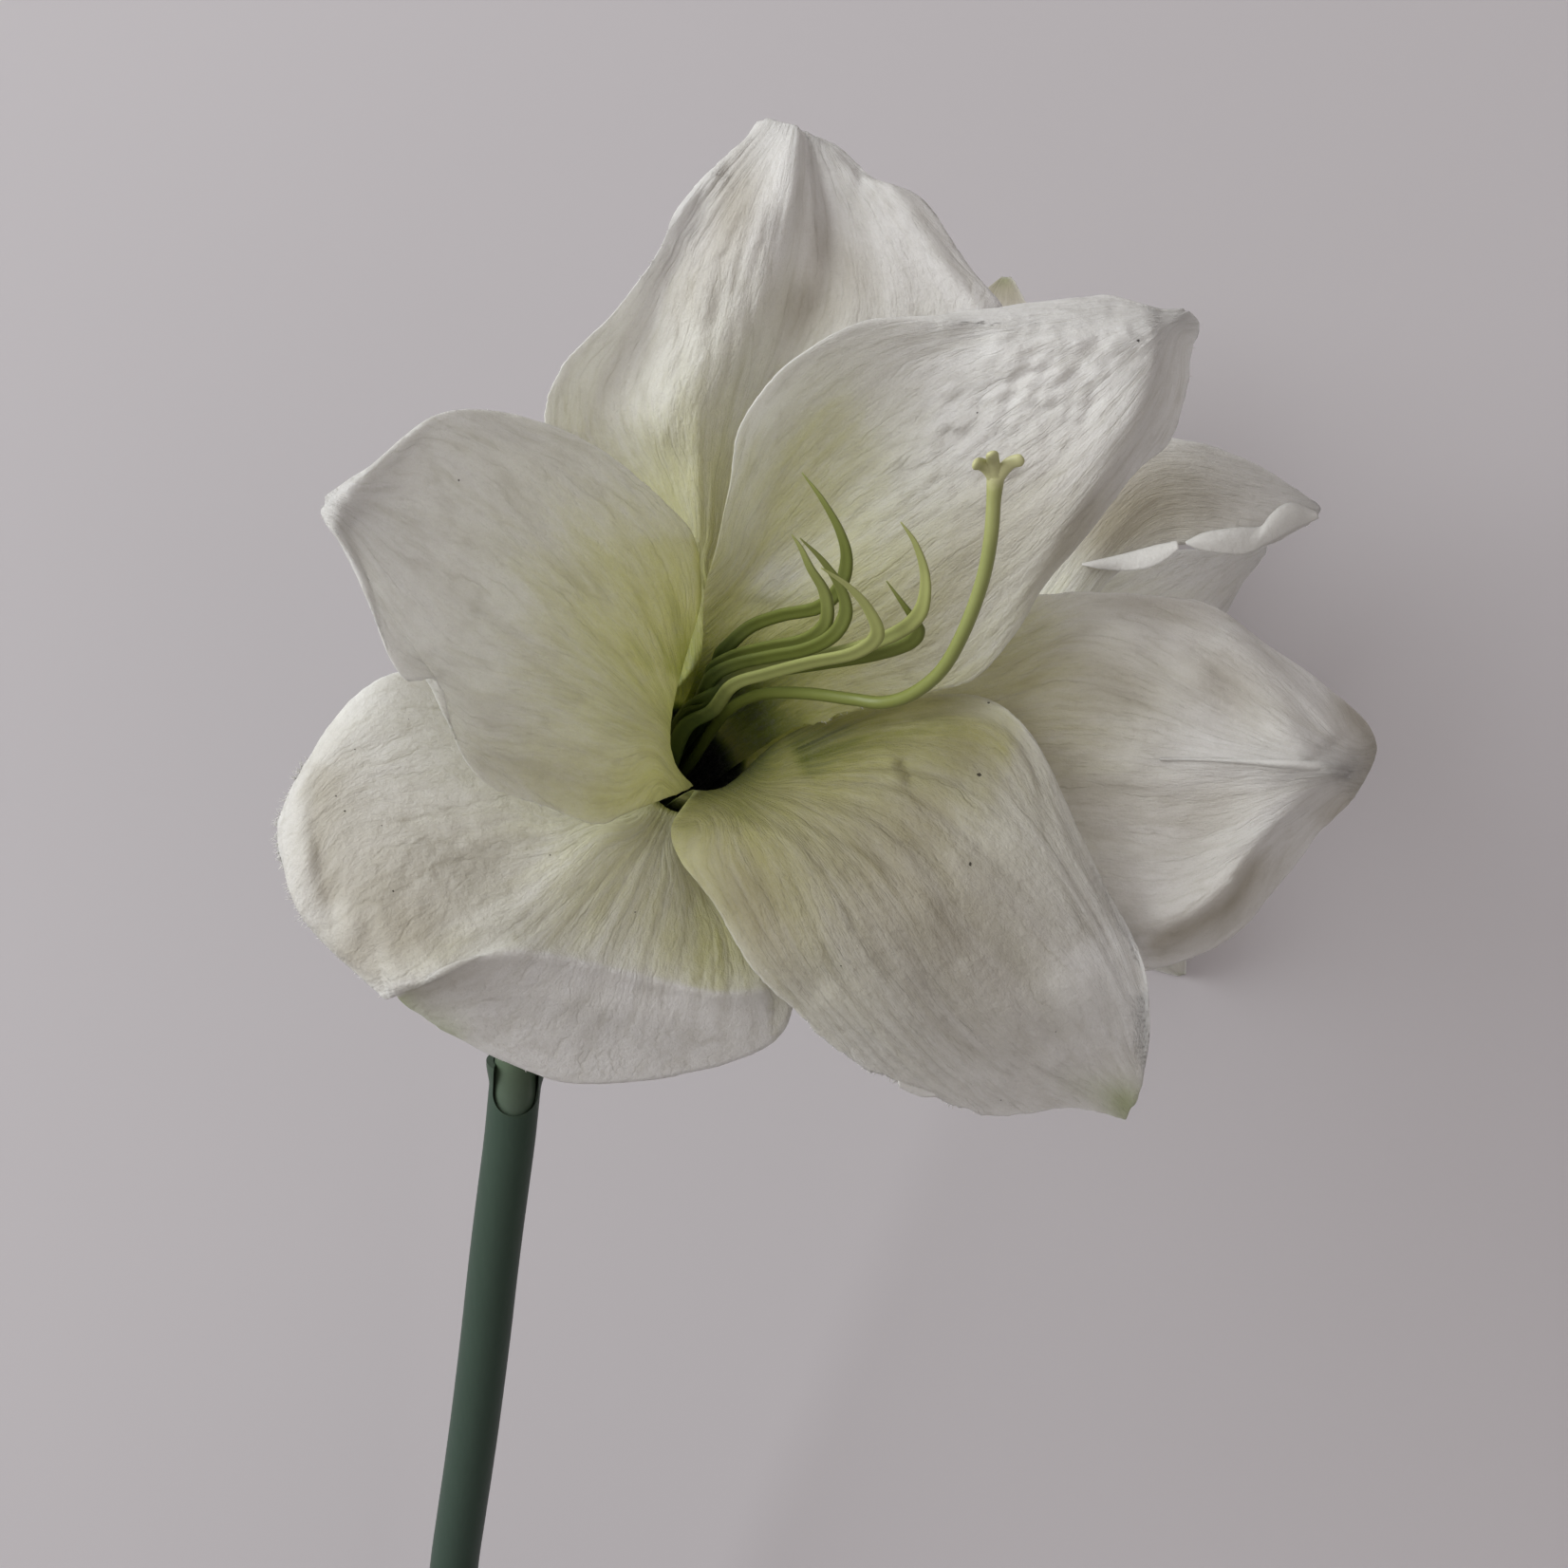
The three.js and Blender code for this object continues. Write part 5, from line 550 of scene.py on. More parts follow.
def petal_material(name, bright=1.0, seed=1, spots=()):
    M = Mat(name)
    p = M.p
    tint = M.attr("tint")        # 0 white cloth, 1 near-black in the throat: the cloth's green, darkened deep in the tube as painted shade
    vein = M.attr("vein")        # 1 in the bottom of a pressed vein
    tip = M.attr("tipgreen")
    painted_shade = M.attr("painted_shade")        # painted shade: where the cloth is darkened to a warmer, duller tone to stand for the shade that falls there
    along, across = M.attr("along"), M.attr("across")

    def fibres(kc, ka, detail, rough, z):
        c = M.n("ShaderNodeCombineXYZ")
        M.link(M.math("MULTIPLY", across, kc), c.inputs[0])
        M.link(M.math("MULTIPLY", along, ka), c.inputs[1])
        c.inputs[2].default_value = z + seed
        x = M.n("ShaderNodeTexNoise")
        x.inputs["Scale"].default_value = 1.0
        x.inputs["Detail"].default_value = detail
        x.inputs["Roughness"].default_value = rough
        M.link(c.outputs[0], x.inputs[0])
        return x.outputs["Fac"]

    wob = M.math("MULTIPLY", M.math("SUBTRACT", fibres(9.0, 22.0, 2.0, 0.5, 3.0), 0.5), 0.055)
    wavy = M.math("ADD", across, wob)

    def lines(k, ka, z, sharp):
        """Thin wavering pressed lines: where a stretched noise passes its middle."""
        c = M.n("ShaderNodeCombineXYZ")
        M.link(M.math("MULTIPLY", wavy, k), c.inputs[0])
        M.link(M.math("MULTIPLY", along, ka), c.inputs[1])
        c.inputs[2].default_value = z + seed
        x = M.n("ShaderNodeTexNoise")
        x.inputs["Scale"].default_value = 1.0
        x.inputs["Detail"].default_value = 1.0
        x.inputs["Roughness"].default_value = 0.45
        M.link(c.outputs[0], x.inputs[0])
        d = M.math("ABSOLUTE", M.math("SUBTRACT", x.outputs["Fac"], 0.5))
        return M.math("SUBTRACT", 1.0, M.math("MULTIPLY", d, sharp), clamp=True)

    f1 = fibres(17.0, 9.0, 4.0, 0.62, 0.0)          # broad streaks along the petal
    f2 = fibres(70.0, 42.0, 3.0, 0.60, 7.0)         # fine streaks
    v1 = M.math("MULTIPLY", lines(13.0, 5.0, 11.0, 17.0), M.math("MULTIPLY", M.math("SUBTRACT", fibres(12.0, 9.0, 2.0, 0.5, 19.0), 0.36), 4.0, clamp=True))
    v2 = M.math("MULTIPLY", lines(34.0, 8.0, 23.0, 12.0), M.math("MULTIPLY", M.math("SUBTRACT", fibres(20.0, 14.0, 2.0, 0.5, 29.0), 0.42), 4.0, clamp=True))
    fine = M.noise(2400.0, 3.0, 0.65)               # weave of the cloth
    pucker = M.noise(330.0, 4.0, 0.62)              # small puckers of the pressed cloth
    # streaks make the green run out along the veins
    span = M.math("MULTIPLY", tint, M.math("SUBTRACT", 1.0, tint), clamp=True)
    amp = M.math("MULTIPLY", span, 1.5)
    s = M.math("ADD", M.math("MULTIPLY", M.math("SUBTRACT", f1, 0.5), amp), M.math("MULTIPLY", M.math("SUBTRACT", f2, 0.5), M.math("MULTIPLY", amp, 0.5)))
    fac = M.math("ADD", tint, s, clamp=True)
    b = bright
    col = M.ramp(fac, [
        (0.0, (0.90 * b, 0.892 * b, 0.880 * b)),
        (0.12, (0.88 * b, 0.875 * b, 0.81 * b)),
        (0.26, (0.83 * b, 0.825 * b, 0.63 * b)),
        (0.42, (0.76 * b, 0.755 * b, 0.41 * b)),
        (0.58, (0.58 * b, 0.595 * b, 0.20 * b)),
        # the darkest stops are painted shade deep in the throat
        (0.74, (0.28, 0.33, 0.06)),
        (0.88, (0.055, 0.085, 0.014)),
        (1.0, (0.008, 0.014, 0.004)),
    ])
    # painted shade: the cloth darkened in the bottom of the pressed veins
    col = M.mix(M.math("MULTIPLY", vein, 0.16), col, (0.52, 0.49, 0.40))
    # painted shade along the thin pressed lines
    painted_vein_shade = M.math("ADD", M.math("MULTIPLY", v1, 0.17), M.math("MULTIPLY", v2, 0.07), clamp=True)
    col = M.mix(painted_vein_shade, col, (0.50, 0.47, 0.36), "MULTIPLY")
    mott = M.math("MULTIPLY", M.math("SUBTRACT", f1, 0.50), 0.9, clamp=True)
    col = M.mix(mott, col, (0.70, 0.675, 0.62))
    mott2 = M.math("MULTIPLY", M.math("SUBTRACT", f2, 0.54), 0.7, clamp=True)
    col = M.mix(mott2, col, (0.64, 0.62, 0.54))
    mott3 = M.math("MULTIPLY", M.math("SUBTRACT", pucker, 0.52), 0.8, clamp=True)
    col = M.mix(mott3, col, (0.68, 0.655, 0.62))
    cloth = M.math("MULTIPLY", M.math("SUBTRACT", fine, 0.50), 1.0, clamp=True)
    col = M.mix(cloth, col, (0.64, 0.62, 0.58))
    # painted shade: the colour is multiplied toward a warm grey-beige where the shade mask is set
    col = M.mix(M.math("MULTIPLY", painted_shade, M.math("ADD", 0.80, M.math("MULTIPLY", f1, 0.4)), clamp=True), col, (0.60, 0.555, 0.455), "MULTIPLY")
    col = M.mix(M.math("MULTIPLY", M.attr("rim"), 0.55), col, (0.95, 0.945, 0.93))   # edges lightened toward white: partly the white cut edge of the cloth, partly painted highlight where the edge catches the light; the pale spots are painted highlight
    col = M.mix(M.math("MULTIPLY", tip, 0.8), col, (0.40, 0.46, 0.15))
    tc = M.n("ShaderNodeTexCoord")
    for (loc, r) in spots:
        d = M.n("ShaderNodeVectorMath", operation="DISTANCE")
        M.link(tc.outputs["Object"], d.inputs[0])
        d.inputs[1].default_value = loc
        on = M.math("LESS_THAN", M.math("ADD", d.outputs["Value"], M.math("MULTIPLY", M.math("SUBTRACT", fine, 0.5), r * 2.0)), r * 0.72)
        col = M.mix(M.math("MULTIPLY", on, 0.88), col, (0.035, 0.028, 0.020))
    M.link(col, p.inputs["Base Color"])
    p.inputs["Roughness"].default_value = 0.72
    p.inputs["Specular IOR Level"].default_value = 0.30
    p.inputs["Sheen Weight"].default_value = 0.12
    p.inputs["Sheen Roughness"].default_value = 0.5
    h = M.math("ADD", M.math("MULTIPLY", fine, 0.30), M.math("ADD", M.math("MULTIPLY", f2, 0.7), M.math("MULTIPLY", f1, 1.5)))
    h = M.math("ADD", h, M.math("MULTIPLY", pucker, 1.5))
    pits = M.noise(430.0, 0.6, 0.4)                 # small dimples where the cloth was pressed hard
    h = M.math("ADD", h, M.math("MULTIPLY", pits, M.math("MULTIPLY", M.attr("dimple"), 3.2)))
    h = M.math("SUBTRACT", h, M.math("ADD", M.math("MULTIPLY", v1, 0.36), M.math("MULTIPLY", v2, 0.16)))
    nb = M.bump(h, 0.75, 0.00045)
    M.link(nb, p.inputs["Normal"])
    tr = M.n("ShaderNodeBsdfTranslucent")
    M.link(col, tr.inputs["Color"])
    M.link(nb, tr.inputs["Normal"])
    mx = M.n("ShaderNodeMixShader")
    mx.inputs[0].default_value = 0.50
    M.link(p.outputs[0], mx.inputs[1])
    M.link(tr.outputs[0], mx.inputs[2])
    M.link(mx.outputs[0], M.out.inputs[0])
    return M.m


def plastic_material(name, stops, rough=0.42, mottling=0.25, bump=0.15, streak=None, spec=0.40):
    """Moulded plastic, coloured along the piece by pu where the piece has it."""
    M = Mat(name)
    p = M.p
    pu = M.attr("pu")
    n1 = M.noise(160.0, 4.0, 0.6, streak)
    fac = M.math("ADD", pu, M.math("MULTIPLY", M.math("SUBTRACT", n1, 0.5), 0.12))
    col = M.ramp(fac, stops)
    n2 = M.noise(520.0, 4.0, 0.6, streak)
    col = M.mix(M.math("MULTIPLY", n2, mottling), col, tuple(0.55 * c for c in stops[len(stops) // 2][1]))
    M.link(col, p.inputs["Base Color"])
    p.inputs["Roughness"].default_value = rough
    p.inputs["Specular IOR Level"].default_value = spec
    M.link(M.bump(M.noise(900.0, 3.0, 0.5, streak), bump, 0.0002), p.inputs["Normal"])
    M.link(p.outputs[0], M.out.inputs[0])
    return M.m


STEM_MAT = plastic_material("stem_plastic", [(0.0, (0.046, 0.072, 0.046)), (0.08, (0.042, 0.068, 0.049)), (1.0, (0.040, 0.063, 0.052))],
                            0.48, 0.35, 0.25, (1.0, 0.12, 1.0), 0.20)
FORK_MAT = plastic_material("fork_plastic", [(0.0, (0.080, 0.110, 0.088)), (1.0, (0.085, 0.12, 0.07))], 0.36, 0.3, 0.2, None, 0.25)
CALYX_MAT = plastic_material("calyx_plastic", [(0.0, (0.10, 0.14, 0.03)), (1.0, (0.10, 0.14, 0.03))], 0.5, 0.35, 0.25)
FIL_MAT = plastic_material("filament_plastic", [(0.0, (0.010, 0.022, 0.004)), (0.26, (0.028, 0.048, 0.008)), (0.40, (0.16, 0.19, 0.040)),
                                                 (0.75, (0.22, 0.245, 0.068)), (1.0, (0.22, 0.23, 0.075))], 0.46, 0.2, 0.12)
# painted light: a lighter and a darker copy of the filament plastic, for stamens that stand in more light and in more
# shade
FIL_LIT = plastic_material("filament_plastic_lit", [(0.0, (0.010, 0.022, 0.004)), (0.24, (0.040, 0.065, 0.012)), (0.37, (0.28, 0.31, 0.10)),
                                                      (0.75, (0.31, 0.33, 0.11)), (1.0, (0.29, 0.30, 0.11))], 0.46, 0.2, 0.12)
FIL_SHADED = plastic_material("filament_plastic_shaded", [(0.0, (0.010, 0.020, 0.003)), (0.28, (0.026, 0.044, 0.006)), (0.45, (0.150, 0.18, 0.036)),
                                                      (0.8, (0.165, 0.19, 0.042)), (1.0, (0.19, 0.205, 0.055))], 0.46, 0.2, 0.12)
STYLE_MAT = plastic_material("style_plastic", [(0.0, (0.02, 0.034, 0.005)), (0.24, (0.10, 0.125, 0.020)), (0.55, (0.18, 0.205, 0.045)),
                                               (0.82, (0.27, 0.295, 0.10)), (0.95, (0.33, 0.34, 0.13)), (1.0, (0.52, 0.51, 0.27))], 0.40, 0.2, 0.12)


# ---------------------------------------------------------------- petals
def petal_surface(grid, nu, nv):
    G = np.asarray(grid, float)
    R, C = G.shape[:2]
    mid = G[:, C // 2]
    tt = np.linspace(0, R - 1, 400)
    m = through(mid, tt)
    s = np.concatenate([[0], np.cumsum(np.linalg.norm(np.diff(m, axis=0), axis=1))])
    # part even spacing, part row spacing, so the dense rows at the tip keep their detail
    su = s / s[-1] * 0.6 + tt / (R - 1) * 0.4
    u = np.interp(np.linspace(0, 1, nu), su, tt)
    S = through(G, u)
    v = np.linspace(0, C - 1, nv)
    S = np.swapaxes(through(np.swapaxes(S, 0, 1), v), 0, 1)
    return S, u / (R - 1), v / (C - 1) * 2 - 1, s[-1]


def veins(U, V, seed, count, warp, width):
    """Pressed lines from base to tip, thin and broken; 1 in a line, 0 between."""
    a = noise(V * count + warp * noise(U * 4.0, V * 3.0, seed), U * 3.2 + 2.0 * V, seed + 1)
    g = np.exp(-(a / width) ** 2)
    s = np.clip(0.55 + 0.75 * noise(V * count * 0.6 + 5.1, U * 6.5, seed + 2), 0, 1)
    return g * s


def vein_field(X, Y, guides):
    """A smooth field, -1..1 across the petal, whose level lines run along the veins."""
    pts, val = [], []
    for w, line in guides:
        Q = through(np.array(line, float), np.linspace(0, len(line) - 1, 2 * len(line) - 1))
        pts.append(Q)
        val += [w] * len(Q)
    pts = np.concatenate(pts) / 100.0
    n = len(val)

    def plate(r2):
        return 0.5 * r2 * np.log(np.maximum(r2, 1e-12))

    A = np.zeros((n + 3, n + 3))
    A[:n, :n] = plate(((pts[:, None] - pts[None]) ** 2).sum(-1)) + 0.02 * np.eye(n)
    A[:n, n] = A[n, :n] = 1
    A[:n, n + 1:] = pts
    A[n + 1:, :n] = pts.T
    k = np.linalg.solve(A, np.concatenate([val, [0, 0, 0]]))
    q = np.stack([X.reshape(-1), Y.reshape(-1)], -1) / 100.0
    f = plate(((q[:, None] - pts[None]) ** 2).sum(-1)) @ k[:n] + k[n] + q @ k[n + 1:]
    return f.reshape(X.shape)


def level(d):
    """Directions brought nearer to the level plane."""
    return unit(d * np.array([1.0, 1.0, 0.25]))


def flap(V, Fc, upper, lower, lift, rise, arch, surf, X, Y):
    """A narrow turned-up margin: a closed strip between two lines, just above the petal it belongs to."""
    nt, ns = 60, 9
    A = through(np.array(upper, float), np.linspace(0, len(upper) - 1, nt))
    B = through(np.array(lower, float), np.linspace(0, len(lower) - 1, nt))
    k = np.linspace(0, 1, ns)[None, :, None]
    Q = A[:, None] * (1 - k) + B[:, None] * k
    xs, ys, zs = X.reshape(-1), Y.reshape(-1), surf[..., 2].reshape(-1)
    z = np.empty((nt, ns))
    for i in range(nt):
        for j in range(ns):
            d = (xs - Q[i, j, 0]) ** 2 + (ys - Q[i, j, 1]) ** 2
            w = np.exp(-d / (d.min() + 60.0))
            z[i, j] = (w * zs).sum() / w.sum()
    z = z + lift + rise * k[..., 0] + arch * np.sin(math.pi * k[..., 0])
    d = CAMERA[2] - z
    T = np.stack([CAMERA[0] + (Q[..., 0] - 826) * d / FOCAL, CAMERA[1] - (Q[..., 1] - 826) * d / FOCAL, z], -1)
    nn = normals(T)
    nn = nn * np.sign(nn[..., 2:3].mean())
    start = len(V)
    for G in (T + 0.2 * nn, T - 0.2 * nn):
        V.extend(list(G.reshape(-1, 3)))
    N = nt * ns
    g = np.arange(N).reshape(nt, ns) + start
    for i in range(nt - 1):
        for j in range(ns - 1):
            q = (g[i, j], g[i + 1, j], g[i + 1, j + 1], g[i, j + 1])
            Fc.append(q)
            Fc.append(tuple(v + N for v in q[::-1]))
    loop = list(g[0]) + list(g[1:, -1]) + list(g[-1, -2::-1]) + list(g[-2:0:-1, 0])
    for a, b in zip(loop, loop[1:] + loop[:1]):
        Fc.append((a, b, b + N, a + N))


def make_petal(name, node, grid, spec, nu=190, nv=118, mat=None):
    S, u, v, length = petal_surface(grid, nu, nv)
    U, Vv = np.meshgrid(u, v, indexing="ij")
    seed = spec["seed"]
    axis = np.array(spec["axis"], float)
    n = normals(S)
    if np.mean(n[nu // 3:] @ axis) < 0:
        n = -n
    su = np.concatenate([np.zeros((1, nv)), np.cumsum(np.linalg.norm(np.diff(S, axis=0), axis=2), axis=0)])
    sv = np.concatenate([np.zeros((nu, 1)), np.cumsum(np.linalg.norm(np.diff(S, axis=1), axis=2), axis=1)], axis=1)
    wide = sv[:, -1:]
    edge = np.minimum(np.minimum(sv, wide - sv), su[-1:] - su)
    fade = smooth(0.10, 0.28, U) * smooth(0.0, 3.0, edge) * smooth(1.0, 0.93, U)
    cnt = spec.get("veins", 8)
    W = vein_field(*seen_at(S), spec["guides"]) if spec.get("guides") else Vv
    g1 = veins(U, W, seed, cnt, 0.6, 0.20)
    g2 = veins(U, W, seed + 40, cnt * 2.6, 0.6, 0.24)
    body = fade * (0.45 + 0.55 * smooth(1.0, 0.6, U))
    vm = spec.get("vein_mm", 1.0)
    h = -0.24 * vm * g1 * body - 0.11 * vm * g2 * body
    # soft pleats between the veins
    ple = spec.get("pleat", 0.10)
    h = h + ple * noise(W * cnt * 1.4, U * 2.6, seed + 50) * body
    # broad soft waves of the formed cloth
    h = h + spec.get("wave", 0.35) * fbm(su / 26.0, sv / 14.0, seed + 60, 2) * smooth(0.12, 0.4, U)
    # margin ripple
    rim = np.exp(-edge / 5.0)
    h = h + spec.get("ripple", 0.5) * rim * fbm(su / 9.0, np.sign(Vv) * 7.3, seed + 120, 2) * smooth(0.25, 0.5, U)
    P = S + n * h[..., None]
    # modelled relief, along the line of sight so that the outline holds
    X, Y = seen_at(P)
    if spec.get("relief"):
        hv = relief(X, Y, spec["relief"], 1, seed)
        # where the veins crowd together the wrinkles are finer and lower
        gx = np.gradient(W, axis=1) / np.maximum(np.hypot(np.gradient(X, axis=1), np.gradient(Y, axis=1)), 0.3)
        room = np.clip(0.0062 / np.maximum(np.abs(gx), 1e-5), 0.12, 1.0)
        # wrinkles that follow the veins: x, y, rx, ry, angle, amp, spacing in field units, length mm, octaves
        for k, (cx, cy, rx, ry, an, amp, sp, ln, oc) in enumerate(spec.get("wrinkle", [])):
            a = math.radians(an)
            xx = (X - cx) * math.cos(a) + (Y - cy) * math.sin(a)
            yy = -(X - cx) * math.sin(a) + (Y - cy) * math.cos(a)
            m = np.exp(-((xx / rx) ** 2 + (yy / ry) ** 2) ** 1.6)
            q = fbm(W / sp + 0.35 * noise(su / 7.0, W / sp * 0.5, seed + 410 + k), su / ln, seed + 400 + k, oc)
            hv = hv + amp * m * q * room
        ray = unit(np.array(CAMERA, float) - P)
        P = P + ray * (hv * smooth(0.10, 0.20, U))[..., None]
    # uneven cut margin, in the plane of the cloth
    cross = unit(np.gradient(S, axis=1))
    fr = spec.get("fray", 0.22)
    for side, col in ((-1, 0), (1, nv - 1)):
        j = fbm(su[:, col] / 1.3, su[:, col] * 0 + side * 5, seed + 150 + side, 3) + 0.8 * noise(su[:, col] / 5.0, su[:, col] * 0 + side, seed + 155)
        amp = np.full(nu, fr) * smooth(0.25, 0.45, u)
        for (cx, cy, r, a) in spec.get("ragged", []):
            amp = amp + a * np.exp(-((X[:, col] - cx) ** 2 + (Y[:, col] - cy) ** 2) / r ** 2)
        off = j * amp
        for (cx, cy, r, a) in spec.get("notch", []):
            off = off + side * a * np.exp(-((X[:, col] - cx) ** 2 + (Y[:, col] - cy) ** 2) / r ** 2)
        fall = np.exp(-np.abs(np.arange(nv) - col) / 2.4)
        P = P + (off[:, None] * fall[None, :])[..., None] * cross
    n2 = normals(P)
    if np.mean(np.sum(n2 * n, axis=2)) < 0:
        n2 = -n2
    th = spec.get("thick", 0.46) * (0.45 + 0.55 * smooth(0, 1.6, edge))
    top = P + n2 * th[..., None] / 2
    bot = P - n2 * th[..., None] / 2
    # how green the cloth is: by distance from the mouth of the bloom, in streaks along the petal
    M0 = np.array(spec["mouth"], float)
    rel = P - M0
    s_ax = rel @ axis
    rd = np.linalg.norm(rel, axis=2)
    rp = np.sqrt(np.maximum(rd ** 2 - s_ax ** 2, 0))
    streak = 3.0 * noise(U * 3, W * 13, seed + 200) + 5.0 * noise(U * 2.0, W * 4, seed + 210) + 1.5 * noise(U * 6, W * 40, seed + 220)
    rr = rd + streak * smooth(10, 30, rd) + spec.get("tint_shift", 0)
    tint = np.interp(rr, [5, 9, 14, 22, 36, 58, 95], [0.95, 0.80, 0.66, 0.53, 0.36, 0.17, 0.0]) * spec.get("tint_scale", 1.0)
    # painted shade: inside the tube the cloth goes to the near-black end of the green
    tube = smooth(-2, -24, s_ax) * smooth(22, 15, rp) * (rd < 70)
    tint = np.maximum(tint, tube)
    if spec.get("paint"):
        pn = paint(X, Y, spec["paint"])
        tint = tint + pn * (1 + 0.30 * noise(U * 4, W * 22, seed + 230) + 0.25 * noise(U * 9, W * 50, seed + 231))
    tg = np.zeros_like(U)
    if spec.get("green"):
        tg = paint(X, Y, spec["green"])
    for (cu, cv, ru, rv, amt) in spec.get("tipgreen", []):
        tg = tg + amt * np.exp(-((U - cu) / ru) ** 2 - ((Vv - cv) / rv) ** 2)
    # painted shade: darkening masks where shade falls on the petal
    painted_shade = np.zeros_like(U)
    if spec.get("painted_shade"):
        painted_shade = np.clip(paint(X, Y, spec["painted_shade"]), 0, 1)
    # painted highlight: spots and bands lightened toward white where the surface catches the light
    pale = np.zeros_like(U)
    if spec.get("pale"):
        pale = np.clip(paint(X, Y, spec["pale"]), 0, 1)
    dimple = np.zeros_like(U)
    if spec.get("dimple"):
        dimple = np.clip(paint(X, Y, spec["dimple"]), 0, 1)
    # painted shade: how much the cloth is darkened in the pressed veins
    vein_c = np.clip(g1 * 0.8 + g2 * 0.45, 0, 1) * fade * spec.get("vein_col", 1.0)
    # loose threads
    extra = None
    if spec.get("threads"):
        rng = np.random.RandomState(seed + 5)
        V, Fc = [], []
        for (cx, cy, rx, ry, count, ln, wd) in spec["threads"]:
            cand, outs, tans = [], [], []
            for col, side in ((0, -1), (nv - 1, 1)):
                m = (((X[:, col] - cx) / rx) ** 2 + ((Y[:, col] - cy) / ry) ** 2) < 1
                tg_ = unit(np.gradient(P[:, col], axis=0))
                cand.append(P[m, col]); outs.append(level(side * cross[m, col])); tans.append(tg_[m])
            m = (((X[-1] - cx) / rx) ** 2 + ((Y[-1] - cy) / ry) ** 2) < 1
            ou = level(unit(P[-1] - P[-3]))
            cand.append(P[-1][m]); outs.append(ou[m]); tans.append(cross[-1][m])
            C0, O0, T0 = np.concatenate(cand), np.concatenate(outs), np.concatenate(tans)
            if len(C0):
                add_threads(V, Fc, rng, C0, O0, T0, count, ln, wd)
        # fibres that stand out from a rolled margin, where only the roll is seen
        for (x0, y0, x1, y1, count, ln, wd) in spec.get("fringe", []):
            best = []
            for yy in np.arange(y0, y1, 1.5):
                m = (np.abs(Y - yy) < 2.5) & (X > x0) & (X < x1)
                if m.any():
                    i = np.argmin(np.where(m, X, 1e9))
                    best.append(P.reshape(-1, 3)[i])
            if best:
                C0 = np.array(best)
                O0 = unit(np.array([-1.0, 0.1, 0.1])) + np.zeros_like(C0)
                T0 = unit(np.gradient(C0, axis=0) + [0, 1e-4, 0])
                add_threads(V, Fc, rng, C0, O0, T0, count, ln, wd)
        for (up_, lo_, lift, rise, arch) in spec.get("flap", []):
            flap(V, Fc, up_, lo_, lift, rise, arch, top, X, Y)
        extra = (V, Fc)
    pc = W if spec.get("guides") else Vv * (0.35 + 0.65 * np.clip(wide / wide.max(), 0, 1))
    # rim: the cut edge lightened toward white, partly its own white and partly painted highlight, plus the painted
    # highlight spots
    ob = grid_object(name, top, bot, {"tint": np.clip(tint, 0, 1), "vein": vein_c, "tipgreen": np.clip(tg, 0, 1), "painted_shade": painted_shade, "dimple": dimple, "rim": np.clip(np.exp(-edge / 0.45) * smooth(0.3, 0.45, U) + pale, 0, 1),
                                      "along": su / 100.0, "across": pc}, extra)
    spots = []
    for (cx, cy, r) in spec.get("specks", []):
        k = np.argmin((X - cx) ** 2 + (Y - cy) ** 2)
        spots.append((tuple(float(q) for q in top.reshape(-1, 3)[k] * MM), r * MM))
    ob.data.materials.append(petal_material("cloth_" + name, spec.get("bright", 1.0), seed, spots))
    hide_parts(node)
    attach(ob, "root")
    return ob


A_VEINS = [
    (-1.0, [(600, 470), (600, 400), (640, 340), (700, 268), (740, 200), (800, 130)]),
    (-0.68, [(735, 620), (690, 510), (655, 425), (690, 330), (722, 250), (772, 180), (812, 135)]),
    (-0.36, [(742, 620), (728, 520), (715, 430), (735, 360), (752, 290), (775, 225), (802, 170), (824, 130)]),
    (-0.08, [(746, 620), (755, 520), (768, 440), (785, 370), (800, 300), (815, 230), (830, 170), (840, 126)]),
    (0.22, [(750, 600), (788, 450), (830, 350), (848, 270), (852, 200), (850, 140)]),
    (0.55, [(880, 400), (908, 330), (898, 260), (882, 200), (864, 145)]),
    (0.82, [(960, 360), (965, 300), (940, 240), (912, 195), (878, 152)]),
    (1.0, [(1035, 300), (1005, 262), (965, 208), (905, 165)])]
B_VEINS = [
    (-1.0, [(755, 580), (770, 500), (800, 420), (860, 365), (940, 335), (1050, 330), (1180, 315), (1240, 322)]),
    (-0.72, [(765, 600), (800, 520), (850, 450), (905, 400), (965, 365), (1050, 345), (1150, 330), (1238, 328)]),
    (-0.42, [(780, 620), (830, 560), (890, 500), (950, 455), (1010, 410), (1090, 370), (1170, 340), (1236, 331)]),
    (-0.12, [(800, 640), (860, 590), (920, 545), (985, 500), (1050, 450), (1120, 400), (1180, 360), (1236, 334)]),
    (0.2, [(815, 668), (860, 640), (930, 590), (1000, 540), (1080, 480), (1150, 420), (1200, 375), (1238, 338)]),
    (0.55, [(830, 710), (930, 660), (1010, 600), (1090, 540), (1150, 480), (1205, 410), (1243, 340)]),
    (1.0, [(830, 770), (900, 745), (1000, 725), (1080, 650), (1150, 560), (1210, 480), (1240, 430), (1252, 360)])]
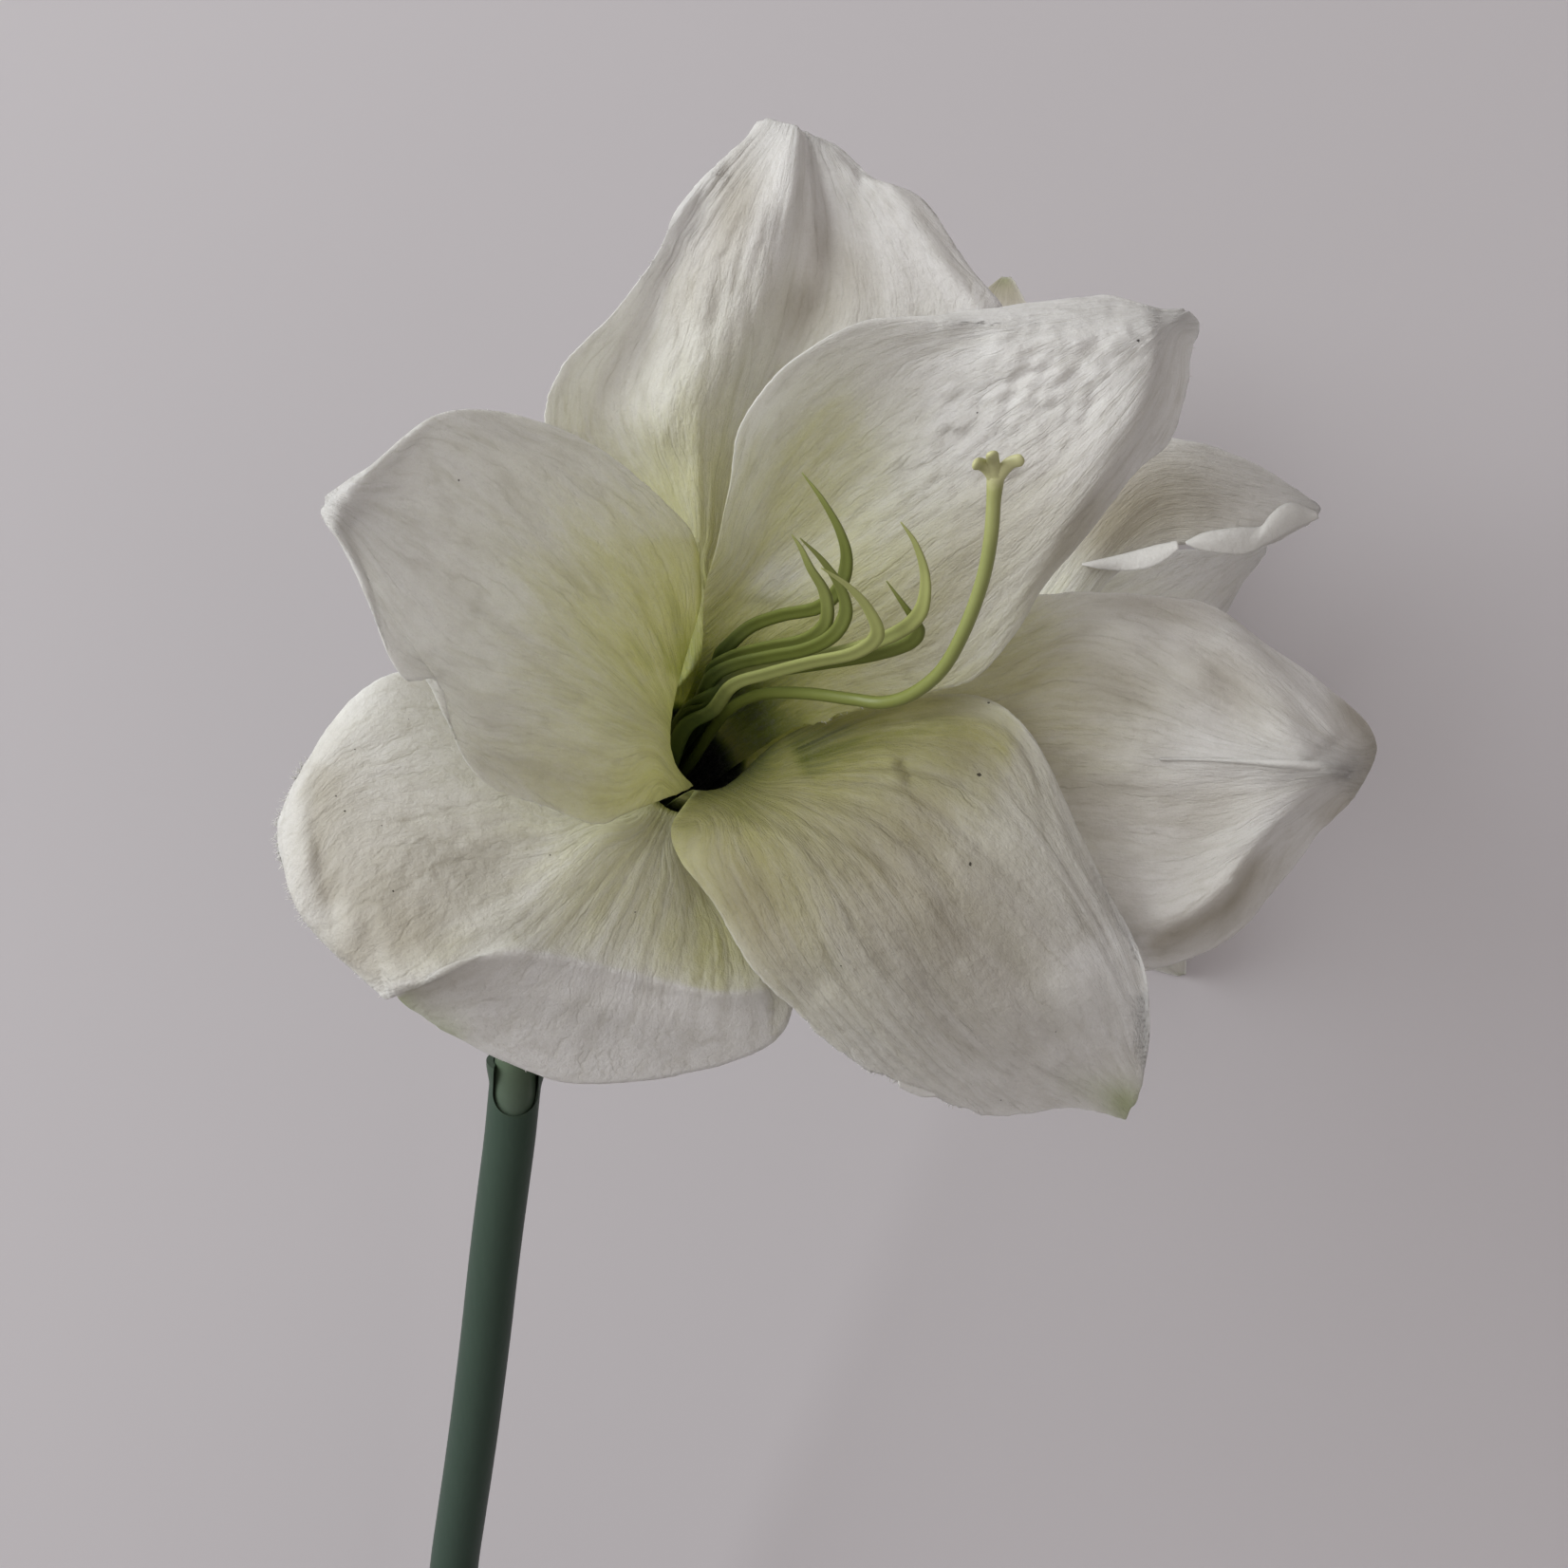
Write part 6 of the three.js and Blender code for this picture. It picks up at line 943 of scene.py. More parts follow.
C_VEINS = [
    (-1.0, [(1080, 650), (1143, 624), (1233, 630), (1307, 657), (1384, 714), (1445, 775)]),
    (-0.62, [(1050, 705), (1130, 672), (1210, 690), (1300, 735), (1370, 775), (1430, 800)]),
    (-0.32, [(1050, 745), (1130, 732), (1210, 745), (1290, 775), (1360, 797), (1420, 808)]),
    (0.0, [(1070, 790), (1150, 790), (1225, 799), (1327, 804), (1417, 812)]),
    (0.3, [(1100, 842), (1170, 845), (1240, 848), (1300, 840), (1360, 828), (1415, 815)]),
    (0.56, [(1130, 892), (1180, 898), (1240, 900), (1290, 890), (1345, 862), (1405, 826)]),
    (0.8, [(1160, 947), (1200, 955), (1250, 945), (1300, 910), (1350, 873), (1410, 832)]),
    (1.0, [(1195, 1012), (1250, 1005), (1310, 975), (1340, 940), (1372, 889), (1430, 836)])]
D_VEINS = [
    (-1.0, [(805, 805), (850, 785), (900, 762), (960, 748), (1030, 745), (1080, 775), (1130, 860), (1180, 960), (1205, 1040)]),
    (-0.66, [(800, 820), (860, 808), (930, 800), (990, 818), (1045, 860), (1100, 920), (1150, 990), (1190, 1060)]),
    (-0.3, [(800, 830), (850, 838), (905, 860), (955, 905), (1005, 970), (1060, 1040), (1120, 1105), (1175, 1155)]),
    (0.05, [(790, 838), (835, 860), (880, 905), (920, 960), (965, 1030), (1010, 1085), (1070, 1135), (1130, 1165)]),
    (0.4, [(780, 845), (815, 880), (850, 930), (885, 1000), (930, 1060), (985, 1120), (1040, 1165)]),
    (0.7, [(765, 855), (785, 900), (815, 960), (845, 1020), (890, 1080), (940, 1130)]),
    (1.0, [(735, 865), (722, 895), (750, 940), (790, 1010), (835, 1060), (880, 1105)])]
E_VEINS = [
    (-1.0, [(600, 830), (480, 740), (400, 720), (357, 755), (320, 805)]),
    (-0.82, [(650, 848), (560, 800), (465, 775), (400, 790), (350, 815), (318, 850)]),
    (-0.62, [(668, 852), (560, 838), (470, 835), (400, 845), (350, 868), (318, 910)]),
    (-0.38, [(680, 850), (600, 880), (520, 900), (450, 915), (390, 945), (345, 990)]),
    (-0.15, [(693, 847), (605, 916), (548, 966), (494, 992), (445, 1031), (408, 1044)]),
    (0.1, [(697, 862), (652, 920), (605, 980), (560, 1040), (515, 1085), (490, 1092)]),
    (0.38, [(702, 872), (682, 930), (655, 1000), (625, 1075), (600, 1138)]),
    (0.62, [(708, 880), (712, 940), (700, 1010), (687, 1080), (672, 1138)]),
    (0.82, [(714, 880), (756, 970), (765, 1030), (757, 1090), (745, 1128)]),
    (1.0, [(722, 882), (790, 990), (812, 1050), (822, 1098)])]
F_VEINS = [
    (-1.0, [(730, 770), (735, 700), (738, 610), (715, 545), (667, 499), (619, 464), (549, 441)]),
    (-0.68, [(722, 770), (715, 700), (692, 620), (650, 560), (590, 500), (530, 460), (480, 438)]),
    (-0.38, [(714, 768), (690, 700), (650, 640), (590, 580), (520, 520), (450, 470), (400, 485)]),
    (-0.1, [(706, 766), (668, 720), (610, 660), (540, 600), (470, 560), (400, 528), (348, 522)]),
    (0.15, [(702, 768), (640, 718), (570, 678), (505, 645), (440, 600), (390, 560), (345, 532)]),
    (0.4, [(698, 775), (620, 737), (550, 712), (480, 690), (430, 650), (385, 600), (350, 548)]),
    (0.62, [(700, 790), (630, 772), (560, 752), (500, 742), (465, 718), (420, 702)]),
    (0.82, [(706, 815), (640, 815), (580, 800), (520, 790), (480, 775)]),
    (1.0, [(710, 838), (660, 862), (600, 868), (540, 845), (490, 805)])]
FRONT = dict(axis=FRONT_AXIS, mouth=FRONT_MOUTH)
BACK = dict(axis=BACK_AXIS, mouth=BACK_MOUTH, bright=1.0)
# the darkening masks in each spec paint the shade that falls on that petal; the pale masks paint its highlights
SPECS = {
    "front_petal_top": dict(FRONT, seed=11, veins=9, vein_mm=1.3, wave=0.3, ripple=0.5, pleat=0.22, guides=A_VEINS, relief=[
        ("line", [(697, 245), (684, 290), (668, 335), (648, 381), (625, 424), (608, 466)], -1.8, 34, 26, (0.3, 0.05)),
        ("line", [(728, 235), (733, 290), (735, 340), (722, 390), (705, 440), (690, 480)], 2.4, 26, 60, (0.25, 0.2)),
        ("line", [(842, 122), (839, 162), (835, 196), (831, 230), (826, 262)], 3.0, 46, 14, (0.0, 0.4)),
        ("line", [(847, 128), (852, 165), (856, 200), (862, 245), (868, 290), (850, 350)], -3.0, 17, 50, (0.35, 0.2)),
        ("line", [(893, 152), (948, 208), (975, 246), (1000, 285), (1035, 330), (1070, 380)], 3.4, 50, 11, (0.0, 0.1)),
        ("line", [(768, 178), (722, 222), (698, 266), (672, 305), (636, 348), (604, 388), (590, 430)], 0.6, 9, 14, (0.05, 0.1)),
        ("line", [(905, 186), (904, 204), (900, 222)], -0.9, 4, 5, (0.0, 0.7)),
        ("bump", 766, 170, 9, 8, 0, -0.8),
        ("bump", 735, 215, 9, 16, 25, -0.9),
        ("line", [(782, 142), (772, 164), (750, 185)], 0.9, 7, 7),
        ("crumple", 760, 215, 40, 60, 20, 0.12, 16, 1.4, 2)],
        wrinkle=[(775, 300, 75, 150, 0, 1.1, 0.085, 14.0, 2), (940, 260, 60, 90, 20, 0.55, 0.09, 12.0, 2),
                 (700, 420, 60, 90, 20, 0.5, 0.10, 10.0, 2), (640, 390, 45, 80, 30, 0.3, 0.12, 10.0, 2)],
        notch=[(913, 189, 9, -1.1)], ragged=[(770, 165, 40, 0.3), (590, 400, 50, 0.3)],
        threads=[(690, 240, 60, 60, 6, 1.2, 0.07)],
        pale=[("bump", 708, 215, 16, 40, 28, 0.8), ("bump", 866, 175, 16, 44, -8, 0.8)],
        paint=[("bump", 700, 510, 45, 90, 20, 0.10)], painted_shade=[("bump", 774, 222, 26, 60, 15, 0.60), ("bump", 855, 325, 46, 40, 0, 0.45), ("bump", 890, 275, 60, 26, 45, 0.30), ("bump", 724, 305, 22, 50, 15, 0.35)]),
    "front_petal_upper_right": dict(FRONT, seed=23, veins=9, vein_mm=0.7, wave=0.3, pleat=0.14, guides=B_VEINS, relief=[
        ("line", [(1246, 318), (1228, 354), (1222, 391), (1199, 452), (1166, 520), (1132, 584), (1098, 640)], 3.0, 62, 24, (0.0, 0.35)),
        ("line", [(800, 520), (822, 470), (850, 425), (885, 392), (935, 372)], 2.0, 34, 60, (0.3, 0.3)),
        ("bump", 880, 612, 50, 36, -30, 2.3),
        ("line", [(800, 640), (812, 585), (835, 530), (880, 470)], 1.4, 40, 26, (0.1, 0.3)),
        ("line", [(985, 378), (1060, 372), (1120, 362), (1180, 352), (1228, 342)], 2.4, 34, 44, (0.3, 0.1)),
        ("crumple", 1062, 432, 150, 78, -38, 1.5, 11.5, 1.3, 1),
        ("bump", 1244, 352, 44, 30, 0, 2.6),
        ("crumple", 1120, 380, 120, 60, -30, 0.45, 22, 1.5, 2),
        ("bump", 1000, 344, 12, 10, 0, 0.9),
        ("bump", 1030, 345, 12, 12, 0, -0.3),
        ("line", [(985, 590), (1040, 520), (1110, 450)], 0.5, 14, 14),
        ("line", [(900, 660), (960, 610), (1030, 560)], 0.35, 12, 12)],
        wrinkle=[(980, 500, 130, 70, -42, 0.55, 0.09, 8.0, 2), (1080, 500, 150, 60, -50, 0.40, 0.10, 12.0, 2), (900, 600, 120, 90, -50, 0.35, 0.10, 12.0, 2),
                 (900, 440, 110, 60, -45, 0.35, 0.11, 12.0, 2), (1050, 640, 80, 80, -50, 0.25, 0.12, 14.0, 2)],
        ragged=[(905, 742, 50, 0.85), (1250, 345, 20, 0.7), (850, 765, 32, 0.6)],
        notch=[(1256, 350, 12, 0.7), (1252, 380, 10, -0.4)],
        threads=[(900, 745, 60, 22, 26, 0.8, 0.06), (1240, 400, 30, 60, 6, 1.0, 0.06)],
        pale=[("bump", 1140, 338, 90, 20, 0, 0.7), ("bump", 1228, 350, 20, 24, 0, 0.5)],
        specks=[(1198, 360, 0.36), (1030, 433, 0.25)], dimple=[("bump", 1065, 430, 130, 66, -38, 1.1), ("bump", 1190, 365, 40, 30, 0, 0.4)],
        paint=[("bump", 800, 570, 40, 60, 10, -0.14), ("bump", 832, 605, 46, 28, -40, -0.16), ("bump", 805, 435, 40, 30, -50, -0.04), ("line", [(796, 610), (806, 560), (822, 510), (850, 460), (890, 424), (940, 405)], 0.13, 18, 56, (0.15, 0.3)),
               ("bump", 1090, 400, 120, 80, -35, -0.2)],
        painted_shade=[("bump", 1030, 575, 150, 60, -45, 0.48), ("bump", 960, 670, 90, 50, -30, 0.25), ("bump", 1135, 560, 60, 26, -55, 0.35)]),
    "front_petal_right": dict(FRONT, seed=37, veins=10, vein_mm=0.8, wave=0.35, pleat=0.20, guides=C_VEINS, relief=[
        ("line", [(1225, 799), (1280, 800), (1340, 804), (1422, 812)], 2.4, 13, 11, (0.45, 0.03)),
        ("line", [(1425, 808), (1402, 826), (1386, 840), (1368, 858), (1339, 882), (1300, 922), (1282, 945), (1258, 961), (1225, 973), (1190, 996)],
         3.2, 56, 18, (0.1, 0.05)),
        ("line", [(1290, 655), (1332, 700), (1378, 745), (1408, 784)], 1.8, 60, 20),
        ("bump", 1262, 716, 40, 26, 35, 2.8),
        ("bump", 1352, 774, 34, 20, 35, 2.4),
        ("bump", 1184, 664, 34, 22, 15, 2.4),
        ("bump", 1308, 730, 46, 22, 42, -1.6),
        ("line", [(1432, 820), (1395, 852), (1356, 886), (1326, 912), (1306, 944), (1272, 968), (1232, 984)], -1.9, 8, 13, (0.1, 0.1)),
        ("bump", 1200, 740, 30, 14, 10, -0.5),
        ("line", [(1296, 925), (1304, 940), (1302, 958)], 1.2, 4, 5),
        ("line", [(1371, 858), (1369, 872), (1376, 884)], 1.2, 4, 5),
        ("crumple", 1250, 720, 130, 60, 25, 0.6, 26, 1.5, 2)],
        wrinkle=[(1200, 800, 110, 160, 0, 0.75, 0.10, 9.0, 2), (1290, 880, 80, 60, -30, 0.55, 0.10, 7.0, 2), (1100, 740, 60, 80, 0, 0.4, 0.10, 9.0, 2)],
        ripple=0.35, ragged=[(1400, 870, 60, 0.25)],
        threads=[(1420, 740, 60, 60, 5, 0.9, 0.06)],
        paint=[("bump", 1070, 680, 60, 50, -45, 0.14), ("bump", 1110, 760, 80, 60, 0, 0.04)],
        flap=[([(1222, 799.5), (1270, 799.4), (1325, 800), (1380, 802), (1420, 808)], [(1222, 800), (1270, 801.4), (1325, 806), (1380, 813), (1423, 820)], -0.05, 0.0, 0.8)],
        painted_shade=[("bump", 1105, 765, 90, 80, 0, 0.60), ("bump", 1190, 720, 60, 40, 20, 0.35), ("bump", 1296, 722, 70, 36, 42, 0.50), ("bump", 1278, 850, 50, 30, -20, 0.28), ("bump", 1225, 640, 60, 22, 10, 0.35),
              ("bump", 1200, 850, 70, 40, 0, 0.25), ("bump", 1260, 920, 70, 50, -30, 0.2),
              ("line", [(1390, 722), (1424, 752), (1446, 785), (1440, 826), (1410, 860), (1380, 886)], 0.60, 16, 14, (0.2, 0.2)),
              ("line", [(1340, 888), (1316, 920), (1300, 946), (1270, 968), (1235, 984), (1200, 1000)], 0.60, 9, 15, (0.2, 0.12))]),
    "front_petal_lower_right": dict(FRONT, seed=41, veins=10, vein_mm=1.8, vein_col=1.6, wave=0.3, ripple=0.4, pleat=0.20, guides=D_VEINS, relief=[
        ("line", [(1126, 866), (1168, 930), (1200, 996), (1213, 1052), (1213, 1125)], 7.5, 60, 44, (0.6, 0.3)),
        ("line", [(1066, 715), (1100, 800), (1145, 890), (1180, 960)], 1.5, 46, 60, (0.4, 0.4)),
        ("line", [(745, 858), (791, 869), (826, 884), (850, 910), (869, 950)], 1.7, 9, 34, (0.3, 0.6)),
        ("line", [(944, 800), (955, 814), (962, 838)], -1.9, 4, 7, (0.2, 0.3)),
        ("line", [(930, 776), (940, 806), (950, 830)], 1.2, 10, 6, (0.3, 0.3)),
        ("line", [(950, 800), (1000, 870), (1050, 940), (1080, 990)], -0.6, 30, 34, (0.6, 0.6)),
        ("line", [(1010, 1010), (1050, 1050), (1095, 1090), (1120, 1130)], 0.5, 10, 14),
        ("line", [(860, 1040), (930, 1090), (1000, 1130), (1075, 1140)], 0.8, 24, 18),
        ],
        wrinkle=[(960, 950, 170, 130, 50, 0.60, 0.085, 14.0, 2), (1100, 1030, 110, 60, 50, 0.45, 0.08, 12.0, 2), (930, 800, 140, 45, -10, 0.35, 0.12, 9.0, 2)],
        ragged=[(965, 1150, 60, 0.6), (860, 1090, 60, 0.4), (1060, 1172, 50, 0.3)],
        threads=[(960, 1150, 75, 30, 80, 1.1, 0.07), (880, 1105, 60, 40, 40, 0.9, 0.06), (1060, 1172, 60, 14, 14, 0.7, 0.06)],
        flap=[([(946, 1139), (958, 1143), (970, 1147), (984, 1152)], [(948, 1145), (960, 1151), (972, 1155), (986, 1155)], 0.5, 0.7, 0.5)],
        pale=[("line", [(1134, 985), (1170, 1045), (1194, 1112)], 0.95, 28, 60, (0.3, 0.25))],
        specks=[(1030, 815, 0.55), (1022, 912, 0.45), (1040, 742, 0.35), (1110, 1086, 0.2), (887, 1018, 0.22), (1052, 1158, 0.22)],
        paint=[("line", [(830, 800), (900, 775), (980, 762), (1075, 800)], 0.22, 26, 34), ("line", [(765, 850), (800, 900), (830, 980)], 0.04, 26, 24),
               ("bump", 980, 1010, 150, 120, 50, -0.08)],
        green=[("bump", 1188, 1166, 20, 26, -30, 0.62), ("bump", 1160, 1150, 40, 16, 20, 0.20)],
        painted_shade=[("bump", 930, 920, 200, 115, 40, 0.84), ("bump", 790, 965, 50, 110, -30, 0.75), ("bump", 972, 852, 40, 36, 30, 0.35), ("line", [(1132, 985), (1168, 1045), (1192, 1105)], -0.6, 30, 60, (0.35, 0.25)), ("bump", 1036, 788, 70, 50, 30, 0.60)]),
    "front_petal_lower_left": dict(FRONT, seed=53, veins=12, vein_mm=1.1, vein_col=1.5, wave=0.25, ripple=0.5, pleat=0.06, tint_scale=0.50, guides=E_VEINS, relief=[
        ("line", [(700, 843), (650, 880), (605, 916), (548, 966), (494, 992), (440, 1033)], 1.7, 40, 28, (0.10, 0.08)),
        ("line", [(405, 1042), (442, 1034), (482, 1018), (519, 1008), (555, 1005), (600, 1012), (663, 1027), (709, 1038), (760, 1048), (815, 1044)],
         3.0, 44, 10, (0.03, 0.02)),
        ("line", [(345, 790), (330, 850), (336, 900), (342, 940), (362, 1000)], -1.6, 16, 20, (0.2, 0.1)),
        ("bump", 368, 975, 13, 15, 0, 1.3),
        ("bump", 352, 945, 9, 14, 0, -0.9),
        ("bump", 385, 1000, 10, 12, 0, -0.6),
        ("bump", 325, 905, 10, 22, 0, 0.9),
        ("crumple", 450, 905, 90, 75, -15, 0.42, 12, 1.5, 1),
        ("bump", 714, 908, 44, 34, -40, 2.8),
        ("crumple", 590, 1075, 130, 40, 5, 0.7, 30, 1.3, 2)],
        dimple=[("bump", 450, 920, 70, 46, -10, 0.6)], wrinkle=[(400, 820, 80, 60, 0, 0.28, 0.06, 14.0, 2), (540, 920, 90, 60, -20, 0.20, 0.09, 12.0, 2), (680, 980, 90, 60, 70, 0.10, 0.09, 14.0, 2),
                 (700, 1085, 120, 40, 0, 0.25, 0.06, 12.0, 1)],
        ragged=[(303, 860, 80, 0.8), (335, 990, 60, 0.7), (540, 1120, 30, 0.3), (400, 1045, 20, 0.6)],
        fringe=[(280, 800, 330, 975, 110, 1.7, 0.075), (280, 980, 400, 1052, 26, 0.9, 0.07)],
        threads=[(300, 850, 26, 66, 40, 1.9, 0.08), (308, 935, 26, 60, 46, 1.4, 0.07), (345, 1010, 44, 50, 30, 1.0, 0.07),
                 (560, 1122, 50, 14, 14, 0.6, 0.06), (400, 1046, 16, 14, 8, 0.8, 0.07)],
        specks=[(373, 789, 0.22), (355, 838, 0.26), (363, 854, 0.26), (413, 937, 0.24), (430, 758, 0.2), (400, 868, 0.2), (579, 900, 0.2), (670, 961, 0.22)],
        paint=[("line", [(712, 840), (660, 865), (610, 900), (560, 950)], 0.06, 22, 34, (0.0, 0.5)),
               ("bump", 745, 1000, 60, 60, 40, 0.16), ("line", [(405, 1044), (442, 1036), (482, 1020), (519, 1010), (555, 1007), (600, 1014), (663, 1029), (709, 1040), (760, 1050), (815, 1046)], -0.6, 2, 110, (0.02, 0.02)),
               ("bump", 620, 960, 120, 50, -10, 0.06),
               ("bump", 460, 1010, 60, 20, -20, 0.07)],
        painted_shade=[("bump", 385, 925, 75, 80, 0, 0.42), ("bump", 352, 830, 26, 50, 10, 0.30), ("line", [(345, 800), (333, 850), (336, 900), (350, 960)], 0.3, 12, 18), ("bump", 430, 990, 60, 40, 0, 0.55), ("bump", 500, 910, 80, 60, -20, 0.30), ("bump", 372, 1010, 30, 20, 30, 0.3)],
        green=[("line", [(415, 1050), (436, 1078), (465, 1092), (500, 1104)], 0.75, 12, 14, (0.05, 0.3))]),
    "front_petal_upper_left": dict(FRONT, seed=67, veins=10, vein_mm=0.8, wave=0.3, ripple=0.5, pleat=0.12, tint_scale=0.74, guides=F_VEINS, relief=[
        ("line", [(478, 628), (506, 647), (530, 666), (548, 676)], -0.8, 4, 6, (0.2, 0.3)),
        ("line", [(470, 600), (520, 640), (570, 680), (640, 715), (690, 760)], 0.9, 18, 14, (0.2, 0.1)),
        ("line", [(345, 500), (362, 515), (395, 551), (449, 572), (500, 600)], 0.8, 8, 9, (0.1, 0.3)),
        ("line", [(360, 545), (395, 600), (410, 660), (440, 700)], -0.7, 12, 14),
        ("line", [(520, 724), (560, 752), (620, 776), (670, 790), (726, 826)], 1.6, 30, 24, (0.2, 0.05)),
        ("line", [(560, 690), (610, 712), (660, 727), (694, 755), (704, 795)], 1.2, 24, 11, (0.3, 0.05)),
        ("line", [(430, 690), (445, 705), (462, 716)], -0.8, 8, 8),
        ("crumple", 430, 480, 90, 40, -10, 0.55, 18, 1.3, 2),
        ("crumple", 500, 530, 50, 60, 60, 0.7, 16, 1.8, 2),
        ("crumple", 430, 640, 60, 60, 50, 0.65, 14, 2.4, 2)],
        wrinkle=[(560, 600, 130, 100, 40, 0.60, 0.09, 12.0, 2), (440, 560, 90, 70, 30, 0.55, 0.09, 8.0, 2), (560, 740, 120, 60, 15, 0.45, 0.08, 12.0, 2),
                 (600, 810, 100, 40, -10, 0.35, 0.07, 9.0, 2)],
        ragged=[(390, 620, 80, 0.3), (720, 835, 22, 0.5), (560, 845, 70, 0.18)],
        dimple=[("bump", 420, 520, 60, 50, 0, 0.5), ("bump", 430, 650, 50, 60, 0, 0.5)],
        threads=[(345, 530, 26, 30, 6, 0.8, 0.06), (385, 620, 40, 60, 12, 0.8, 0.06), (580, 855, 60, 20, 8, 0.6, 0.06), (470, 440, 60, 14, 8, 0.5, 0.05)],
        pale=[("bump", 450, 660, 34, 50, -35, 0.55)],
        specks=[(484, 507, 0.24)],
        painted_shade=[("bump", 560, 815, 90, 30, 10, 0.26)],
        paint=[("line", [(735, 560), (735, 640), (715, 720)], 0.12, 40, 30), ("bump", 640, 610, 70, 60, 40, 0.07), ("bump", 650, 836, 60, 20, -20, 0.05),
               ("bump", 610, 720, 70, 26, 25, 0.05)]),
    "back_petal_right": dict(BACK, seed=71, veins=6, wave=0.4, vein_mm=0.6, painted_shade=[("bump", 1220, 525, 90, 60, 20, 0.80), ("bump", 1168, 566, 46, 24, -50, 0.35), ("bump", 1150, 560, 60, 40, 0, 0.4)], relief=[
        ("line", [(1240, 574), (1300, 560), (1345, 536), (1392, 530)], 1.2, 14, 10)],
        threads=[(1380, 530, 30, 24, 10, 0.9, 0.07)],
        flap=[([(1249, 571), (1270, 561), (1304, 556), (1327, 555), (1338, 543), (1351, 532), (1366, 530), (1388, 540)],
               [(1250, 573), (1266, 580), (1300, 585), (1317, 583), (1332, 575), (1350, 566), (1366, 557), (1389, 546)], 0.9, 2.4, 1.2),
              ([(1140, 594), (1166, 588), (1190, 582), (1216, 575), (1240, 570)],
               [(1140, 595), (1164, 600), (1196, 601), (1222, 594), (1242, 578)], 0.9, 2.0, 0.8)]),
    "back_petal_right_inner": dict(BACK, seed=73, veins=6, wave=0.4, pleat=0.3),
    "back_petal_top": dict(BACK, seed=79, veins=7, tipgreen=[(1.0, 0, 0.08, 0.9, 0.45)], painted_shade=[("bump", 1060, 300, 60, 50, 0, 1.0)], ragged=[(1060, 300, 40, 0.4)]),
    "back_petal_left": dict(BACK, seed=83, veins=7, pleat=0.2),
    "back_petal_under": dict(BACK, seed=89, veins=7, pleat=0.2),
    "back_petal_lower_right": dict(BACK, seed=97, veins=7, pleat=0.2, tipgreen=[(1.0, 0, 0.04, 0.9, 0.3)], painted_shade=[("bump", 1245, 1015, 40, 30, 0, 0.5)]),
}


for nm, grid in PETALS.items():
    front = nm.startswith("front")
    make_petal(nm + "_cloth", nm, grid, SPECS[nm], 190 if front else 100, 118 if front else 60)


# ---------------------------------------------------------------- stamens and styles
def filament(t):
    a = 0.92 + 0.30 * math.exp(-((t - 0.14) / 0.12) ** 2) + 0.08 * min(1, t / 0.5)
    b = 1 if t < 0.72 else max(0.06, (1 - (t - 0.72) / 0.29)) ** 0.75
    return (1.42 * a * b, 0.70 * max(b, 0.12))


for i, l in enumerate(FRONT_STAMENS):
    ob = sweep("front_stamen_%d_form" % (i + 1), l, filament, 20, 110, groove=0.45)
    # painted light: the lit and shaded copies of the filament plastic go to the stamens that take more light and more
    # shade
    ob.data.materials.append({0: FIL_SHADED, 1: FIL_MAT, 2: FIL_SHADED, 3: FIL_LIT, 4: FIL_SHADED, 5: FIL_LIT}[i])
    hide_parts("front_stamen_%d" % (i + 1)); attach(ob, "root")
for i, l in enumerate(BACK_STAMENS):
    ob = sweep("back_stamen_%d_form" % (i + 1), l, filament, 14, 60, groove=0.45)
    ob.data.materials.append(FIL_MAT)
    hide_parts("back_stamen_%d" % (i + 1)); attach(ob, "root")


def make_style(name, node, line, lobes):
    ob = sweep(name, line, lambda t: (1.15 * (1 + 0.12 * t + 0.25 * max(0, t - 0.93) / 0.07),) * 2, 24, 150)
    for l in lobes:
        lob = sweep("lobe", l, lambda t: (1.25 * (1 - 0.15 * t + 0.25 * max(0, t - 0.7)) * math.sqrt(max(0.05, 1 - max(0, (t - 0.86) / 0.14) ** 2)),
                                          1.05 * (1 - 0.35 * t) * math.sqrt(max(0.05, 1 - max(0, (t - 0.86) / 0.14) ** 2))), 20, 30)
        boolean(ob, lob, "UNION")
    # place along the style again, for every point of the joined piece
    L = through(np.asarray(line, float), np.linspace(0, len(line) - 1, 400))
    co_ = np.empty(len(ob.data.vertices) * 3)
    ob.data.vertices.foreach_get("co", co_)
    co_ = co_.reshape(-1, 3) / MM
    d2 = ((co_[:, None] - L[None]) ** 2).sum(-1)
    k = np.argmin(d2, axis=1)
    far = np.sqrt(d2[np.arange(len(k)), k]) > 1.7
    val = np.where(far, 1.0, k / 399.0)
    if "pu" in ob.data.attributes:
        ob.data.attributes.remove(ob.data.attributes["pu"])
    at = ob.data.attributes.new("pu", "FLOAT", "POINT")
    at.data.foreach_set("value", val.astype(np.float32))
    for p in ob.data.polygons:
        p.use_smooth = True
    ob.data.materials.clear()
    ob.data.materials.append(STYLE_MAT)
    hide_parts(node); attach(ob, "root")
    return ob


make_style("front_style_form", "front_style", FRONT_STYLE, FRONT_LOBES)
make_style("back_style_form", "back_style", BACK_STYLE, BACK_LOBES)

# ---------------------------------------------------------------- stem, fork and calyx tubes
top = np.array(STEM_LINE[0]); down = unit(np.array(STEM_LINE[2]) - top); up = -down
LEN = 455.0


def stem_size(t):
    k = max(0.0, 1 - t * LEN / 26)
    r = 6.4 + 1.1 * (k * k * (3 - 2 * k))
    return (r, r)


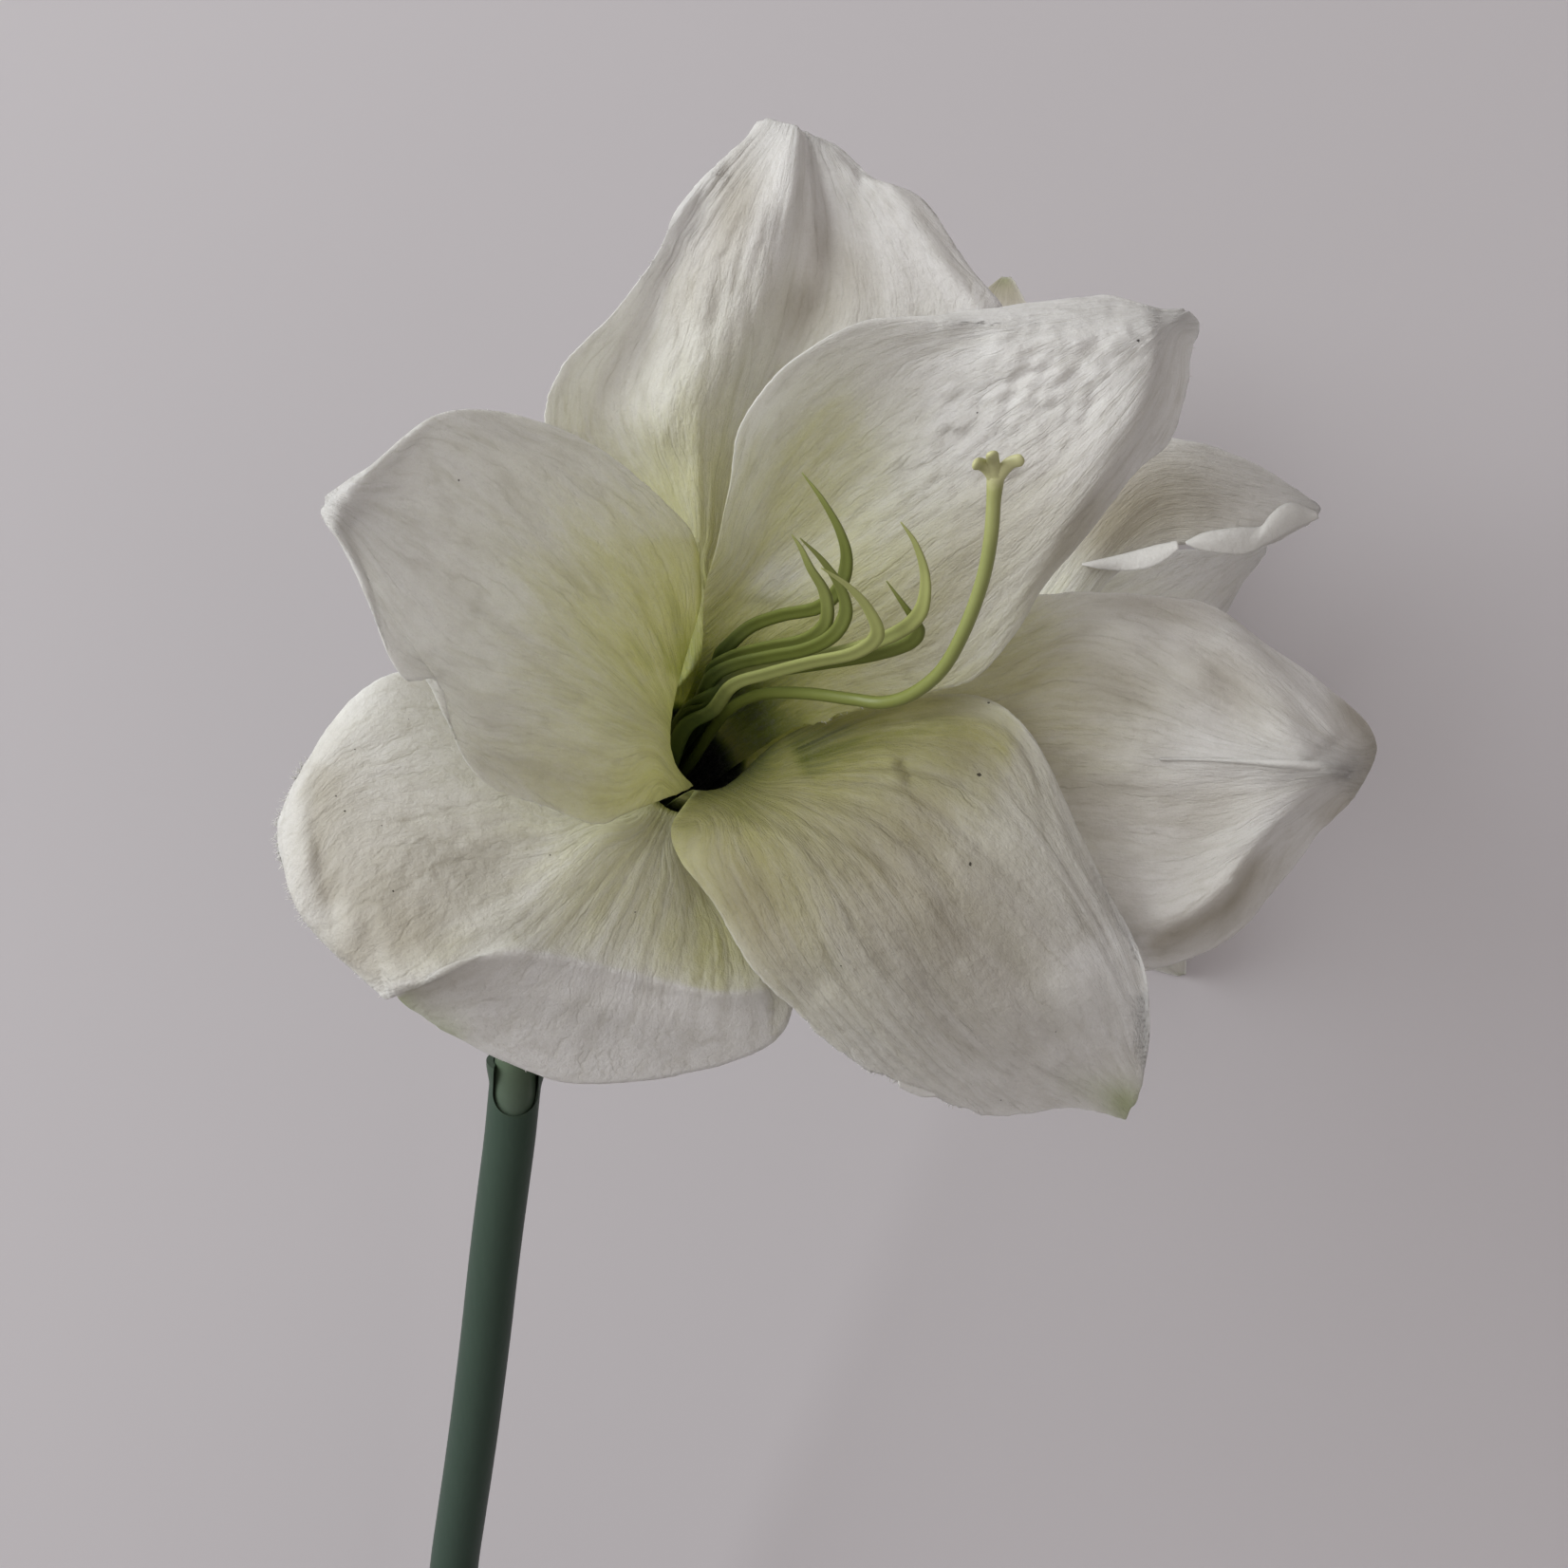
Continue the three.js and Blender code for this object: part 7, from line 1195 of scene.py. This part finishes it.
stem = sweep("stem_form", STEM_LINE, stem_size, 64, 130)
bore = sweep("bore", [top + up * 6, top + down * 10, top + down * 26], lambda t: (5.75, 5.75), 56, 6)
boolean(stem, bore, "DIFFERENCE")
c = top + down * 8.2 + np.array([0.7, 0, 0])
bm = bmesh.new()
pts = []
for z0 in (1.2, 14.0):
    for shift in (0.0, 14.0):
        for k in range(48):
            a = 2 * math.pi * k / 48
            q = c + up * shift + np.array([5.5 * math.cos(a), 5.5 * math.sin(a), z0])
            pts.append(bm.verts.new(q * MM))
bmesh.ops.convex_hull(bm, input=pts)
me = bpy.data.meshes.new("scoop"); bm.to_mesh(me); bm.free()
scoop = bpy.data.objects.new("scoop", me); bpy.context.scene.collection.objects.link(scoop)
boolean(stem, scoop, "DIFFERENCE")
autosmooth(stem)
stem.data.materials.clear(); stem.data.materials.append(STEM_MAT)
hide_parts("stem"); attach(stem, "root")

fork = np.array(FORK)
m1 = np.array(FRONT_MOUTH); A1 = unit(FRONT_AXIS); m2 = np.array(BACK_MOUTH); A2 = unit(BACK_AXIS)
plug_low = top + down * 24.5
plug = sweep("umbel_fork_form", [plug_low, top + down * 10, top, fork], lambda t: (5.4, 5.4), 48, 40)
start = fork + unit(top - fork) * 6
e1, d1 = m1 - 54.6 * A1, m1 - 72 * A1
e2, d2 = m2 - 54.6 * A2, m2 - 74 * A2
lerp = lambda a, b, t: a + (b - a) * t
way1 = [start, lerp(fork, d1, 0.38) + [-2, 5, 3], lerp(d1, fork, 0.25) + [-1, 2, 1], d1, lerp(e1, d1, 0.5), e1]
way2 = [start, lerp(fork, d2, 0.3) + [0, 3, 3], lerp(d2, fork, 0.35) + [0, 1, 1], d2, lerp(e2, d2, 0.5), e2]
stalk = lambda t: (4.2 + 0.9 * max(0, 1 - 3 * t),) * 2
for w in (way1, way2):
    boolean(plug, sweep("stalk", w, stalk, 40, 60), "UNION")
bm = bmesh.new(); bmesh.ops.create_uvsphere(bm, u_segments=40, v_segments=24, radius=6.4 * MM)
bmesh.ops.translate(bm, verts=bm.verts, vec=Vector(fork * MM))
me = bpy.data.meshes.new("knob"); bm.to_mesh(me); bm.free()
knob = bpy.data.objects.new("knob", me); bpy.context.scene.collection.objects.link(knob)
boolean(plug, knob, "UNION")
autosmooth(plug, 50)
plug.data.materials.clear(); plug.data.materials.append(FORK_MAT)
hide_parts("umbel_fork"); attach(plug, "root")

CALYX = [(0, -54), (4.55, -54), (4.55, -64), (6.3, -64), (8.2, -59), (11.4, -51), (13.9, -44), (14.7, -38), (15.8, -19),
         (14.5, -19), (13.35, -38), (12.9, -43), (0, -43.6)]


def turned(name, node, mouth, axis):
    a = unit(axis); ex = unit(np.array([1.0, 0, 0]) - a[0] * a); ey = np.cross(a, ex)
    bm = bmesh.new(); rows = []
    # finer outer profile, with soft lengthwise ribs
    prof = []
    for (r0, s0), (r1, s1) in zip(CALYX[:-1], CALYX[1:]):
        k = 6 if r0 > 6 and r1 > 6 else 1
        for i in range(k):
            prof.append((r0 + (r1 - r0) * i / k, s0 + (s1 - s0) * i / k, (r0, s0) != (15.8, -19) and r0 > 6.2 and s1 > s0))
    prof.append((*CALYX[-1], False))
    seg = 96
    for r, s, rib in prof:
        if r < 1e-6:
            rows.append([bm.verts.new(np.array(mouth + a * s) * MM)]); continue
        row = []
        for k in range(seg):
            t = 2 * math.pi * k / seg
            rr = r - (0.18 * (0.5 + 0.5 * math.cos(6 * t)) if rib else 0)
            row.append(bm.verts.new(np.array(mouth + a * s + rr * (ex * math.cos(t) + ey * math.sin(t))) * MM))
        rows.append(row)
    for A, B in zip(rows[:-1], rows[1:]):
        for k in range(seg):
            m = (k + 1) % seg
            if len(A) == 1: bm.faces.new((A[0], B[m], B[k]))
            elif len(B) == 1: bm.faces.new((A[k], A[m], B[0]))
            else: bm.faces.new((A[k], A[m], B[m], B[k]))
    bmesh.ops.recalc_face_normals(bm, faces=bm.faces)
    me = bpy.data.meshes.new(name); bm.to_mesh(me); bm.free()
    ob = bpy.data.objects.new(name, me); bpy.context.scene.collection.objects.link(ob)
    autosmooth(ob, 50)
    ob.data.materials.append(CALYX_MAT)
    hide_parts(node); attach(ob, "root")


turned("front_calyx_form", "front_calyx", m1, A1)
turned("back_calyx_form", "back_calyx", m2, A2)

# ---------------------------------------------------------------- floor, light, camera
def floor_material():
    M = Mat("floor_paint")
    n1 = M.noise(3.0, 2.0, 0.5)
    col = M.mix(n1, (0.492, 0.467, 0.484), (0.503, 0.477, 0.494))
    M.link(col, M.p.inputs["Base Color"])
    M.p.inputs["Roughness"].default_value = 0.9
    M.p.inputs["Specular IOR Level"].default_value = 0.1
    M.link(M.p.outputs[0], M.out.inputs[0])
    return M.m


bm = bmesh.new()
bmesh.ops.create_grid(bm, x_segments=1, y_segments=1, size=4.0)
me = bpy.data.meshes.new("floor"); bm.to_mesh(me); bm.free()
floor = bpy.data.objects.new("floor", me); bpy.context.scene.collection.objects.link(floor)
floor.data.materials.append(floor_material())


def area(name, loc, target, size, power, color):
    l = bpy.data.lights.new(name, "AREA")
    l.shape = "RECTANGLE"; l.size, l.size_y = size
    l.energy = power; l.color = color
    o = bpy.data.objects.new(name, l)
    o.location = Vector(loc)
    o.rotation_euler = (Vector(target) - Vector(loc)).to_track_quat("-Z", "Y").to_euler()
    bpy.context.scene.collection.objects.link(o)


area("key", (-1.9, 1.05, 1.15), (0.0, 0.2, 0.15), (1.9, 1.9), 59.5, (0.95, 0.99, 1.0))
area("fill", (1.0, 0.0, 1.6), (0.22, 0.05, 0.0), (1.2, 1.2), 3.6, (1.0, 0.955, 0.935))
w = bpy.data.worlds.new("room"); bpy.context.scene.world = w
w.use_nodes = True
w.node_tree.nodes["Background"].inputs[0].default_value = (1.0, 0.942, 0.925, 1)
# the room is lighter overhead and on the side of the key light
wt = w.node_tree
g = wt.nodes.new("ShaderNodeTexCoord")
v = wt.nodes.new("ShaderNodeVectorMath"); v.operation = "DOT_PRODUCT"
v.inputs[1].default_value = (-0.20, 0.08, 0.33)
a = wt.nodes.new("ShaderNodeMath"); a.operation = "ADD"; a.use_clamp = True; a.inputs[1].default_value = 0.22
wt.links.new(g.outputs["Generated"], v.inputs[0])
wt.links.new(v.outputs["Value"], a.inputs[0])
wt.links.new(a.outputs[0], wt.nodes["Background"].inputs[1])

cam = bpy.data.cameras.new("camera")
cam.sensor_fit = "HORIZONTAL"; cam.angle = math.radians(VIEW_ANGLE)
cam.clip_start = 0.01; cam.clip_end = 20
co = bpy.data.objects.new("camera", cam)
co.location = Vector(CAMERA) * MM
co.rotation_euler = (0, 0, 0)
bpy.context.scene.collection.objects.link(co)
bpy.context.scene.camera = co
bpy.context.scene.view_settings.view_transform = "Standard"
